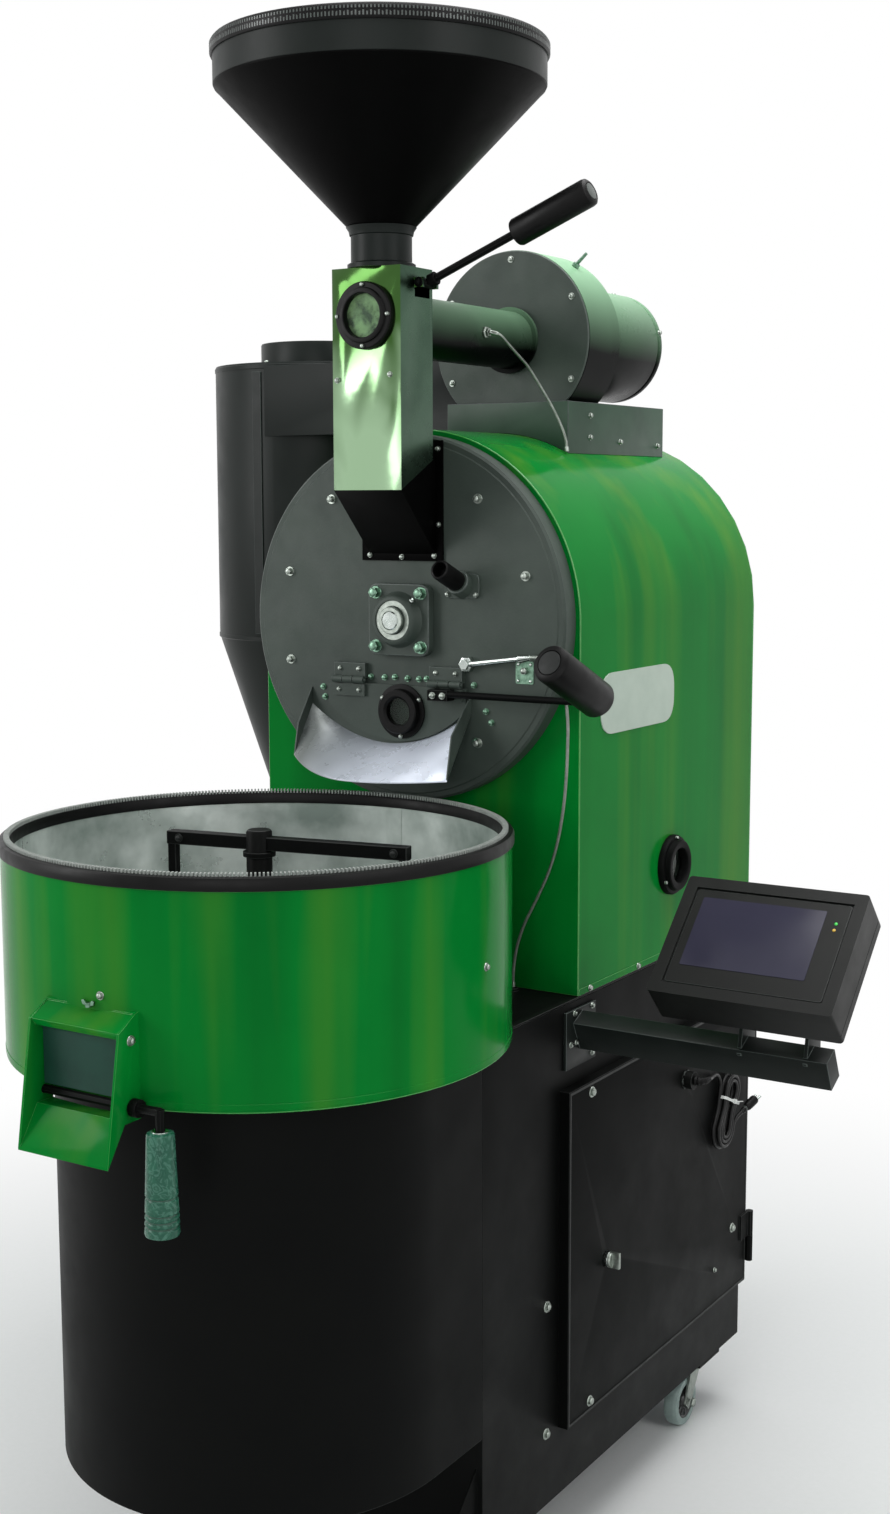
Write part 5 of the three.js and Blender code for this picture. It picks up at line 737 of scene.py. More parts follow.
    def make(self, name: str, finish: Finish, edge: float = 0.0, steps: int = 2, body: str = "frame",
             slot: str = "", cuts: Iterable["Form"] = (), solids: Sequence[str] | None = None) -> bpy.types.Object:
        """Turns the form into a finished piece, fixed to its body; NAME.look replaces the solid NAME.

        Args:
            name: Name of the piece.
            finish: Material of its faces.
            edge: Width of the rounding in mm, 0 for none.
            steps: Faces across the rounding.
            body: Name of the moving body, or frame.
            slot: Material slot of the record, the finish's own if left out.
            cuts: Shells that are cut out of it, one after the other.
            solids: Solids that the piece replaces, where its name doesn't tell.

        Returns:
            The finished piece.
        """
        piece = self.piece(name)
        for cutter in cuts:
            carve(piece, cutter)
        if solids is None:
            solids = [name.removesuffix(".look")] if name.endswith(".look") else []
        return fit(dress(piece, finish, edge, steps), body, slot or finish.slot, *solids)


def apply_all(piece: bpy.types.Object) -> bpy.types.Object:
    """Turns a piece's live modifiers into plain mesh.

    Args:
        piece: Object with modifiers.

    Returns:
        The same object.
    """
    depsgraph = bpy.context.evaluated_depsgraph_get()
    data = bpy.data.meshes.new_from_object(piece.evaluated_get(depsgraph), preserve_all_data_layers=True,
                                           depsgraph=depsgraph)
    piece.modifiers.clear()
    old = piece.data
    piece.data = data
    bpy.data.meshes.remove(old)
    return piece


def carve(piece: bpy.types.Object, cutters: Form, kind: str = "DIFFERENCE") -> bpy.types.Object:
    """Cuts the space of some closed shells out of a piece, or all that lies outside them.

    Args:
        piece: Object that is cut.
        cutters: Shells that cut it.
        kind: DIFFERENCE or INTERSECT.

    Returns:
        The cut object.
    """
    tool = cutters.piece("cutting_tool")
    cut = piece.modifiers.new("cut", "BOOLEAN")
    cut.operation, cut.solver, cut.use_self, cut.object = kind, "EXACT", kind == "DIFFERENCE", tool
    apply_all(piece)
    bpy.data.objects.remove(tool)
    return piece


def dress(piece: bpy.types.Object, finish: Finish, edge: float = 0.0, steps: int = 2) -> bpy.types.Object:
    """Rounds a piece's sharp edges and gives it its finish.

    Args:
        piece: Object to finish.
        finish: Material of its faces; its edges take the matching edge finish, a painted highlight.
        edge: Width of the rounding in mm, 0 for none.
        steps: Faces across the rounding.

    Returns:
        The finished object.
    """
    piece.data.materials.clear()
    piece.data.materials.append(finish.build())
    for face in piece.data.polygons:
        face.use_smooth = True
        face.material_index = 0
    if edge > 0:
        bevel = piece.modifiers.new("edges", "BEVEL")
        bevel.width, bevel.segments, bevel.angle_limit = edge * MM, steps, SHARP
        bevel.limit_method, bevel.harden_normals = "ANGLE", True
        # Rounded edges take the paler edge finish: a painted highlight.
        if finish.label in EDGES:
            piece.data.materials.append(EDGES[finish.label].build())
            bevel.material = 1
        apply_all(piece)
    else:
        piece.data.set_sharp_from_angle(angle=SHARP)
    return piece


def fit(piece: bpy.types.Object, body: str, slot: str, *nodes: str) -> bpy.types.Object:
    """Fixes a piece to its body and hides the solids that it stands for.

    Args:
        piece: Finished object.
        body: Name of the moving body, or frame.
        slot: Material slot of the record, not used.
        nodes: Solids that the piece replaces.

    Returns:
        The same object.
    """
    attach(piece, body)
    if nodes:
        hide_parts(*nodes)
    return piece


def recast(node: str, finish: Finish, edge: float, steps: int = 2, body: str = "frame",
           slot: str = "") -> bpy.types.Object:
    """Makes a solid's own shape again with merged faces, rounded edges and its finish.

    Args:
        node: Name of the solid.
        finish: Material of its faces.
        edge: Width of the rounding in mm.
        steps: Faces across the rounding.
        body: Body that it rides on.
        slot: Material slot of the record, the finish's own if left out.

    Returns:
        The new piece.
    """
    work = bmesh.new()
    work.from_mesh(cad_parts[node].data)
    bmesh.ops.remove_doubles(work, verts=work.verts, dist=0.02 * MM)
    bmesh.ops.dissolve_limit(work, angle_limit=math.radians(1.5), verts=work.verts, edges=work.edges)
    data = bpy.data.meshes.new(f"{node}.look")
    work.to_mesh(data)
    work.free()
    piece = bpy.data.objects.new(f"{node}.look", data)
    bpy.context.scene.collection.objects.link(piece)
    return fit(dress(piece, finish, edge, steps), body, slot or finish.slot, node)


def rectangle(a0: float, a1: float, b0: float, b1: float) -> Outline:
    """Gives the corners of a rectangle from the ends of its two sides."""
    return [(a0, b0), (a1, b0), (a1, b1), (a0, b1)]


def round_corners(corners: Outline, radius: float, steps: int = 6) -> Outline:
    """Replaces each corner of a closed outline by a smooth curve.

    Args:
        corners: Corners of the outline.
        radius: Distance from the corner at which the curve starts.
        steps: Points on each curve.

    Returns:
        The rounded outline.
    """
    result = []
    for k, corner in enumerate(corners):
        here = Vector(corner)
        before = (Vector(corners[k - 1]) - here).normalized() * radius
        after = (Vector(corners[(k + 1) % len(corners)]) - here).normalized() * radius
        for i in range(steps + 1):
            t = i / steps
            point = here + before * (1 - t) ** 2 + after * t ** 2
            result.append((point.x, point.y))
    return result


def arc(centre: tuple[float, float], radius: float, start: float, end: float, steps: int) -> Outline:
    """Gives points along an arc, both ends included, with angles in radians."""
    angles = [start + (end - start) * k / steps for k in range(steps + 1)]
    return [(centre[0] + radius * math.cos(a), centre[1] + radius * math.sin(a)) for a in angles]


def around(centre: Point, radius: float, degrees: Iterable[float], axis: str, facing: Point | None = None) -> Places:
    """Sets places on a circle across an axis.

    Args:
        centre: Centre of the circle.
        radius: Its radius.
        degrees: Angles of the places, in degrees.
        axis: x, y or z.
        facing: Direction that all of them face, outward if left out.

    Returns:
        The places.
    """
    order = {"x": (2, 0, 1), "y": (0, 2, 1), "z": (0, 1, 2)}[axis]
    places = []
    for angle in map(math.radians, degrees):
        out = [(math.cos(angle), math.sin(angle), 0)[k] for k in order]
        places.append(([c + radius * o for c, o in zip(centre, out)], facing or out))
    return places


# ---------------------------------------------------------------- repeated pieces

@dataclass
class GrownPart:
    """A repeated piece that a node tree grows on points; named inputs hold its sizes."""

    name: str
    sizes: dict[str, float]

    def start(self, label: str) -> tuple[bpy.types.NodeTree, bpy.types.Node]:
        """Makes a tree with its geometry, size and finish inputs.

        Args:
            label: Name of the tree.

        Returns:
            The tree and its input node.
        """
        tree = bpy.data.node_groups.new(label, "GeometryNodeTree")
        kinds = {name: "Int" if isinstance(value, int) else "Float" for name, value in self.sizes.items()}
        for name, kind in {"Geometry": "Geometry", **kinds, "Finish": "Material"}.items():
            tree.interface.new_socket(name=name, in_out="INPUT", socket_type=f"NodeSocket{kind}")
        tree.interface.new_socket(name="Geometry", in_out="OUTPUT", socket_type="NodeSocketGeometry")
        return tree, add_node(tree, "NodeGroupInput")

    def close(self, tree: bpy.types.NodeTree, source: bpy.types.Node, grown: bpy.types.NodeSocket) -> None:
        """Ends the tree in realised pieces with their material.

        Args:
            tree: Tree to end.
            source: Its input node.
            grown: Socket with the instances.
        """
        real = add_node(tree, "GeometryNodeRealizeInstances", inputs={"Geometry": grown})
        coated = add_node(tree, "GeometryNodeSetMaterial", inputs={
            "Geometry": real.outputs[0], "Material": source.outputs["Finish"]})
        add_node(tree, "NodeGroupOutput", inputs={"Geometry": coated.outputs[0]})

    def facing(self, tree: bpy.types.NodeTree) -> bpy.types.NodeSocket:
        """Turns the direction kept on each point into a rotation.

        Args:
            tree: Tree of the part.

        Returns:
            Socket with the rotation.
        """
        way = add_node(tree, "GeometryNodeInputNamedAttribute", {"data_type": "FLOAT_VECTOR"}, {"Name": "facing"})
        return add_node(tree, "FunctionNodeAlignRotationToVector", {"axis": "Z"}, {"Vector": way.outputs[0]}).outputs[0]

    def tree(self) -> bpy.types.NodeTree:
        """Builds the tree; each kind of part has its own."""
        raise NotImplementedError

    def grow(self, places: Iterable[tuple[Point, Point]], finish: Finish = ZINC, body: str = "frame",
             slot: str = "") -> bpy.types.Object:
        """Grows the part on its places and turns the result into a plain mesh.

        Args:
            places: Points in mm with the direction that each faces.
            finish: Material of the part.
            body: Body that it rides on.
            slot: Material slot of the record, the finish's own if left out.

        Returns:
            The finished piece.
        """
        spots = [(Vector(point), Vector(facing).normalized()) for point, facing in places]
        data = bpy.data.meshes.new(self.name)
        data.from_pydata([(p + FLOOR_SHIFT) * MM for p, _ in spots], [], [])
        ways = data.attributes.new("facing", "FLOAT_VECTOR", "POINT")
        ways.data.foreach_set("vector", [c for _, way in spots for c in way])
        piece = bpy.data.objects.new(self.name, data)
        bpy.context.scene.collection.objects.link(piece)
        tree = self.tree()
        grower = piece.modifiers.new("grow", "NODES")
        grower.node_group = tree
        values = {**self.sizes, "Finish": finish.build()}
        for item in tree.interface.items_tree:
            if item.item_type == "SOCKET" and item.in_out == "INPUT" and item.name in values:
                grower[item.identifier] = values[item.name]
        apply_all(piece)
        bpy.data.node_groups.remove(tree)
        for face in piece.data.polygons:
            face.use_smooth = True
        piece.data.set_sharp_from_angle(angle=SHARP)
        return fit(piece, body, slot or finish.slot)


class Screws(GrownPart):
    """Hexagon bolts, nuts or domed screws with washers, standing on a surface."""

    def tree(self) -> bpy.types.NodeTree:
        """Builds washer, head and dome, and sets one on each point along its facing.

        Returns:
            The tree.
        """
        tree, source = self.start("screw_tree")
        size = source.outputs
        washer = add_node(tree, "GeometryNodeMeshCone", inputs={
            "Vertices": 20, "Radius Bottom": size["Washer radius"], "Depth": size["Washer height"]})
        thinned = add_node(tree, "ShaderNodeMath", {"operation": "MULTIPLY"}, {0: size["Washer radius"], 1: 0.93})
        tree.links.new(thinned.outputs[0], washer.inputs["Radius Top"])
        head = add_node(tree, "GeometryNodeMeshCylinder", inputs={
            "Vertices": size["Sides"], "Radius": size["Head radius"], "Depth": size["Head height"]})
        half = add_node(tree, "ShaderNodeMath", {"operation": "MULTIPLY_ADD"}, {
            0: size["Head height"], 1: 0.5, 2: size["Washer height"]})
        lift = add_node(tree, "ShaderNodeCombineXYZ", inputs={"Z": half.outputs[0]})
        raised = add_node(tree, "GeometryNodeTransform", inputs={
            "Geometry": head.outputs[0], "Translation": lift.outputs[0]})
        dome = add_node(tree, "GeometryNodeMeshUVSphere", inputs={
            "Segments": 16, "Rings": 8, "Radius": size["Dome radius"]})
        top = add_node(tree, "ShaderNodeMath", {"operation": "ADD"}, {
            0: size["Head height"], 1: size["Washer height"]})
        top_place = add_node(tree, "ShaderNodeCombineXYZ", inputs={"Z": top.outputs[0]})
        flat = add_node(tree, "ShaderNodeCombineXYZ", inputs={"X": 1.0, "Y": 1.0, "Z": size["Dome share"]})
        crown = add_node(tree, "GeometryNodeTransform", inputs={
            "Geometry": dome.outputs[0], "Translation": top_place.outputs[0], "Scale": flat.outputs[0]})
        whole = add_node(tree, "GeometryNodeJoinGeometry")
        for part in (washer, raised, crown):
            tree.links.new(part.outputs[0], whole.inputs[0])
        spread = add_node(tree, "GeometryNodeInstanceOnPoints", inputs={
            "Points": size["Geometry"], "Instance": whole.outputs[0], "Rotation": self.facing(tree)})
        self.close(tree, source, spread.outputs[0])
        return tree


def screws(name: str, radius: float, height: float, sides: int = 6, washer: float = 1.5,
           dome: float = 0.35) -> Screws:
    """Gives a kind of screw in its real size.

    Args:
        name: Name of the piece.
        radius: Radius of the head, in mm.
        height: Height of the head, in mm.
        sides: 6 for a hexagon, 24 for a round head.
        washer: Washer radius as a share of the head's.
        dome: Height of the crown as a share of its radius.

    Returns:
        The part to grow.
    """
    return Screws(name, {"Sides": sides, "Head radius": radius * MM, "Head height": height * MM,
                         "Washer radius": radius * washer * MM, "Washer height": 0.9 * MM,
                         "Dome radius": radius * (0.84 if sides == 6 else 0.99) * MM, "Dome share": dome})


class RibRing(GrownPart):
    """Ribs, serrations or fins set round an axis on each point."""

    def tree(self) -> bpy.types.NodeTree:
        """Sets small blocks round a circle and turns the ring along its facing.

        Returns:
            The tree.
        """
        tree, source = self.start("rib_tree")
        size = source.outputs
        circle = add_node(tree, "GeometryNodeMeshCircle", inputs={
            "Vertices": size["Count"], "Radius": size["Circle radius"]})
        place = add_node(tree, "GeometryNodeInputPosition")
        outward = add_node(tree, "FunctionNodeAlignRotationToVector", {"axis": "X"}, {"Vector": place.outputs[0]})
        block_size = add_node(tree, "ShaderNodeCombineXYZ", inputs={
            "X": size["Rib depth"], "Y": size["Rib width"], "Z": size["Rib length"]})
        block = add_node(tree, "GeometryNodeMeshCube", inputs={"Size": block_size.outputs[0]})
        ring = add_node(tree, "GeometryNodeInstanceOnPoints", inputs={
            "Points": circle.outputs[0], "Instance": block.outputs[0], "Rotation": outward.outputs[0]})
        spread = add_node(tree, "GeometryNodeInstanceOnPoints", inputs={
            "Points": size["Geometry"], "Instance": ring.outputs[0], "Rotation": self.facing(tree)})
        self.close(tree, source, spread.outputs[0])
        return tree


def ribs(name: str, count: int, radius: float, depth: float, width: float, length: float) -> RibRing:
    """Gives a ring of ribs in its real size, in mm.

    Args:
        name: Name of the piece.
        count: Number of ribs.
        radius: Radius of the circle that they stand on.
        depth: Size outward.
        width: Size round the circle.
        length: Size along the axis.

    Returns:
        The part to grow.
    """
    return RibRing(name, {"Count": count, "Circle radius": radius * MM, "Rib depth": depth * MM,
                          "Rib width": width * MM, "Rib length": length * MM})


class PerforatedPlate(GrownPart):
    """Six-sided tiles with a hole each, which meet in a perforated plate."""

    def tree(self) -> bpy.types.NodeTree:
        """Sets a thick ring tile on each point.

        Returns:
            The tree.
        """
        tree, source = self.start("perforation_tree")
        size = source.outputs
        wall = add_node(tree, "GeometryNodeMeshCone", {"fill_type": "NONE"}, {
            "Vertices": 6, "Radius Bottom": size["Tile radius"], "Radius Top": size["Hole radius"], "Depth": 0.0})
        thick = add_node(tree, "GeometryNodeExtrudeMesh", {"mode": "FACES"}, {
            "Mesh": wall.outputs[0], "Offset Scale": size["Thickness"], "Individual": False})
        under = add_node(tree, "GeometryNodeFlipFaces", inputs={"Mesh": wall.outputs[0]})
        tile = add_node(tree, "GeometryNodeJoinGeometry")
        for part in (thick, under):
            tree.links.new(part.outputs[0], tile.inputs[0])
        spread = add_node(tree, "GeometryNodeInstanceOnPoints", inputs={
            "Points": size["Geometry"], "Instance": tile.outputs[0], "Rotation": (0.0, 0.0, math.radians(30.0))})
        self.close(tree, source, spread.outputs[0])
        return tree


# ---------------------------------------------------------------- camera

@dataclass
class PhotoCamera:
    """The photograph's viewpoint, solved on the floor frame."""

    place: Point = (1382.59, -2101.38, 1398.38)
    yaw: float = 32.12
    pitch: float = 7.61
    roll: float = -0.14
    focal_px: float = 1918.77
    height_px: float = 1514.0
    sensor: float = 36.0

    def build(self) -> None:
        """Creates the camera and makes it the scene's own."""
        yaw, pitch, roll = (math.radians(a) for a in (self.yaw, self.pitch, self.roll))
        back = Vector((math.sin(yaw) * math.cos(pitch), -math.cos(yaw) * math.cos(pitch), math.sin(pitch)))
        level = Vector((math.cos(yaw), math.sin(yaw), 0.0))
        up = back.cross(level)
        right = level * math.cos(roll) + up * math.sin(roll)
        top = up * math.cos(roll) - level * math.sin(roll)
        data = bpy.data.cameras.new("photo_camera")
        data.sensor_fit, data.sensor_width = "AUTO", self.sensor
        data.lens = self.focal_px / self.height_px * self.sensor
        data.clip_end = 100.0
        camera = bpy.data.objects.new("photo_camera", data)
        spot = (Vector(self.place) + FLOOR_SHIFT) * MM
        camera.matrix_world = Matrix.Translation(spot) @ Matrix((right, top, back)).transposed().to_4x4()
        bpy.context.scene.collection.objects.link(camera)
        bpy.context.scene.camera = camera


# ---------------------------------------------------------------- cords

def smooth_line(points: Sequence[Vector], step: float) -> list[Vector]:
    """Runs a centripetal curve through points, as the solids' cords do.

    Args:
        points: Points in mm.
        step: Distance between the points of the result.

    Returns:
        Points along the curve.
    """
    result = []
    for i in range(len(points) - 1):
        first, second = points[i], points[i + 1]
        before = points[i - 1] if i > 0 else first * 2 - second
        after = points[i + 2] if i + 2 < len(points) else second * 2 - first
        knots = [max((b - a).length ** 0.5, 1e-4) for a, b in ((before, first), (first, second), (second, after))]
        leave = ((first - before) / knots[0] - (second - before) / (knots[0] + knots[1])
                 + (second - first) / knots[1]) * knots[1]
        arrive = ((second - first) / knots[1] - (after - first) / (knots[1] + knots[2])
                  + (after - second) / knots[2]) * knots[1]
        count = max(2, round((second - first).length / step))
        for k in range(count):
            t = k / count
            result.append(first + leave * t + (second * 3 - first * 3 - leave * 2 - arrive) * t ** 2
                          + (first * 2 - second * 2 + leave + arrive) * t ** 3)
    result.append(points[-1].copy())
    return result


def length_of(line: Sequence[Vector]) -> float:
    """Adds up the stretches of a line."""
    return sum((b - a).length for a, b in zip(line, line[1:]))


@dataclass
class MainsLead:
    """Mains lead from the service door's gland, wound into a tied hank, with its plug."""

    radius: float = 2.9
    route: tuple[Point, ...] = ((276.05, 328, 579), (281, 328.6, 579), (286, 332, 578.9), (288, 338, 578.6),
        (287, 352, 577), (283, 370, 573.5), (276, 391, 569), (271.2, 409, 565.5), (269.2, 421.5, 561.8),
        (268.8, 430.6, 553.3), (268.75, 434.4, 544.6))
    hank_length: float = 118.0
    inner_half: float = 11.0
    waist_half: float = 6.5
    pitch: float = 6.7
    turns_per_layer: int = 3
    layers: int = 2
    run_share: float = 0.25
    start_share: float = 0.45
    short_turns: float = 0.6
    steps_per_turn: int = 48
    top: Point = (268.75, 452.0, 561.0)
    lean: float = 24.0
    exit_steps: int = 4
    exit_step: float = 5.5
    exit_bend: float = 20.0
    exit_lift: float = 0.3

    def loop_point(self, turns: float) -> tuple[float, float]:
        """Gives one point of the waisted loop whose turns spiral in and out.

        Args:
            turns: Number of turns from the hank's start.

        Returns:
            Places across and along the hank.
        """
        per = self.turns_per_layer
        inward = per - turns if turns < 0 else abs(per - turns % (2 * per))
        offset = self.pitch * inward
        phase = turns - math.floor(turns)
        straight = self.hank_length / 2 - self.inner_half - self.pitch * per
        wide, waist = self.inner_half + offset, self.waist_half + offset
        half_run = self.run_share / 2
        bend = 0.5 - self.run_share
        if phase < half_run:
            share = phase / half_run
            return (-(waist + (wide - waist) * share), -straight * share)
        if phase < half_run + bend:
            angle = math.pi * (phase - half_run) / bend
            return (-wide * math.cos(angle), -straight - wide * math.sin(angle))
        if phase < 0.5 + half_run:
            share = (phase - 0.5) / half_run
            return (waist + (wide - waist) * abs(share), straight * share)
        if phase < 1 - half_run:
            angle = math.pi * (phase - 0.5 - half_run) / bend
            return (wide * math.cos(angle), straight + wide * math.sin(angle))
        share = (1 - phase) / half_run
        return (-(waist + (wide - waist) * share), straight * share)

    def rise(self, turns: float) -> float:
        """Gives the height of the hank's pile at a number of turns."""
        total = 0.0
        for k in range(1, self.layers):
            share = (turns - k * self.turns_per_layer + self.run_share / 2) / self.run_share
            total += self.pitch * min(1.0, max(0.0, share))
        return total

    def on_hank(self, across: float, along: float, rise: float) -> Vector:
        """Places a point of the hank on the door.

        Args:
            across: Distance across the hank.
            along: Distance along the hank, upwards.
            rise: Distance out from the door.

        Returns:
            The point in mm.
        """
        lean = math.radians(self.lean)
        return Vector((self.top[0] + rise, self.top[1] + across * math.cos(lean) + along * math.sin(lean),
            self.top[2] - self.hank_length / 2 - across * math.sin(lean) + along * math.cos(lean)))

    def hank_line(self) -> list[Vector]:
        """Follows the hank from its first fold to the plug.

        Returns:
            Points in mm.
        """
        start = -self.run_share * self.start_share
        end = self.layers * self.turns_per_layer - self.short_turns
        steps = round((end - start) * self.steps_per_turn)
        line = []
        for i in range(steps + 1):
            turns = start + (end - start) * i / steps
            line.append(self.on_hank(*self.loop_point(turns), self.rise(turns)))
        last = line[-1]
        way = (last - line[-2]).normalized()
        aside = (self.on_hank(1, 0, self.exit_lift) - self.on_hank(0, 0, 0)).normalized()
        fine = 2
        for k in range(1, self.exit_steps * fine + 1):
            s = k * self.exit_step / fine
            line.append(last + way * s + aside * (s ** 2 / (2 * self.exit_bend)))
        heading = (way + aside * (self.exit_steps * self.exit_step / self.exit_bend)).normalized()
        line.append(line[-1] + heading * 2 * self.radius)
        return line

    def tie(self) -> bpy.types.Object:
        """Makes the toothed band round the hank's waist, with its lock.

        Returns:
            The tie.
        """
        half = self.waist_half + self.pitch * self.turns_per_layer + self.radius + 0.4
        low, high = -self.radius - 0.3, self.pitch + self.radius + 0.5
        outline = round_corners(rectangle(-half, half, low, high), 4.0, 8)
        form = Form()
        rows = []
        for level in (12.0, 16.2):
            for inset in (0.0, 1.1):
                ring = []
                for across, rise in outline:
                    middle = Vector((0.0, (low + high) / 2))
                    out = (Vector((across, rise)) - middle).normalized() * -inset
                    ring.append(form.mesh.verts.new(self.on_hank(across + out.x, level, rise + out.y)))
                rows.append(ring)
        for a, b in ((0, 2), (2, 3), (3, 1), (1, 0)):
            form.bridge(rows[a], rows[b])
        foot = [self.on_hank(across, along, high - 0.2) for across, along in rectangle(2, 8.5, 10.8, 17.4)]
        lower = [form.mesh.verts.new(p) for p in foot]
        upper = [form.mesh.verts.new(p + Vector((3.6, 0, 0))) for p in foot]
        form.mesh.faces.new(lower)
        form.mesh.faces.new(upper)
        form.bridge(lower, upper)
        form.rod(1.0, self.on_hank(5.5, 14.0, high + 2.4), self.on_hank(26.0, 18.0, high + 5.5), 8, 0.7)
        return form.make("lead_tie", TIE, 0.4, body="service_door_leaf")

    def relief(self) -> bpy.types.Object:
        """Makes the ribbed tapered sleeve where the lead leaves the gland.

        Returns:
            The sleeve.
        """
        line = smooth_line([Vector(p) for p in self.route], 1.0)
        length, cut = 0.0, 1
        while length < 30.0:
            length += (line[cut] - line[cut - 1]).length
            cut += 1
        form = Form().tube(line[:cut], lambda s: 6.4 - 3.0 * s + (0.45 if math.sin(s * 44.0) > 0 else -0.25), 24)
        return form.make("lead_strain_relief", NYLON, body="service_door_leaf")

    def plug(self, end: Vector, way: Vector) -> bpy.types.Object:
        """Makes the round plug with its two pins.

        Args:
            end: End of the lead.
            way: Direction in which the lead arrives.

        Returns:
            The plug.
        """
        body = Form().lathe([(0, SEAT), (3.6, SEAT), (4.4, 3), (4.6, 7), (4.2, 7.6), (4.9, 8.4), (4.5, 9.4),
            (5.2, 10.4), (6.6, 14), (7.0, 20), (7.0, 31), (6.4, 34), (0, 34)], end, way, 32).make("power_plug.look",
            NYLON, 0.5, body="service_door_leaf")
        pins = Form()
        for side in (-3.5, 3.5):
            foot = end + way * 33.0 + Vector((side, 0, 0))
            tip = end + way * 43.0 + Vector((side, 0, 0))
            pins.rod(1.9, foot, tip, 16)
        pins.make("power_plug_pins", BRIGHT, 0.6, body="service_door_leaf", slot="grip")
        return body

    def build(self) -> None:
        hank = self.hank_line()
        entry = hank[0] + (hank[0] - hank[1]).normalized() * SEAT
        free = smooth_line([Vector(p) for p in self.route] + [entry], 2.0)
        line = free + hank[1:]
        lead = Form().tube(line, lambda s: self.radius, 16).make("mains_lead", SHEATH, body="service_door_leaf",
            solids=["power_lead", "power_hank"])
        way = (hank[-1] - hank[-2]).normalized()
        plug = self.plug(hank[-1], way)
        tie, sleeve = self.tie(), self.relief()
        log.info("mains lead %.0f mm", length_of(line))


@dataclass
class ProbeCables:
    """Braided leads of the two temperature probes, with their end fittings."""

    radius: float = 2.0
    bean: tuple[Point, ...] = ((204.6, -24.2, 1204.1), (214, -25, 1205), (226, -22, 1200), (238, -17, 1184),
        (246, -12, 1160), (250, -10, 1128), (249, -8, 1090), (245, -4, 1050), (238, 2, 1012), (226, 8, 965),
        (211, 12, 925), (193, 13, 888), (176, 13, 855), (165, 14, 825), (160, 14, 797), (159, 14, 780),
        (159, 14, 769.1))
    exhaust: tuple[Point, ...] = ((67.3, 108, 1617.6), (73, 108.6, 1617.2), (79, 115, 1613), (82, 130, 1603),
        (84, 152, 1590), (86, 174, 1577), (92, 192, 1556), (101, 206, 1532), (110, 216, 1508), (116, 221, 1490),
        (119, 223, 1477), (120, 223.5, 1464))

    def run(self, name: str, route: tuple[Point, ...]) -> None:
        """Args:
            name: Node that it stands for.
            route: Points of its middle line.
        """
        line = smooth_line([Vector(p) for p in route], 3.0)
        lead = Form().tube(line, lambda s: self.radius, 14).make(f"{name}.look", BRAID)
        ends = Form()
        first, last = (line[4] - line[0]).normalized(), (line[-1] - line[-5]).normalized()
        ends.lathe([(0, -0.5), (3.0, -0.5), (3.0, 9), (2.5, 11), (0, 11)], line[0], first, 24)
        ends.lathe([(0, -7), (2.6, -7), (3.0, -5), (3.0, -0.2), (0, -0.2)], line[-1], last, 24)
        crimps = ends.make(f"{name}_crimps", ZINC, 0.3, slot="braid")
        log.info("%s %.0f mm", name, length_of(line))

    def build(self) -> None:
        """Builds both leads."""
        self.run("bean_probe_cable", self.bean)
        self.run("exhaust_probe_cable", self.exhaust)


# ---------------------------------------------------------------- cabinet

@dataclass
class Cabinet:
    """Black base cabinet with its deck, chaff shelf and the round skirt under the bin."""

    rear: float = 566.0
    skirt_low: float = 265.0
    skirt_high: float = 759.7
    sheet: float = 3.0
    side_screws: tuple[tuple[float, float], ...] = ((-49.4, 374.9), (-50.4, 203.1))
    bracket_screws: tuple[tuple[float, float], ...] = ((-229.6, 140.0), (-255.1, 121.0))

    def skirt_outline(self, inset: float) -> Outline:
        """Gives the skirt's round front with its straight flanks.

        Args:
            inset: Distance inside the outer face.

        Returns:
            Corners of the outline.
        """
        half = HALF_WIDTH - inset
        back = CABINET_FRONT - SEAT + (inset if inset else 0.0)
        return [(half, back)] + arc((0.0, BIN_Y), half, 0.0, -math.pi, 72) + [(-half, back)]

    def skirt(self) -> None:
        """Builds the skirt with a strip across its inside."""
        form = Form().wall(self.skirt_outline(0), self.skirt_outline(self.sheet), "z", self.skirt_low, self.skirt_high)
        form.box(-HALF_WIDTH + 3, HALF_WIDTH - 3, BIN_Y - 20, BIN_Y + 20, 652.0, 654.7)
        form.make("bin_skirt.look", BLACK, 0.8)

    def vents(self) -> None:
        """Grows the pressed vent louvres of the back wall."""
        places = [((x, self.rear + 0.5, z), UP) for x in (-110.0, 0.0, 110.0) for z in range(560, 700, 20)]
        form = Form()
        for (x, y, z), _ in places:
            form.prism([(y - 0.6, z), (y + 3.6, z), (y - 0.6, z + 9)], "x", x - 42, x + 42)
        form.make("cabinet_louvres", BLACK, 0.6)

    def build(self) -> None:
        """Builds the cabinet, its deck, louvres and screws."""
        recast("base_cabinet", BLACK, 1.2, 3)
        recast("deck_plate", BLACK, 0.8)
        self.skirt()
        self.vents()
        face = HALF_WIDTH
        places = [((face, y, z), RIGHT) for y, z in self.side_screws]
        places += [((-face, y, z), LEFT) for y, z in ((-49.4, 374.9), (-50.4, 203.1), (548.0, 700.0), (548.0, 160.0),
            (-160.0, 700.0), (140.0, 700.0))]
        places += [((239.0, y, z), RIGHT) for y, z in self.bracket_screws]
        places += [((x, self.rear, z), BACK) for x in (-225, 0, 225) for z in (130, 430, 735)]
        screws("cabinet_screws", 5.2, 2.6, 6, 1.5, 0.4).grow(places)
        log.info("cabinet, deck and skirt")


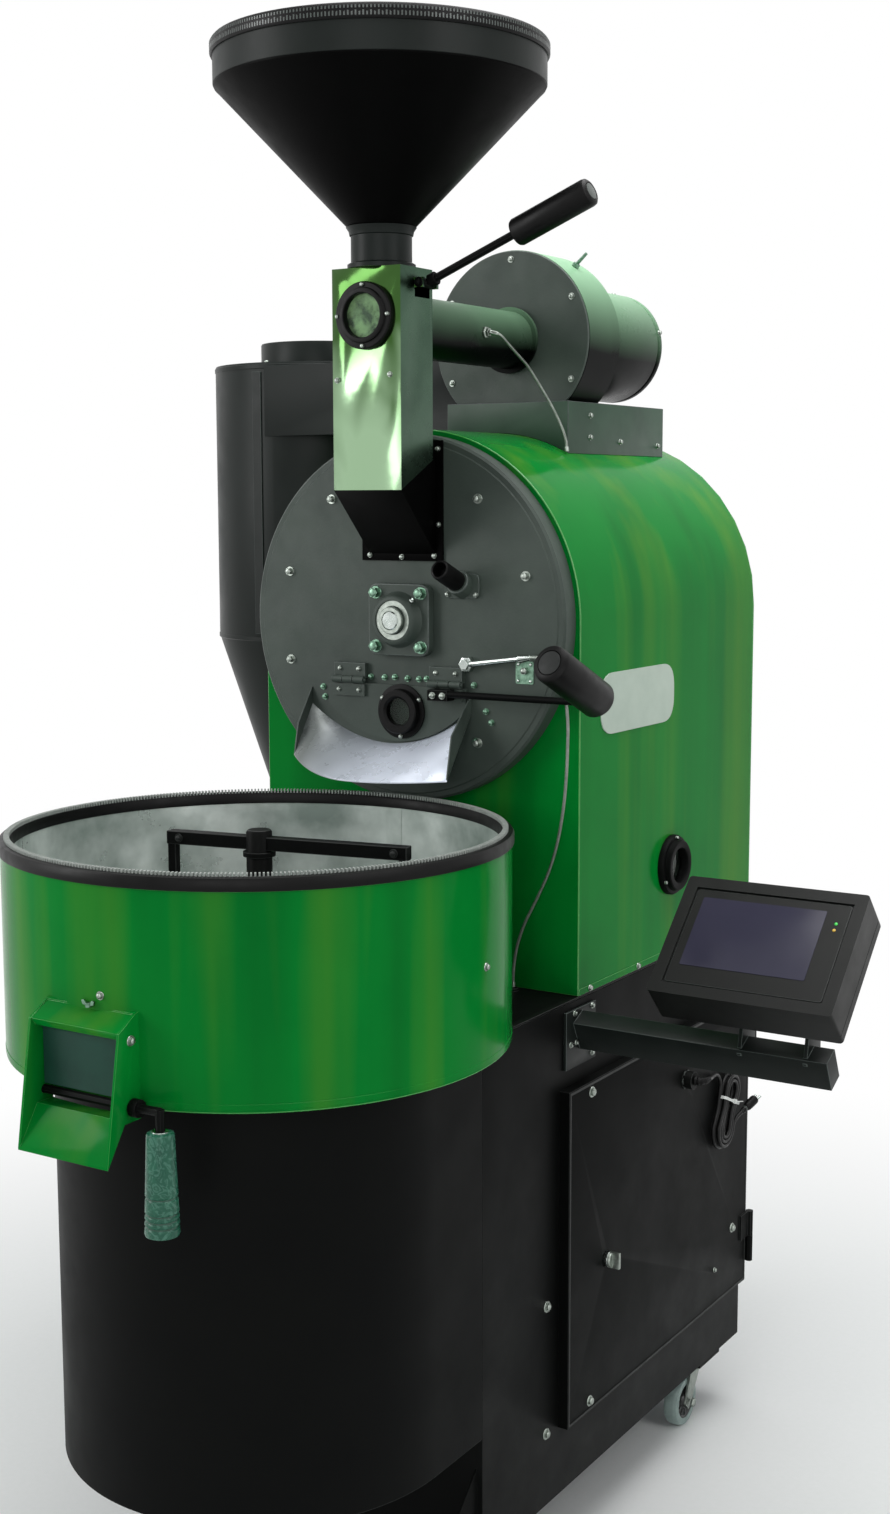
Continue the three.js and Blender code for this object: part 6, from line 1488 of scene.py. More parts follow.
@dataclass
class ServiceDoor:
    """Flat service door with its hinges, lock, gland and screws."""

    face: float = 261.75
    screws: tuple[tuple[float, float], ...] = ((41.2, 637.4), (502.2, 501.1), (41.2, 214.0), (502.2, 300.0))

    def lock(self) -> None:
        """Builds the round lock with its key slot."""
        form = Form().lathe([(0, 15.3), (10.6, 15.3), (11.0, 17.0), (11.0, 20.5), (9.8, 22.0), (9.0, 22.0),
            (8.6, 21.0), (0, 21.0)], (HALF_WIDTH, 86, 396), RIGHT, 64)
        form.box(HALF_WIDTH + 20.8, HALF_WIDTH + 24.6, 83.9, 88.1, 388.6, 403.4)
        form.rod(5, (HALF_WIDTH - 4, 86, 396), (HALF_WIDTH + 16, 86, 396), 32)
        form.make("door_lock.look", BRIGHT, 0.6, body="lock", slot="zinc", solids=[])
        recast("door_lock", ZINC, 0.5, body="lock")

    def build(self) -> None:
        """Builds the door with its dressed edge and fittings."""
        recast("service_door", BLACK, 1.6, 3, body="service_door_leaf")
        self.lock()
        # The door's fold is a thin frame of the dark grey edge finish, a painted highlight along it.
        rim = Form()
        outer, inner = (rectangle(-20 + gap, 555 - gap, 199 + gap, 652 - gap) for gap in (1.5, 5))
        rim.wall(outer, inner, "x", self.face - 0.5, self.face + 0.5)
        rim.make("service_door_fold", BLACK_EDGE, 0.4, body="service_door_leaf")
        Form().lathe([(6.6, 0), (14.6, 0), (14.6, 2.0), (12.8, 2.6), (12.8, 10.5), (11.0, 13.8), (6.6, 14.0)],
            (self.face, 328, 579), RIGHT, 6).make("lead_gland_nut", NYLON, 0.6, body="service_door_leaf")
        places = [((self.face, y, z), RIGHT) for y, z in self.screws]
        screws("door_screws", 5.0, 2.2, 24, 1.5, 0.45).grow(places, body="service_door_leaf")
        small = [((self.face, 438.8, 255.1), RIGHT), ((self.face, 476.0, 575.0), RIGHT)]
        screws("door_small_screws", 3.0, 1.6, 24, 1.3, 0.5).grow(small, body="service_door_leaf")
        log.info("service door")


@dataclass
class Casters:
    """Four swivel casters with zinc forks and pale treads."""

    places: tuple[tuple[str, float, float], ...] = (("front_left", -209, -262), ("front_right", 209, -262),
        ("rear_left", -209, 468), ("rear_right", 209, 468))
    trail: float = 30.0
    radius: float = 37.5
    width: float = 22.0

    def wheel(self, where: str, x: float, y: float) -> None:
        """Builds one wheel as a pale tread on a dark hub.

        Args:
            where: Place of the caster.
            x: Place of its kingpin.
            y: Place of its kingpin.
        """
        centre = (x - self.width / 2, y - self.trail, self.radius)
        tread = Form().lathe([(26, 0.6), (31, 0), (35.2, 0.8), (36.9, 3.2), (self.radius, 7), (self.radius, 15),
            (36.9, 18.8), (35.2, 21.2), (31, 22), (26, 21.4)], centre, RIGHT)
        body = f"wheel_{where}"
        tread.make(f"caster_tread_{where}", TREAD, body=body, solids=[f"caster_wheel_{where}"])
        Form().lathe([(5.1, -0.6), (11, -0.6), (12, 1), (14, 3.2), (22, 3.4), (25, 1.2), (26.6, 1.2), (26.6, 20.8),
            (25, 20.8), (22, 18.6), (14, 18.8), (12, 21), (11, 22.6), (5.1, 22.6)], centre, RIGHT,
            64).make(f"caster_hub_{where}", HUB, 0.4, body=body)
        fins = ribs(f"caster_spokes_{where}", 10, 18.0, 9.5, 2.2, 17.6)
        fins.grow([((x, y - self.trail, self.radius), RIGHT)], HUB, body=body)

    def build(self) -> None:
        """Builds all four casters."""
        for where, x, y in self.places:
            recast(f"caster_fork_{where}", ZINC, 0.5, body=f"swivel_{where}")
            self.wheel(where, x, y)
            cap = Form()
            for side in (-1, 1):
                cap.lathe([(0, 0), (7.2, 0), (7.2, 3.4), (5.6, 4.6), (0, 4.6)],
                    (x + side * 20.0, y - self.trail, self.radius), (side, 0, 0), 6)
            cap.make(f"caster_axle_nuts_{where}", ZINC, 0.4, body=f"swivel_{where}")
            Form().lathe([(14, 95.6), (21.5, 95.6), (22.5, 92.5), (21.5, 89.8), (14, 89.8)], (x, y, 0), UP,
                64).make(f"caster_race_{where}", BRIGHT, 0.4, body=f"swivel_{where}", slot="zinc")
            corners = [((x + a * 27, y + b * 27, 97.0), DOWN) for a in (-1, 1) for b in (-1, 1)]
            screws(f"caster_plate_nuts_{where}", 5.0, 3.0).grow(corners)
        log.info("casters")


# ---------------------------------------------------------------- cooling bin

@dataclass
class CoolingBin:
    """Round cooling bin: green outer wall, ribbed black rim, polished liner and perforated floor."""

    floor: float = 775.0
    port_half: float = 50.0
    port_top: float = 835.0
    segments: int = 144

    def port(self) -> Form:
        """Gives the space of the outlet port.

        Returns:
            The cutter.
        """
        return Form().box(-self.port_half, self.port_half, BIN_Y - BIN_RADIUS - 8, BIN_Y - 150, 778.0, self.port_top)

    def wall(self) -> None:
        """Builds the green wall with its ledge, and the rim on it."""
        form = Form()
        ring = BIN_RADIUS
        form.lathe([(225.75, 760), (ring - 1.2, 760), (ring, 761.2), (ring, 998), (ring - 3, 998), (ring - 3, 763),
            (225.75, 763)], BIN_AXIS, UP, self.segments)
        form.make("bin_wall.look", GREEN, 0.5, cuts=[self.port()])
        Form().lathe([(288.4, 998.2), (303.1, 998.2), (303.3, 1000.5), (303.3, 1009), (301.5, 1012), (298, 1013),
            (293.5, 1013), (290, 1012), (288.4, 1009.5)], BIN_AXIS, UP, self.segments).make("bin_rim_trim", NYLON)
        # The ribs' pale grey is a painted highlight on the black rim.
        teeth = ribs("bin_rim_ribs", 420, 293.0, 6.4, 1.9, 8.0)
        teeth.grow([((0, BIN_Y, 1012.4), UP)], RIBBED)

    def seam(self) -> None:
        """Builds the flat hem at the foot of the wall and the bolt heads on it."""
        Form().lathe([(300.6, 764), (301.3, 764.4), (301.3, 770), (300.6, 770.6)], BIN_AXIS, UP,
            144).make("bin_foot_hem", GREEN, cuts=[Form().box(-66, 66, -640, -560, 755, 780)])
        places = []
        for x, y, z in ((299.6, -290.4, 878), (17.0, -615.4, 878.6), (-299.0, -350.0, 878)):
            out = Vector((x, y - BIN_Y, 0)).normalized()
            places.append(((out.x * BIN_RADIUS, BIN_Y + out.y * BIN_RADIUS, z), out))
        screws("bin_wall_screws", 3.6, 2.0, 6, 1.4, 0.5).grow(places)

    def liner_wall(self) -> None:
        """Builds the polished liner."""
        Form().lathe([(273, 763.3), (291, 763.3), (291, 997.7), (289.5, 997.7), (289.5, 771.7), (273, 771.7)],
            BIN_AXIS, UP, self.segments).make("bin_liner.look", SCUFFS_AND_PAINTED_REFLECTION, cuts=[self.port()])
        lap = Form().lathe([(288.9, 776), (289.4, 775.2), (289.4, 996), (288.9, 996)], BIN_AXIS, UP, 144)
        strip = carve(lap.piece("bin_liner_seam"), Form().box(-12, 12, -40, 20, 770, 1000), "INTERSECT")
        fit(dress(strip, SCUFFS_AND_PAINTED_REFLECTION), "frame", "stainless")

    def perforated_floor(self) -> None:
        """Builds the floor: a rim ring, a hub ring and the tiles between them."""
        outer, inner, pitch = 283.0, 42.0, 11.0
        tile, step = pitch / math.sqrt(3), pitch * math.sqrt(3) / 2
        places = []
        rows = int(outer / step) + 2
        for row in range(-rows, rows + 1):
            for column in range(-28, 29):
                x, y = (column + row % 2 / 2) * pitch, row * step
                if inner - 4 < math.hypot(x, y) < outer - 3:
                    places.append(((x, BIN_Y + y, self.floor - 1.9), UP))
        plate = PerforatedPlate("bin_floor_perforation", {"Tile radius": tile * MM, "Hole radius": 3.3 * MM,
            "Thickness": 1.4 * MM})
        grown = plate.grow(places, BRUSHED)
        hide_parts("bin_floor")
        rings = Form().band(279, 288.8, 772.3, 774.6, BIN_AXIS, UP, 120)
        rings.band(12.3, 46, 772.3, 774.8, BIN_AXIS)
        rings.make("bin_floor_rings", BRUSHED, 0.3)

    def build(self) -> None:
        """Builds the bin from outside in."""
        self.wall()
        self.seam()
        self.liner_wall()
        self.perforated_floor()
        log.info("cooling bin")


@dataclass
class Stirrer:
    """Stirrer post with two arms, drop legs and scrapers, and the gearmotor under it."""

    turn: float = 9.8

    def build(self) -> None:
        """Builds the stirrer and its drive."""
        matrix = Matrix.Translation(BIN_AXIS) @ Matrix.Rotation(math.radians(self.turn), 4, "Z")
        form = Form().lathe([(0, 778), (15.5, 778), (15.5, 1009), (13.5, 1012), (0, 1012)], (0, 0, 0), UP, 64)
        form.rod(11, (0, 0, 718), (0, 0, 783), 48)
        form.box(-122, 194, -8, 8, 988, 1004)
        for x in (-116.5, 188.5):
            form.box(x - 5.5, x + 5.5, -5.5, 5.5, 778, 998)
        form.move(matrix).make("stirrer_arms.look", BLACK, 1.0, 3, body="stirrer")
        blades = Form()
        for low, high in ((-152, -7.75), (104, 262)):
            blades.prism([(low, 778), (high, 778), (high, 800), (high - 8, 806), (low + 8, 806), (low, 800)], "y",
                -1.5, 1.5)
        blades.move(matrix).make("stirrer_scrapers", BRUSHED, 0.4, body="stirrer")
        spots = [matrix @ Vector((x, -8.0, 996.0)) for x in (-105, 178)]
        spots += [matrix @ Vector((x, -1.5, 792.0)) for x in (-116.5, 188.5)]
        way = matrix.to_3x3() @ Vector(FRONT)
        screws("stirrer_screws", 3.6, 2.4).grow([(p, way) for p in spots], BLACK_EDGE, body="stirrer", slot="zinc")
        Form().band(15.3, 19.5, 980, 986, BIN_AXIS, UP, 64).make("stirrer_clamp_ring", BLACK, 0.6, body="stirrer")
        recast("stirrer_gearmotor", GREY, 1.5, 3)
        fins = ribs("stirrer_motor_fins", 28, 42.5, 4.0, 2.0, 84.0)
        fins.grow([((110.0, BIN_Y, 697.0), RIGHT)], GREY)
        log.info("stirrer")


@dataclass
class OutletHood:
    """Green outlet hood with its flap, lever and marbled grip."""

    half: float = 64.0
    shaft: tuple[float, float] = (-622.0, 766.0)
    grip_at: Point = (106.0, -627.0, 748.0)
    grip_length: float = 112.0
    grooves: tuple[float, ...] = (0.62, 0.78, 0.84, 0.9)

    def grip(self) -> None:
        """Builds the tapered grip with its turned grooves."""
        body, dark = Form(), Form()
        profile = [(5.3, 0), (12, 0), (14.2, -1.2), (15.0, -3.4)]
        growth = 4.0 / self.grip_length
        for share in self.grooves:
            along = share * self.grip_length
            wide = 15.0 + growth * along
            profile += [(wide, 2.2 - along), (wide - 1.0, 1.2 - along), (wide - 1.3, -along),
                (wide - 1.0, -1.2 - along), (wide, -2.2 - along)]
            # Dark bands of painted shade line the grooves.
            dark.band(wide - 2.4, wide - 1.15, 1.0 - along, -1.0 - along, self.grip_at, UP, 64)
        profile += [(19.0, -108.5), (18.2, -111.0), (16, -self.grip_length), (5.3, -self.grip_length)]
        body.lathe(profile, self.grip_at, UP, 72)
        body.make("gate_grip.look", MARBLED, body="outlet_lever")
        dark.make("gate_grip_grooves", GROOVE, body="outlet_lever")
        caps = Form().lathe([(0, -113.6), (4.5, -113.6), (6.2, -112.8), (6.2, -111.5), (0, -111.5)], self.grip_at, UP,
            32)
        caps.lathe([(5.2, -1), (9.5, -1), (9.5, 1.2), (5.2, 1.6)], self.grip_at, UP, 32)
        caps.make("gate_grip_ferrules", BRIGHT, 0.3, body="outlet_lever")

    def build(self) -> None:
        """Builds the hood and what moves on it."""
        recast("outlet_hood", GREEN, 0.9, 3)
        # The flap's dark teal is painted shade inside the hood.
        recast("bin_gate", TEAL, 0.4, body="outlet_flap")
        recast("gate_lever", BLACK, 0.4, body="outlet_lever")
        self.grip()
        y, z = self.shaft
        places = [((self.half + 0.2, y, 838), RIGHT), ((-self.half - 0.2, y, 838), LEFT),
            ((-self.half - 0.6, y, z), LEFT)]
        screws("hood_pivot_nuts", 4.0, 2.6).grow(places)
        wing = Form().rod(3.4, (3, -619, 865.0), (3, -619, 870.0), 24)
        for side in (-1, 1):
            wing.prism([(3 + side * 2, 866), (3 + side * 8, 868), (3 + side * 9, 872), (3 + side * 6, 873),
                (3 + side * 2, 869)], "y", -620.2, -617.8)
        wing.make("hood_wing_nut", PATINA, 0.4)
        log.info("outlet hood")


# ---------------------------------------------------------------- housing and drum face

@dataclass
class Housing:
    """Arched green jacket of the drum, its rear panel, peephole and blank badge plate."""

    bottom: float = 764.8
    front: float = 29.0
    rear: float = 574.7
    mouth: float = 223.0
    peep: tuple[float, float] = (300.0, 894.0)
    badge: tuple[float, float] = (192.0, 1137.0)

    def arch(self, inset: float, low: float) -> Outline:
        """Gives the arched outline.

        Args:
            inset: Distance inside the outer face.
            low: Height of its foot.

        Returns:
            Corners of the outline.
        """
        half = HALF_WIDTH - inset
        return [(half, low)] + arc((0.0, DRUM_Z), half, 0.0, math.pi, 72) + [(-half, low)]

    def shell(self) -> None:
        """Builds the jacket with its round mouth and the peephole's opening."""
        form = Form().prism(self.arch(0, self.bottom), "y", self.front, self.rear)
        hollow = Form().prism(self.arch(3, self.bottom - 5), "y", self.front + 3, self.rear + 5)
        holes = Form().band(0, self.mouth, -5, 60, DRUM_AXIS, BACK, 120)
        holes.band(0, 24, -12, 8, (HALF_WIDTH, *self.peep), RIGHT, 64)
        form.make("housing_shell.look", GREEN, 2.2, 4, cuts=(hollow, holes))

    def seams(self) -> None:
        """Builds the jacket's folded foot, the screws along it and the screws at its rear."""
        form = Form()
        for side in (-1, 1):
            low, high = sorted((side * (HALF_WIDTH - 0.5), side * (HALF_WIDTH + 0.8)))
            form.box(low, high, self.front + 2, self.rear - 2, self.bottom + 0.4, self.bottom + 9)
        form.make("housing_foot_hem", GREEN, 0.4)
        places = [((side * (HALF_WIDTH + 0.8), y, self.bottom + 5), (side, 0, 0)) for side in (-1, 1)
            for y in (60, 200, 340, 480, 555)]
        screws("housing_foot_screws", 3.4, 1.2, 24, 1.3, 0.5).grow(places)
        back = around((0, 578, DRUM_Z), 225, (22.5 * k for k in range(9)), "y", BACK)
        back += [((x, 578.0, z), BACK) for x in (-225, 225) for z in (800, 950, 1100)]
        screws("housing_rear_screws", 4.0, 1.8, 24, 1.4, 0.5).grow(back)

    def peephole(self) -> None:
        """Builds the peephole's ring with its glass."""
        Form().lathe([(24, 0), (42, 0), (42, 5), (40.5, 8), (36, 8.6), (35, 15), (33.6, 16), (27, 16), (25, 15),
            (24, 12)], (HALF_WIDTH + SEAT, *self.peep), RIGHT).make("peephole.look", BLACK)
        Form().band(0, 24.2, 3, 6, (HALF_WIDTH, *self.peep), RIGHT, 64).make("peephole_glass", SIGHT_GLASS)
        Form().band(0, 25, -2, 1, (HALF_WIDTH, *self.peep), RIGHT, 64).make("peephole_shade", PAINTED_SHADE)
        places = around((HALF_WIDTH + 8.2, *self.peep), 38.5, (90, 210, 330), "x", RIGHT)
        screws("peephole_screws", 2.4, 1.6, 24, 1.1, 0.5).grow(places)

    def plate(self) -> None:
        """Builds the blank badge plate with rounded ends."""
        y, z = self.badge
        outline = round_corners(rectangle(y - 109, y + 109, z - 40, z + 40), 34, 12)
        Form().prism(outline, "x", HALF_WIDTH - 0.4, HALF_WIDTH + 1.6).make("badge_plate", PLATE_WHITE, 0.5)

    def build(self) -> None:
        """Builds the housing from its sheet to its badge plate."""
        self.shell()
        self.seams()
        recast("housing_rear_panel", GREEN, 0.8)
        self.peephole()
        self.plate()
        log.info("housing")


@dataclass
class DrumFace:
    """Cast front plate with its bolts, tag, sampler sleeve, hinges, bearing and probe."""

    radius: float = 240.0
    depth: float = 28.7
    bolt_circle: float = 193.0
    bearing: float = 94.0

    def door_outline(self, inset: float) -> Outline:
        """Gives the outline of the discharge door, curved below.

        Args:
            inset: Distance inside the door's edge.

        Returns:
            Corners of the outline.
        """
        radius = (108.0 ** 2 + 46.0 ** 2) / 92.0
        spread = math.asin(108.0 / radius) - inset / radius
        curve = arc((-10.0, 1084.0 + radius), radius - inset, -QUARTER - spread, -QUARTER + spread, 40)
        top = 1163.0 - 5 + SEAT - inset
        return [(-118.0 + inset, top)] + curve + [(98.0 - inset, top)]

    def plate(self) -> None:
        """Builds the plate with its ports and turned rim."""
        form = Form().lathe([(13.5, 0), (self.radius - 11, 0), (self.radius - 9.5, 1.4), (self.radius - 7, 1.4),
            (self.radius - 3, 1.4), (self.radius, 4.5), (self.radius, self.depth), (13.5, self.depth)], DRUM_AXIS,
            BACK, 144)
        cutter = Form().prism(self.door_outline(14), "y", -5, 40).box(-46, 46, -5, 40, 1335, 1422)
        cutter.band(0, 10, -60, 60, SAMPLER_FOOT, SAMPLER_WAY, 48)
        form.make("front_plate.look", CAST, 0.8, cuts=[cutter])

    def fittings(self) -> None:
        """Builds the flanges, hinge halves, probe and blank tag on the plate."""
        form = Form().lathe([(10, -14), (16, -14), (16, 14.6), (15, 16), (10, 16)], SAMPLER_FOOT, SAMPLER_WAY, 64)
        flange = round_corners(rectangle(65, 117, 1274, 1306), 9, 5)
        form.prism(flange, "y", -3, 1)
        for x in HINGES:
            form.box(x - 25, x + 25, -7.5, 1, 1165.0, 1185.0)
            for side in (-1, 1):
                form.rod(5, (x + side * 25, -10, 1163), (x + side * 8.8, -10, 1163), 32)
            form.rod(2.2, (x - 27, -10, 1163), (x + 27, -10, 1163), 24)
        form.make("plate_fittings", CAST, 0.7)
        probe = Form().lathe([(0, -1), (11, -1), (11, 8), (10, 9.5), (7, 10), (7, 14), (0, 14)], (100, 0, 1190), FRONT,
            6)
        probe.rod(4, (100, -7, 1190), (196, -22.5, 1203), 32)
        probe.rod(6.2, (188, -21.2, 1201.9), (205.0, -24.2, 1204.1), 32, 3.2)
        probe.make("bean_probe", BRIGHT, 0.4)
        tag = Form().prism(round_corners(rectangle(170, 196, 1168, 1197), 3, 4), "y", -1.2, 0.4)
        tag.make("blank_tag", PATINA, 0.3)
        tag_pins = [((x, -1.2, z), FRONT) for x in (174, 192) for z in (1172, 1193)]
        screws("tag_rivets", 1.8, 0.6, 24, 1.1, 0.5).grow(tag_pins, BRIGHT)

    def fasteners(self) -> None:
        """Grows the ring of bolts and the small nuts of the plate."""
        ring = around(DRUM_AXIS, self.bolt_circle, (18 + 36 * k for k in range(10) if k != 2), "y", FRONT)
        screws("plate_bolts", 4.6, 5.0, 6, 1.45, 0.4).grow(ring)
        small = [(-130, 1150), (-127, 1136.5), (108, 1163), (126, 1130), (110, 1091), (134, 1116), (-52, 1167),
            (-30, 1167), (-14, 1168), (6, 1167), (24, 1167), (36, 1168)]
        screws("plate_small_nuts", 3.4, 3.0, 6, 1.3, 0.4).grow([((x, 0.0, z), FRONT) for x, z in small], PATINA)
        flange = [((69.7, -3.0, 1279), FRONT), ((112.3, -3.0, 1279), FRONT)]
        screws("sampler_flange_screws", 3.0, 1.8, 24, 1.2, 0.5).grow(flange)
        leaf = [((x + d, -7.5, 1177.0), FRONT) for x in HINGES for d in (-15, 15)]
        screws("hinge_upper_screws", 2.8, 1.4, 24, 1.2, 0.5).grow(leaf)

    def bearing_unit(self) -> None:
        """Builds the four-bolt flanged bearing and the shaft end."""
        half = self.bearing / 2
        outline = round_corners(rectangle(-half, half, DRUM_Z - half, DRUM_Z + half), 16, 8)
        Form().prism(outline, "y", -13, -SEAT).make("front_bearing.look", CAST, 1.6, 3,
            cuts=[Form().band(0, 13.5, -5, 40, DRUM_AXIS, FRONT, 48)])
        Form().lathe([(13.5, 12), (38, 12), (35, 15), (33, 24), (31, 27), (28.5, 28), (26, 28), (25.4, 25.5),
            (19, 25.5), (18.4, 28), (13.5, 28)], DRUM_AXIS, FRONT).make("bearing_boss", CAST)
        Form().band(19, 25.5, 25.0, 26.4, DRUM_AXIS, FRONT, 64).make("bearing_seal", ZINC)
        bolts = [((a * 35, -13.0, DRUM_Z + b * 35), FRONT) for a in (-1, 1) for b in (-1, 1)]
        screws("bearing_bolts", 6.8, 7.0, 6, 1.3, 0.3).grow(bolts, PATINA)
        Form().lathe([(0, 0), (3.2, 0), (3.2, 4), (2.2, 5), (2.6, 7), (0, 8)], (24, -19, DRUM_Z + 24),
            (0.6, -0.5, 0.6), 24).make("grease_nipple", BRIGHT)
        Form().lathe([(0, -34), (10.8, -34), (12.5, -32.3), (12.5, 690), (0, 690)], DRUM_AXIS, BACK,
            64).make("drum_shaft.look", BRIGHT, body="drum")
        Form().lathe([(12.6, 28.4), (17.6, 28.4), (17.6, 32.2), (16.8, 33), (12.6, 33)], DRUM_AXIS, FRONT,
            64).make("shaft_lock_collar", ZINC, body="drum", slot="bright_steel")

    def build(self) -> None:
        """Builds the face and what lies behind it."""
        self.plate()
        self.fittings()
        self.fasteners()
        self.bearing_unit()
        recast("drum_casing", HEATED, 0.0)
        recast("roasting_drum", HEATED, 0.6, body="drum")
        recast("burner", HEATED, 0.4)
        log.info("drum face")


@dataclass
class Discharge:
    """Discharge door with its sight ring, cranked lever and grip, and the spout below it."""

    pivot: tuple[float, float] = (-10.0, 1163.0)
    rod_end: Point = (306.0, -24.0, 1152.0)
    grip_rise: float = 26.0
    grip_turn: float = 4.0

    def along_grip(self, along: float) -> Point:
        """Gives a point on the grip's axis."""
        rise, turn = math.radians(self.grip_rise), math.radians(self.grip_turn)
        x, y, z = self.rod_end
        return (x - along * math.cos(rise) * math.sin(turn), y - along * math.cos(rise) * math.cos(turn),
            z + along * math.sin(rise))

    def door(self) -> None:
        """Builds the leaf, hinge barrels and the sight ring."""
        y, z = self.pivot
        form = Form().prism(DrumFace().door_outline(0), "y", -SEAT - 5, -SEAT)
        for x in HINGES:
            form.box(x - 25, x + 25, -9.3, -3, z - 22, z - 6.2)
            form.rod(5, (x - 7.8, y, z), (x + 7.8, y, z), 32)
            form.box(x - 7.5, x + 7.5, -9.3, -5.0, z - 8, z - 1)
        hole = Form().band(0, 18, -5, 40, DOOR_SIGHT, FRONT, 48)
        form.make("discharge_door.look", CAST, 0.6, body="discharge", cuts=[hole])
        Form().lathe([(18, 5), (36, 5), (36, 8), (30, 8.6), (29, 17.0), (27.4, 18.2), (21, 18.2), (18, 15.5)],
            DOOR_SIGHT, FRONT).make("door_sight_ring", NYLON, body="discharge")
        pane = Form().band(0, 18.3, 9, 12, DOOR_SIGHT, FRONT, 48)
        pane.make("door_sight_glass", SIGHT_GLASS, body="discharge", slot="dark_steel")
        # A dark disc of painted shade behind the door's sight glass.
        Form().band(0, 18.4, 1, 3, DOOR_SIGHT, FRONT, 48).make("door_sight_painted_shade", PAINTED_SHADE, body="discharge")
        places = around((0, -8, 1124), 33, (-90, 30, 150), "y", FRONT)
        places += [((x + d, -9.3, z - 14), FRONT) for x in HINGES for d in (-16, 16)]
        screws("door_ring_screws", 2.6, 1.4, 24, 1.2, 0.5).grow(places, body="discharge")

    def lever(self) -> None:
        """Builds the rod with its block and the moulded grip."""
        form = Form().box(54, 84, -28.5, -9.8, 1143, 1157)
        form.rod(4.5, (60, -24, 1152), self.rod_end, 32)
        form.rod(4.5, (self.rod_end[0], self.rod_end[1] + 2.25, self.rod_end[2] - 1.1), self.along_grip(72), 32)
        form.rod(7.0, (self.rod_end[0] - 8, -24, 1152), (self.rod_end[0] + 4, -24, 1152), 32)
        form.make("door_lever.look", BLACK, 0.5, body="discharge")
        start, end = self.along_grip(10), self.along_grip(134)
        way = Vector(end) - Vector(start)
        Form().lathe([(4.8, 0), (17, 0), (21.6, 1.4), (23.5, 5), (23.5, 117), (22.6, 120.5), (19.5, 123), (16, 123.6),
            (15, 122.4), (0, 122.4)], start, way, 72).make("door_grip.look", NYLON, body="discharge")
        Form().lathe([(0, 122.2), (14.6, 122.2), (14.6, 123.6), (13.4, 124), (0, 124)], start, way,
            48).make("door_grip_end", BLACK_EDGE, body="discharge", slot="grip")
        nuts = [((62.0, -28.5, 1150.0), FRONT), ((77.0, -28.5, 1150.0), FRONT)]
        screws("door_lever_screws", 3.6, 2.4, 6, 1.3, 0.4).grow(nuts, body="discharge")

    def spout_point(self, side: float, run: float, drop: float) -> Vector:
        """Gives a point on the dished spout.

        Args:
            side: Place across, -1 at the left and 1 at the right.
            run: Place from the plate to the lip, 0 to 1.
            drop: Distance under the upper face.

        Returns:
            The point in mm.
        """
        left, right = max(0.0, -side), max(0.0, side)
        back_z = 1080 + 48 * side ** 2
        lip_z = 1042 + 20 * left ** 2 + 4 * right ** 2
        reach = 98 - 56 * left ** 2 - 38 * right ** 2
        return Vector((-23 + 127 * side, -SEAT - reach * run, back_z + (lip_z - back_z) * run - drop))

    def spout(self) -> None:
        """Builds the polished scoop with its two dark cheeks."""
        rows, columns = 12, 48
        grids = []
        for drop in (0.0, 2.0):
            grids.append([[self.spout_point(2 * i / columns - 1, j / rows, drop) for j in range(rows + 1)]
                for i in range(columns + 1)])
        # The spout's sheet carries a painted reflection, dark at its left horn.
        Form().sheet(grids[0], grids[1]).make("spout.look", SCOOP, 0.4)
        cheeks = Form()
        for x, reach, lip in ((-150.0, 42.0, 1062.0), (102.0, 60.0, 1046.0)):
            cheeks.prism([(-SEAT, 1124), (-SEAT, 1150), (-SEAT - reach * 0.8, 1102), (-SEAT - reach, lip),
                (-SEAT - reach, lip - 2)], "x", x, x + 2)
        cheeks.make("spout_cheeks", CAST, 0.4, slot="stainless")

    def build(self) -> None:
        """Builds door, lever and spout."""
        self.door()
        self.lever()
        self.spout()
        log.info("discharge door and spout")


@dataclass
class Sampler:
    """Trier: a scooped rod with a hollow-ended knob, leaning out of its sleeve."""

    def build(self) -> None:
        """Builds the trier."""
        form = Form().band(0, 9, -120, 17, SAMPLER_FOOT, SAMPLER_WAY, 48)
        knob = Form().lathe([(0, 16.3), (11, 16.3), (13, 18), (13, 58), (12.2, 61), (10.6, 62), (9.6, 61), (9.4, 42),
            (0, 41)], SAMPLER_FOOT, SAMPLER_WAY, 64)
        scoop = Form().box(-9, 9, 50, 125, 3, 18).move(Matrix.Translation(SAMPLER_FOOT)
            @ Matrix.Rotation(-SAMPLER_TILT, 4, "X"))
        form.make("sampler.look", BRUSHED, body="trier", slot="dark_steel", cuts=[scoop])
        knob.make("sampler_knob", NYLON, body="trier")
        log.info("sampler")


# ---------------------------------------------------------------- feed

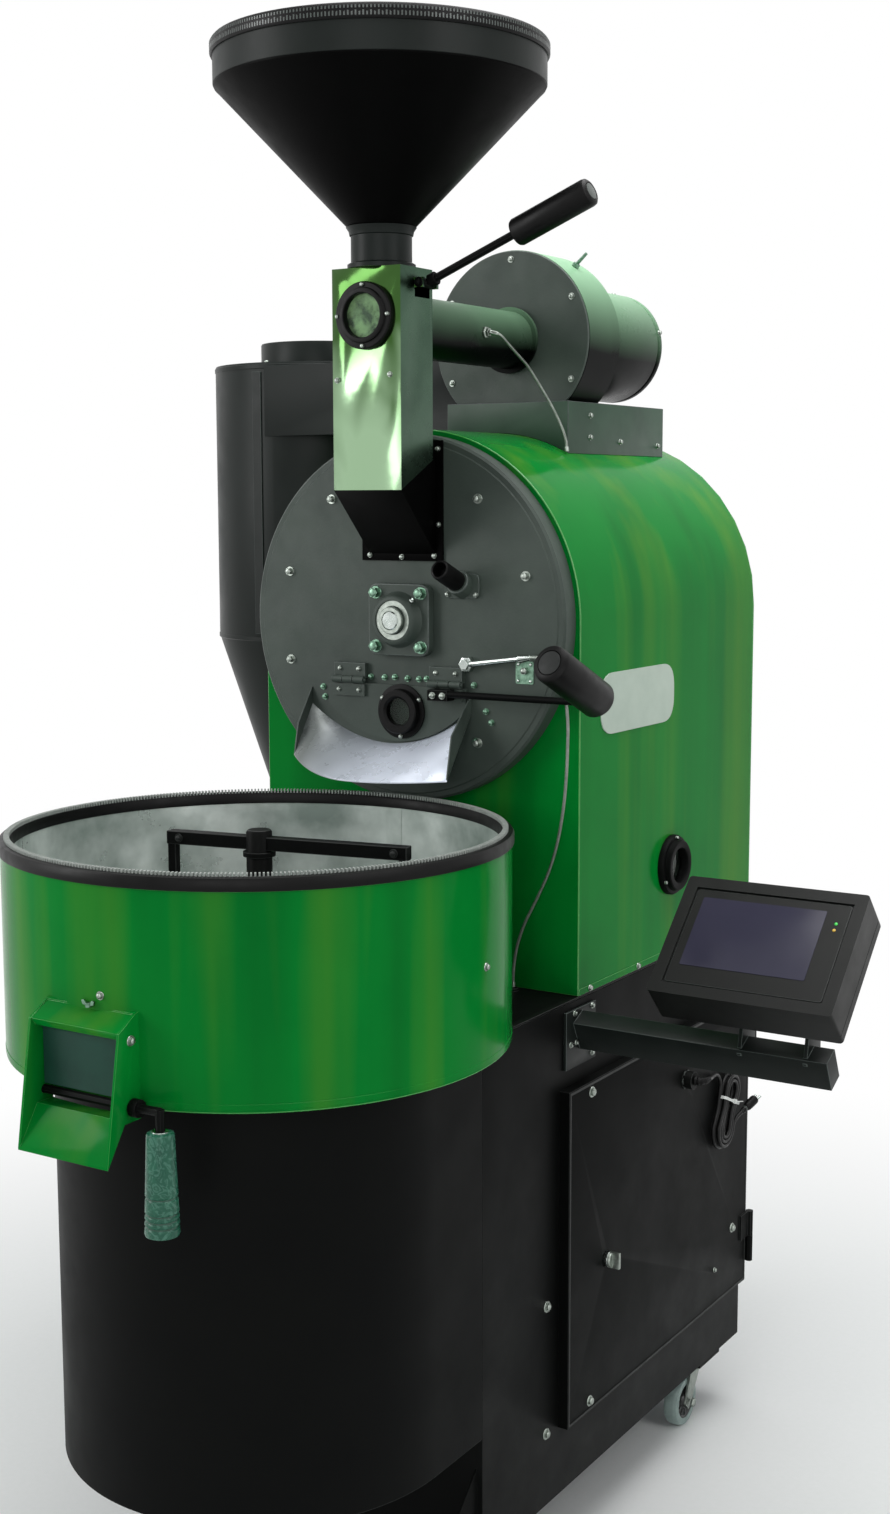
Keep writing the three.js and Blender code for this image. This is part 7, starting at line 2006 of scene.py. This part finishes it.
@dataclass
class HopperAndChute:
    """Cone hopper with its ribbed rim, polished feed chute, wedge and sight ring."""

    hopper_y: float = -76.0
    neck: float = 37.4
    band: float = 204.0
    chute_front: float = -111.0
    sight_z: float = 1624.0
    sight: float = 41.0

    def hopper(self) -> None:
        """Builds cone, band, bead and rim trim."""
        at = (FEED_X, self.hopper_y, 0.0)
        Form().lathe([(self.neck, 1682.9), (self.neck, 1728), (201.2, 1896.3), (203.4, 1898.2), (self.band, 1901),
            (self.band, 1934), (202, 1934), (202, 1901), (199.6, 1898.0), (35.4, 1730), (35.4, 1682.9)], at, UP,
            144).make("hopper.look", JET)
        Form().lathe([(203.9, 1900), (204.6, 1900.6), (204.6, 1933.6), (203.9, 1934)], at, UP, 144).make("hopper_band",
            GREY, slot="black_paint")
        Form().lathe([(202.8, 1933.4), (206.4, 1933.4), (207.8, 1936), (208, 1944), (206.6, 1949.4), (205, 1951),
            (203.6, 1950), (202.8, 1946)], at, UP, 144).make("hopper_rim_trim", NYLON)
        # The rim's ribs take the pale nylon, a painted highlight on their tips.
        teeth = ribs("hopper_rim_ribs", 300, 206.9, 2.0, 1.9, 11.0)
        teeth.grow([((FEED_X, self.hopper_y, 1942.0), UP)], NYLON_EDGE)
        collar = Form().lathe([(37.3, 1683), (42.5, 1683), (42.5, 1688), (39, 1690), (37.3, 1690)], at)
        collar.band(37.3, 38, 1690, 1722, at)
        collar.lathe([(37.3, 1722), (39.6, 1723), (40.6, 1728), (44, 1733), (38, 1729)], at)
        collar.make("hopper_neck_collars", GREY, slot="black_paint")

    def chute(self) -> None:
        """Dresses the chute's box, its sight ring and screws."""
        box = recast("feed_chute", MIRROR, 0.7, 3)
        # Faces turned across x take the flank's painted shade.
        box.data.materials.append(FLANK.build())
        for face in box.data.polygons:
            face.material_index = int(abs(face.normal.x) > 0.9)
        recast("chute_wedge", JET, 0.6)
        base = (FEED_X, self.chute_front - SEAT, self.sight_z)
        Form().band(0, 27, 0.4, 1.2, base, FRONT, 64).make("chute_sight_back", OLIVE)
        Form().lathe([(27, 0), (self.sight, 0), (self.sight, 6), (39.5, 7.6), (34, 8), (33, 10.4), (31.4, 11),
            (28, 11), (27, 10)], base, FRONT).make("sight_ring.look", NYLON, slot="black_paint")
        Form().band(0, 27.2, 2, 5, base, FRONT, 64).make("chute_sight_glass", SIGHT_GLASS)
        places = around((FEED_X, self.chute_front - 8, self.sight_z), 37, (180, 0, 90, 270), "y", FRONT)
        screws("sight_ring_screws", 2.4, 1.6, 24, 1.1, 0.5).grow(places)
        front = [((x, self.chute_front, z), FRONT) for x, z in ((-24, 1547), (55, 1552))]
        flange = [((x, -3.3, z), FRONT) for x, z in ((56, 1464), (56.5, 1368), (-56, 1464), (-56, 1368), (0, 1326),
            (50, 1328), (-50, 1328))]
        screws("chute_screws", 2.9, 1.8, 24, 1.3, 0.5).grow(front + flange)

    def build(self) -> None:
        """Builds the hopper, then the chute."""
        self.hopper()
        self.chute()
        log.info("hopper and chute")


@dataclass
class FeedLever:
    """Feed lever with its moulded grip and pivot nut."""

    pivot: Point = (77.25, -62.0, 1664.0)
    rise: float = 21.8

    def along(self, run: float) -> Point:
        """Gives a point on the lever's rod."""
        rise = math.radians(self.rise)
        return (self.pivot[0] + run * math.cos(rise), self.pivot[1], self.pivot[2] + run * math.sin(rise))

    def build(self) -> None:
        """Builds the lever and its grip."""
        recast("feed_lever", BLACK, 0.4, body="feed_gate")
        start, end = self.along(136), self.along(246)
        way = Vector(end) - Vector(start)
        Form().lathe([(5.3, 0), (12, 0), (15.6, 1.2), (17, 4), (17, 104), (16.2, 107.5), (13.8, 109.4), (11, 110),
            (10, 108.8), (0, 108.8)], start, way, 72).make("feed_grip.look", NYLON, body="feed_gate")
        Form().lathe([(0, 108.6), (9.8, 108.6), (9.8, 109.8), (9, 110), (0, 110)], start, way,
            48).make("feed_grip_end", NYLON_EDGE, body="feed_gate")
        Form().lathe([(5.1, 0), (8.5, 0), (8.5, 9), (7.5, 10), (5.1, 10)], self.along(6), way,
            48).make("feed_lever_boss", BLACK, body="feed_gate")
        screws("feed_pivot_nut", 4.2, 3.0).grow([((77.25, -81.0, 1664.0), FRONT)], BLACK, slot="zinc")
        log.info("feed lever")


# ---------------------------------------------------------------- exhaust

@dataclass
class ExhaustFan:
    """Exhaust pipe, fan scroll with its cover, motor cowl, bracket and damper."""

    front: float = 243.0
    radius: float = 121.6
    motor_z: float = 1625.6
    damper_at: tuple[float, float] = (92.0, 1722.0)
    damper_y: float = 300.0

    def pipe(self) -> None:
        """Builds the pipe from chute to fan with its clamp rings and probe boss."""
        at = (FEED_X, 0.0, FAN_Z)
        Form().band(36, 39, -38.4, 242.7, at, BACK).make("exhaust_pipe.look", SHEEN)
        rings = Form()
        for low in (-38.2, 234.6):
            rings.lathe([(38.8, low), (45, low), (45, low + 5), (43.8, low + 8), (38.8, low + 8)], at, BACK)
        rings.make("exhaust_pipe_flanges", SHEEN)
        Form().lathe([(0, 36.5), (8, 36.5), (8, 42), (6, 43), (6, 46.6), (0, 46.8)], (FEED_X, 108, FAN_Z), RIGHT,
            6).make("exhaust_probe_boss", ZINC, 0.4)

    def scroll(self) -> None:
        """Builds scroll, duct, cover and its zinc screws."""
        recast("fan_scroll", GREY, 0.8)
        at = (FEED_X, self.front, FAN_Z)
        Form().lathe([(self.radius - 0.2, 3.4), (self.radius + 0.7, 3.4), (self.radius + 0.7, 91.4),
            (self.radius - 0.2, 92)], at, BACK, 144).make("fan_scroll_skin", SHEEN,
            cuts=[Form().box(-300, FEED_X, 230, 345, 1490, 1600.2)])
        Form().lathe([(36, 0), (self.radius - 1, 0), (self.radius, 1), (self.radius, 3), (36, 3)], at, BACK,
            144).make("fan_cover.look", CAST, 0.3, slot="black_paint")
        places = around(at, 110, range(30, 360, 60), "y", FRONT)
        screws("fan_cover_screws", 3.4, 2.0, 6, 1.4, 0.5).grow(places)

    def motor(self) -> None:
        """Builds the spun cowl with its lip, rear grille ribs, rings and screws."""
        at = (FEED_X, 0.0, self.motor_z)
        form = Form().lathe([(56, 357.3), (76, 357.3), (79.4, 359), (80, 362), (80, 541), (79.4, 543), (78.4, 543.6),
            (78.4, 546.4), (79.4, 547), (80, 549), (80, 556), (78, 559.4), (74, 560), (72, 558), (72, 549), (0, 549)],
            at, BACK, 144)
        form.band(50, 60, 335.3, 362, (FEED_X, 0, FAN_Z), BACK)
        form.make("fan_motor.look", SHEEN)
        grille = ribs("fan_motor_grille", 36, 44.0, 44.0, 2.0, 3.0)
        grille.grow([((FEED_X, 551.0, self.motor_z), BACK)], BLACK, slot="grey_paint")
        rings = Form()
        for radius in (20, 44, 68):
            rings.band(radius - 2, radius + 2, 549, 554, at, BACK, 64)
        rings.make("fan_motor_rings", BLACK, slot="grey_paint")
        side = [place for y in (372, 552) for place in around((FEED_X, y, self.motor_z), 80, (15, 90, 165), "y")]
        screws("fan_motor_screws", 3.2, 1.6, 24, 1.3, 0.5).grow(side)

    def damper(self) -> None:
        """Builds the damper's short thin lever on its stub, radially out of the scroll."""
        across, up = self.damper_at
        out = Vector((across - FEED_X, 0, up - FAN_Z)).normalized()
        aside = Vector((out.z, 0, -out.x))
        foot = Vector((FEED_X, self.damper_y, FAN_Z))
        form = Form().rod(3.9, foot + out * 119, foot + out * 126, 24)
        form.rod(5.0, foot + out * 122.6, foot + out * 128, 32)
        form.rod(2.6, foot + out * 127, foot + out * 147 + aside * 5, 24, 2.1)
        form.make("damper_lever.look", PATINA, 0.4, body="damper", slot="black_paint")

    def build(self) -> None:
        """Builds the exhaust from pipe to damper."""
        self.pipe()
        self.scroll()
        self.motor()
        recast("fan_impeller", HEATED, 0.4, body="impeller")
        recast("fan_bracket", BRACKET, 1.0, 3)
        self.damper()
        places = [((117.0, y, z), RIGHT) for y, z in ((296, 1485), (388, 1481), (509, 1478), (296, 1515))]
        places += [((-77.0, y, 1482), LEFT) for y in (370, 440, 509)]
        screws("fan_bracket_screws", 3.2, 1.8, 24, 1.4, 0.45).grow(places)
        log.info("exhaust fan")


@dataclass
class Cyclone:
    """Cyclone with its collar, seams and lug, and the chaff drum under it."""

    x: float = -426.0
    y: float = 412.0
    radius: float = 166.0

    def build(self) -> None:
        """Builds the cyclone and its drum."""
        at = (self.x, self.y, 0.0)
        form = Form()
        wide = self.radius - 0.9
        form.lathe([(50, 800), (50, 832), (wide, 1188), (wide, 1604), (164, 1606), (93, 1606), (93, 1640), (92, 1642),
            (90.5, 1642), (90, 1640), (90, 1486), (93, 1486), (93, 1603), (163, 1603), (163, 1188), (47, 832),
            (47, 800)], at, UP, 144)
        inlet = Form().box(self.x + 14, self.x + 175, 249.3, 332, 1499.2, 1596.8)
        form.make("cyclone.look", GREY, cuts=[inlet])
        beads = Form()
        for radius, z in ((self.radius, 1188), (self.radius, 1600), (52, 834)):
            beads.lathe([(radius - 1.6, z - 4), (radius, z - 2.6), (radius, z + 2.6), (radius - 1.6, z + 4)], at, UP,
                144)
        beads.make("cyclone_beads", GREY)
        Form().box(-262, -247.1, self.y - 30, self.y + 30, 1193, 1243).make("cyclone_lug", GREY, 1.0)
        seam = Form().box(self.x - 8, self.x + 8, self.y - self.radius - 0.9, self.y - self.radius + 2, 1196, 1592)
        seam.make("cyclone_seam", GREY, 0.4)
        Form().lathe([(0, 520), (110, 520), (112, 522), (112, 560), (113.5, 562), (112, 564), (112, 700), (113.5, 702),
            (112, 704), (112, 776), (114.5, 777), (114.5, 797), (113, 799.7), (47, 799.7), (47, 796.7), (109, 796.7),
            (109, 523), (0, 523)], at, UP, 120).make("chaff_drum.look", GREY)
        clips = around((self.x, self.y, 782), 114, (20, 110, 200, 290), "z")
        screws("chaff_drum_catches", 5.0, 4.0, 6, 1.5, 0.4).grow(clips)
        ring = around((self.x, self.y, 1606), 140, range(0, 360, 45), "z", UP)
        screws("cyclone_lid_screws", 3.6, 2.0, 24, 1.3, 0.5).grow(ring)
        log.info("cyclone and chaff drum")


# ---------------------------------------------------------------- operator screen and drives

@dataclass
class OperatorScreen:
    """Operator screen: dark moulded case, sloped bezel, unlit display and pilot lenses."""

    width: float = 230.0
    height: float = 168.0
    depth: float = 58.0
    centre: Point = (521.0, -20.0, 862.0)
    tilt: float = 45.8

    def place(self) -> Matrix:
        """Gives the case's own place."""
        return Matrix.Translation(self.centre) @ Matrix.Rotation(math.radians(-self.tilt), 4, "X")

    def case(self) -> None:
        """Builds the case with its bezel and seam."""
        w, h, d = self.width / 2, self.height / 2, self.depth / 2
        outline = round_corners(rectangle(-w, w, -h, h), 5, 5)
        form = Form().prism(outline, "y", -d, d)
        cutter = Form().box(15 - w, w - 15, -d - 5, 3 - d, 15 - h, h - 15)
        for low, high in ((-w - 2, -w + 0.9), (w - 0.9, w + 2)):
            cutter.box(low, high, d - 12.8, d - 11.6, -h - 2, h + 2)
        cutter.box(-w - 2, w + 2, d - 12.8, d - 11.6, h - 0.9, h + 2)
        case = carve(form.piece("screen_box.look"), cutter)
        case.data.transform(Matrix.Translation(-FLOOR_SHIFT * MM))
        case.data.transform(self.shifted())
        fit(dress(case, ABS, 1.4, 3), "screen", "case", "screen_box")

    def shifted(self) -> Matrix:
        """Gives the case's place in metres on the row's frame."""
        place = self.place()
        place.translation = (place.translation + FLOOR_SHIFT) * MM
        return place

    def face(self) -> None:
        """Builds the bezel's inner lip, the display, lenses, rear cover, lugs and vents."""
        w, h, d = self.width / 2, self.height / 2, self.depth / 2
        place = self.place()
        panel = Form().prism(round_corners(rectangle(17 - w, w - 17, 17 - h, h - 17), 4, 4), "y", -d + 1.6,
            -d + 3.5).move(place)
        panel.make("screen_bezel", ABS, 0.5, body="screen")
        glass = Form().prism(round_corners(rectangle(-87, 70, -42, 56), 2, 3), "y", -d + 1.0, -d + 2.4).move(place)
        glass.make("screen_display", DISPLAY, 0.25, body="screen")
        for name, finish, z in (("screen_pilot_green", PILOT, 40.0), ("screen_pilot_amber", AMBER, 31.0)):
            lens = Form().lathe([(0, 0), (2.0, 0), (2.0, 0.8), (1.2, 1.5), (0, 1.6)], (85, -d + 1.8, z), FRONT, 24)
            lens.move(place).make(name, finish, body="screen", slot="case")
        Form().box(-70, 70, d - 1, d + 1.2, -50, 40).move(place).make("screen_rear_cover", ABS, 0.6, body="screen")
        lugs = Form()
        for x in (-39.0, 34.0):
            lugs.box(x, x + 5, d - 5, 89.5, -3.5, 11.5)
        lugs.rod(5, (-45, 81.98, 3.97), (45, 81.98, 3.97), 32)
        lugs.move(place).make("screen_lugs", BLACK, 0.6, body="screen", slot="case")
        # Dark strips of painted shade stand in for the rear cover's vent slots.
        slots = Form()
        for k in range(9):
            slots.box(-40 + 10 * k, -34 + 10 * k, d + 1.1, d + 1.5, -30, 20)
        slots.move(place).make("screen_vents", PAINTED_SHADE, body="screen", slot="case")

    def build(self) -> None:
        """Builds screen and arm."""
        self.case()
        self.face()
        recast("screen_arm", GREY, 1.2, 3)
        flange = [((251.05, y, z), RIGHT) for y, z in ((2, 708), (17, 708), (60, 747), (12, 747), (60, 684))]
        screws("arm_flange_screws", 3.0, 1.8, 6, 1.4, 0.4).grow(flange)
        log.info("operator screen")


@dataclass
class Drives:
    """Drum gearmotor and cooling blower, remade from their solids."""

    def build(self) -> None:
        """Builds the drives."""
        recast("drum_gearmotor", GREY, 1.6, 3)
        recast("cooling_blower", GREY, 1.5, 3)
        log.info("drives")


# ---------------------------------------------------------------- studio

@dataclass
class Studio:
    """Pale floor that fades into a white surround, and soft lamps."""

    floor_radius: float = 14.0
    fade_from: float = 0.75
    fade_to: float = 2.2

    def seen(self, tree: bpy.types.NodeTree) -> bpy.types.NodeSocket:
        """Tells where the camera, gloss or glass looks, so that white adds no light to the machine.

        Args:
            tree: Node tree of the floor or the world.

        Returns:
            Socket that is 1 for such rays.
        """
        path = add_node(tree, "ShaderNodeLightPath")
        plain = add_node(tree, "ShaderNodeMath", {"operation": "MAXIMUM"},
            {0: path.outputs["Is Camera Ray"], 1: path.outputs["Is Glossy Ray"]})
        return add_node(tree, "ShaderNodeMath", {"operation": "MAXIMUM"},
            {0: plain.outputs[0], 1: path.outputs["Is Transmission Ray"]}).outputs[0]

    def floor(self) -> None:
        """Builds the floor, which keeps the shadow near the machine and is white farther off."""
        floor = Form().band(0, self.floor_radius / MM, -20, -0.4, (0, 0, 0)).piece("studio_floor")
        material = bpy.data.materials.new("matt_white_vinyl")
        material.use_nodes = True
        tree = material.node_tree
        tree.nodes.clear()
        where = add_node(tree, "ShaderNodeTexCoord").outputs["Object"]
        reach = add_node(tree, "ShaderNodeVectorMath", {"operation": "LENGTH"}, {0: where})
        fade = add_node(tree, "ShaderNodeMapRange", {"interpolation_type": "SMOOTHSTEP"},
            {"Value": reach.outputs["Value"], "From Min": self.fade_from, "From Max": self.fade_to})
        grain = add_node(tree, "ShaderNodeTexNoise", inputs={"Vector": where, "Scale": 120.0})
        pale = add_node(tree, "ShaderNodeMix", {"data_type": "RGBA"}, {"Factor": grain.outputs["Fac"],
            6: linear("#f4f5f4"), 7: linear("#eff1ef")})
        matt = add_node(tree, "ShaderNodeBsdfDiffuse", inputs={"Color": pale.outputs[2]})
        white = add_node(tree, "ShaderNodeEmission", inputs={"Color": (1, 1, 1, 1), "Strength": 1.0})
        faded = add_node(tree, "ShaderNodeMath", {"operation": "MULTIPLY"},
            {0: fade.outputs["Result"], 1: self.seen(tree)})
        both = add_node(tree, "ShaderNodeMixShader", inputs={0: faded.outputs[0], 1: matt.outputs[0],
            2: white.outputs[0]})
        add_node(tree, "ShaderNodeOutputMaterial", inputs={"Surface": both.outputs[0]})
        floor.data.materials.append(material)

    def surround(self) -> None:
        """Sets a dim world that is white where the camera, gloss or glass sees it."""
        world = bpy.data.worlds.new("white_surround")
        bpy.context.scene.world = world
        world.use_nodes = True
        tree = world.node_tree
        tree.nodes.clear()
        dim = add_node(tree, "ShaderNodeBackground", inputs={"Color": linear("#d6dbe0"), "Strength": 0.3})
        white = add_node(tree, "ShaderNodeBackground", inputs={"Color": (1, 1, 1, 1), "Strength": 1.0})
        both = add_node(tree, "ShaderNodeMixShader", inputs={0: self.seen(tree), 1: dim.outputs[0],
            2: white.outputs[0]})
        add_node(tree, "ShaderNodeOutputWorld", inputs={"Surface": both.outputs[0]})

    def lamp(self, name: str, place: Point, aim: Point, size: tuple[float, float], power: float) -> None:
        """Hangs one soft rectangular lamp.

        Args:
            name: Name of the lamp.
            place: Its middle, in metres.
            aim: Point that it faces.
            size: Its width and height, in metres.
            power: Its power in watts.
        """
        data = bpy.data.lights.new(name, "AREA")
        data.shape, data.size, data.size_y, data.energy = "RECTANGLE", size[0], size[1], power
        lamp = bpy.data.objects.new(name, data)
        way = Vector(aim) - Vector(place)
        lamp.matrix_world = Matrix.Translation(place) @ way.to_track_quat("-Z", "Y").to_matrix().to_4x4()
        bpy.context.scene.collection.objects.link(lamp)

    def build(self) -> None:
        """Builds floor, surround and lamps."""
        self.floor()
        self.surround()
        self.lamp("left_softbox", (-2.6, -2.4, 2.2), (0, -0.1, 1.0), (1.2, 2.4), 58)
        self.lamp("right_softbox", (3.2, -0.6, 2.6), (0.1, 0.1, 1.1), (1.6, 2.2), 30)
        self.lamp("top_softbox", (0.3, 0.2, 3.6), (0, 0, 1.2), (2.4, 2.4), 96)
        self.lamp("front_fill", (1.6, -3.8, 2.0), (0, -0.1, 0.9), (2.0, 2.0), 28)
        bpy.context.scene.view_settings.view_transform = "Standard"
        log.info("studio")


def main() -> None:
    """Builds the whole machine in order."""
    logging.basicConfig(level=logging.INFO, format="%(name)s: %(message)s")
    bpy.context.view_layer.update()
    PhotoCamera().build()
    for assembly in (MainsLead(), ProbeCables(), Cabinet(), ServiceDoor(), Casters(), CoolingBin(), Stirrer(),
                     OutletHood(), Housing(), DrumFace(), Discharge(), Sampler(), HopperAndChute(), FeedLever(),
                     ExhaustFan(), Cyclone(), OperatorScreen(), Drives(), Studio()):
        assembly.build()
    bpy.context.view_layer.update()


if __name__ == "__main__":
    main()
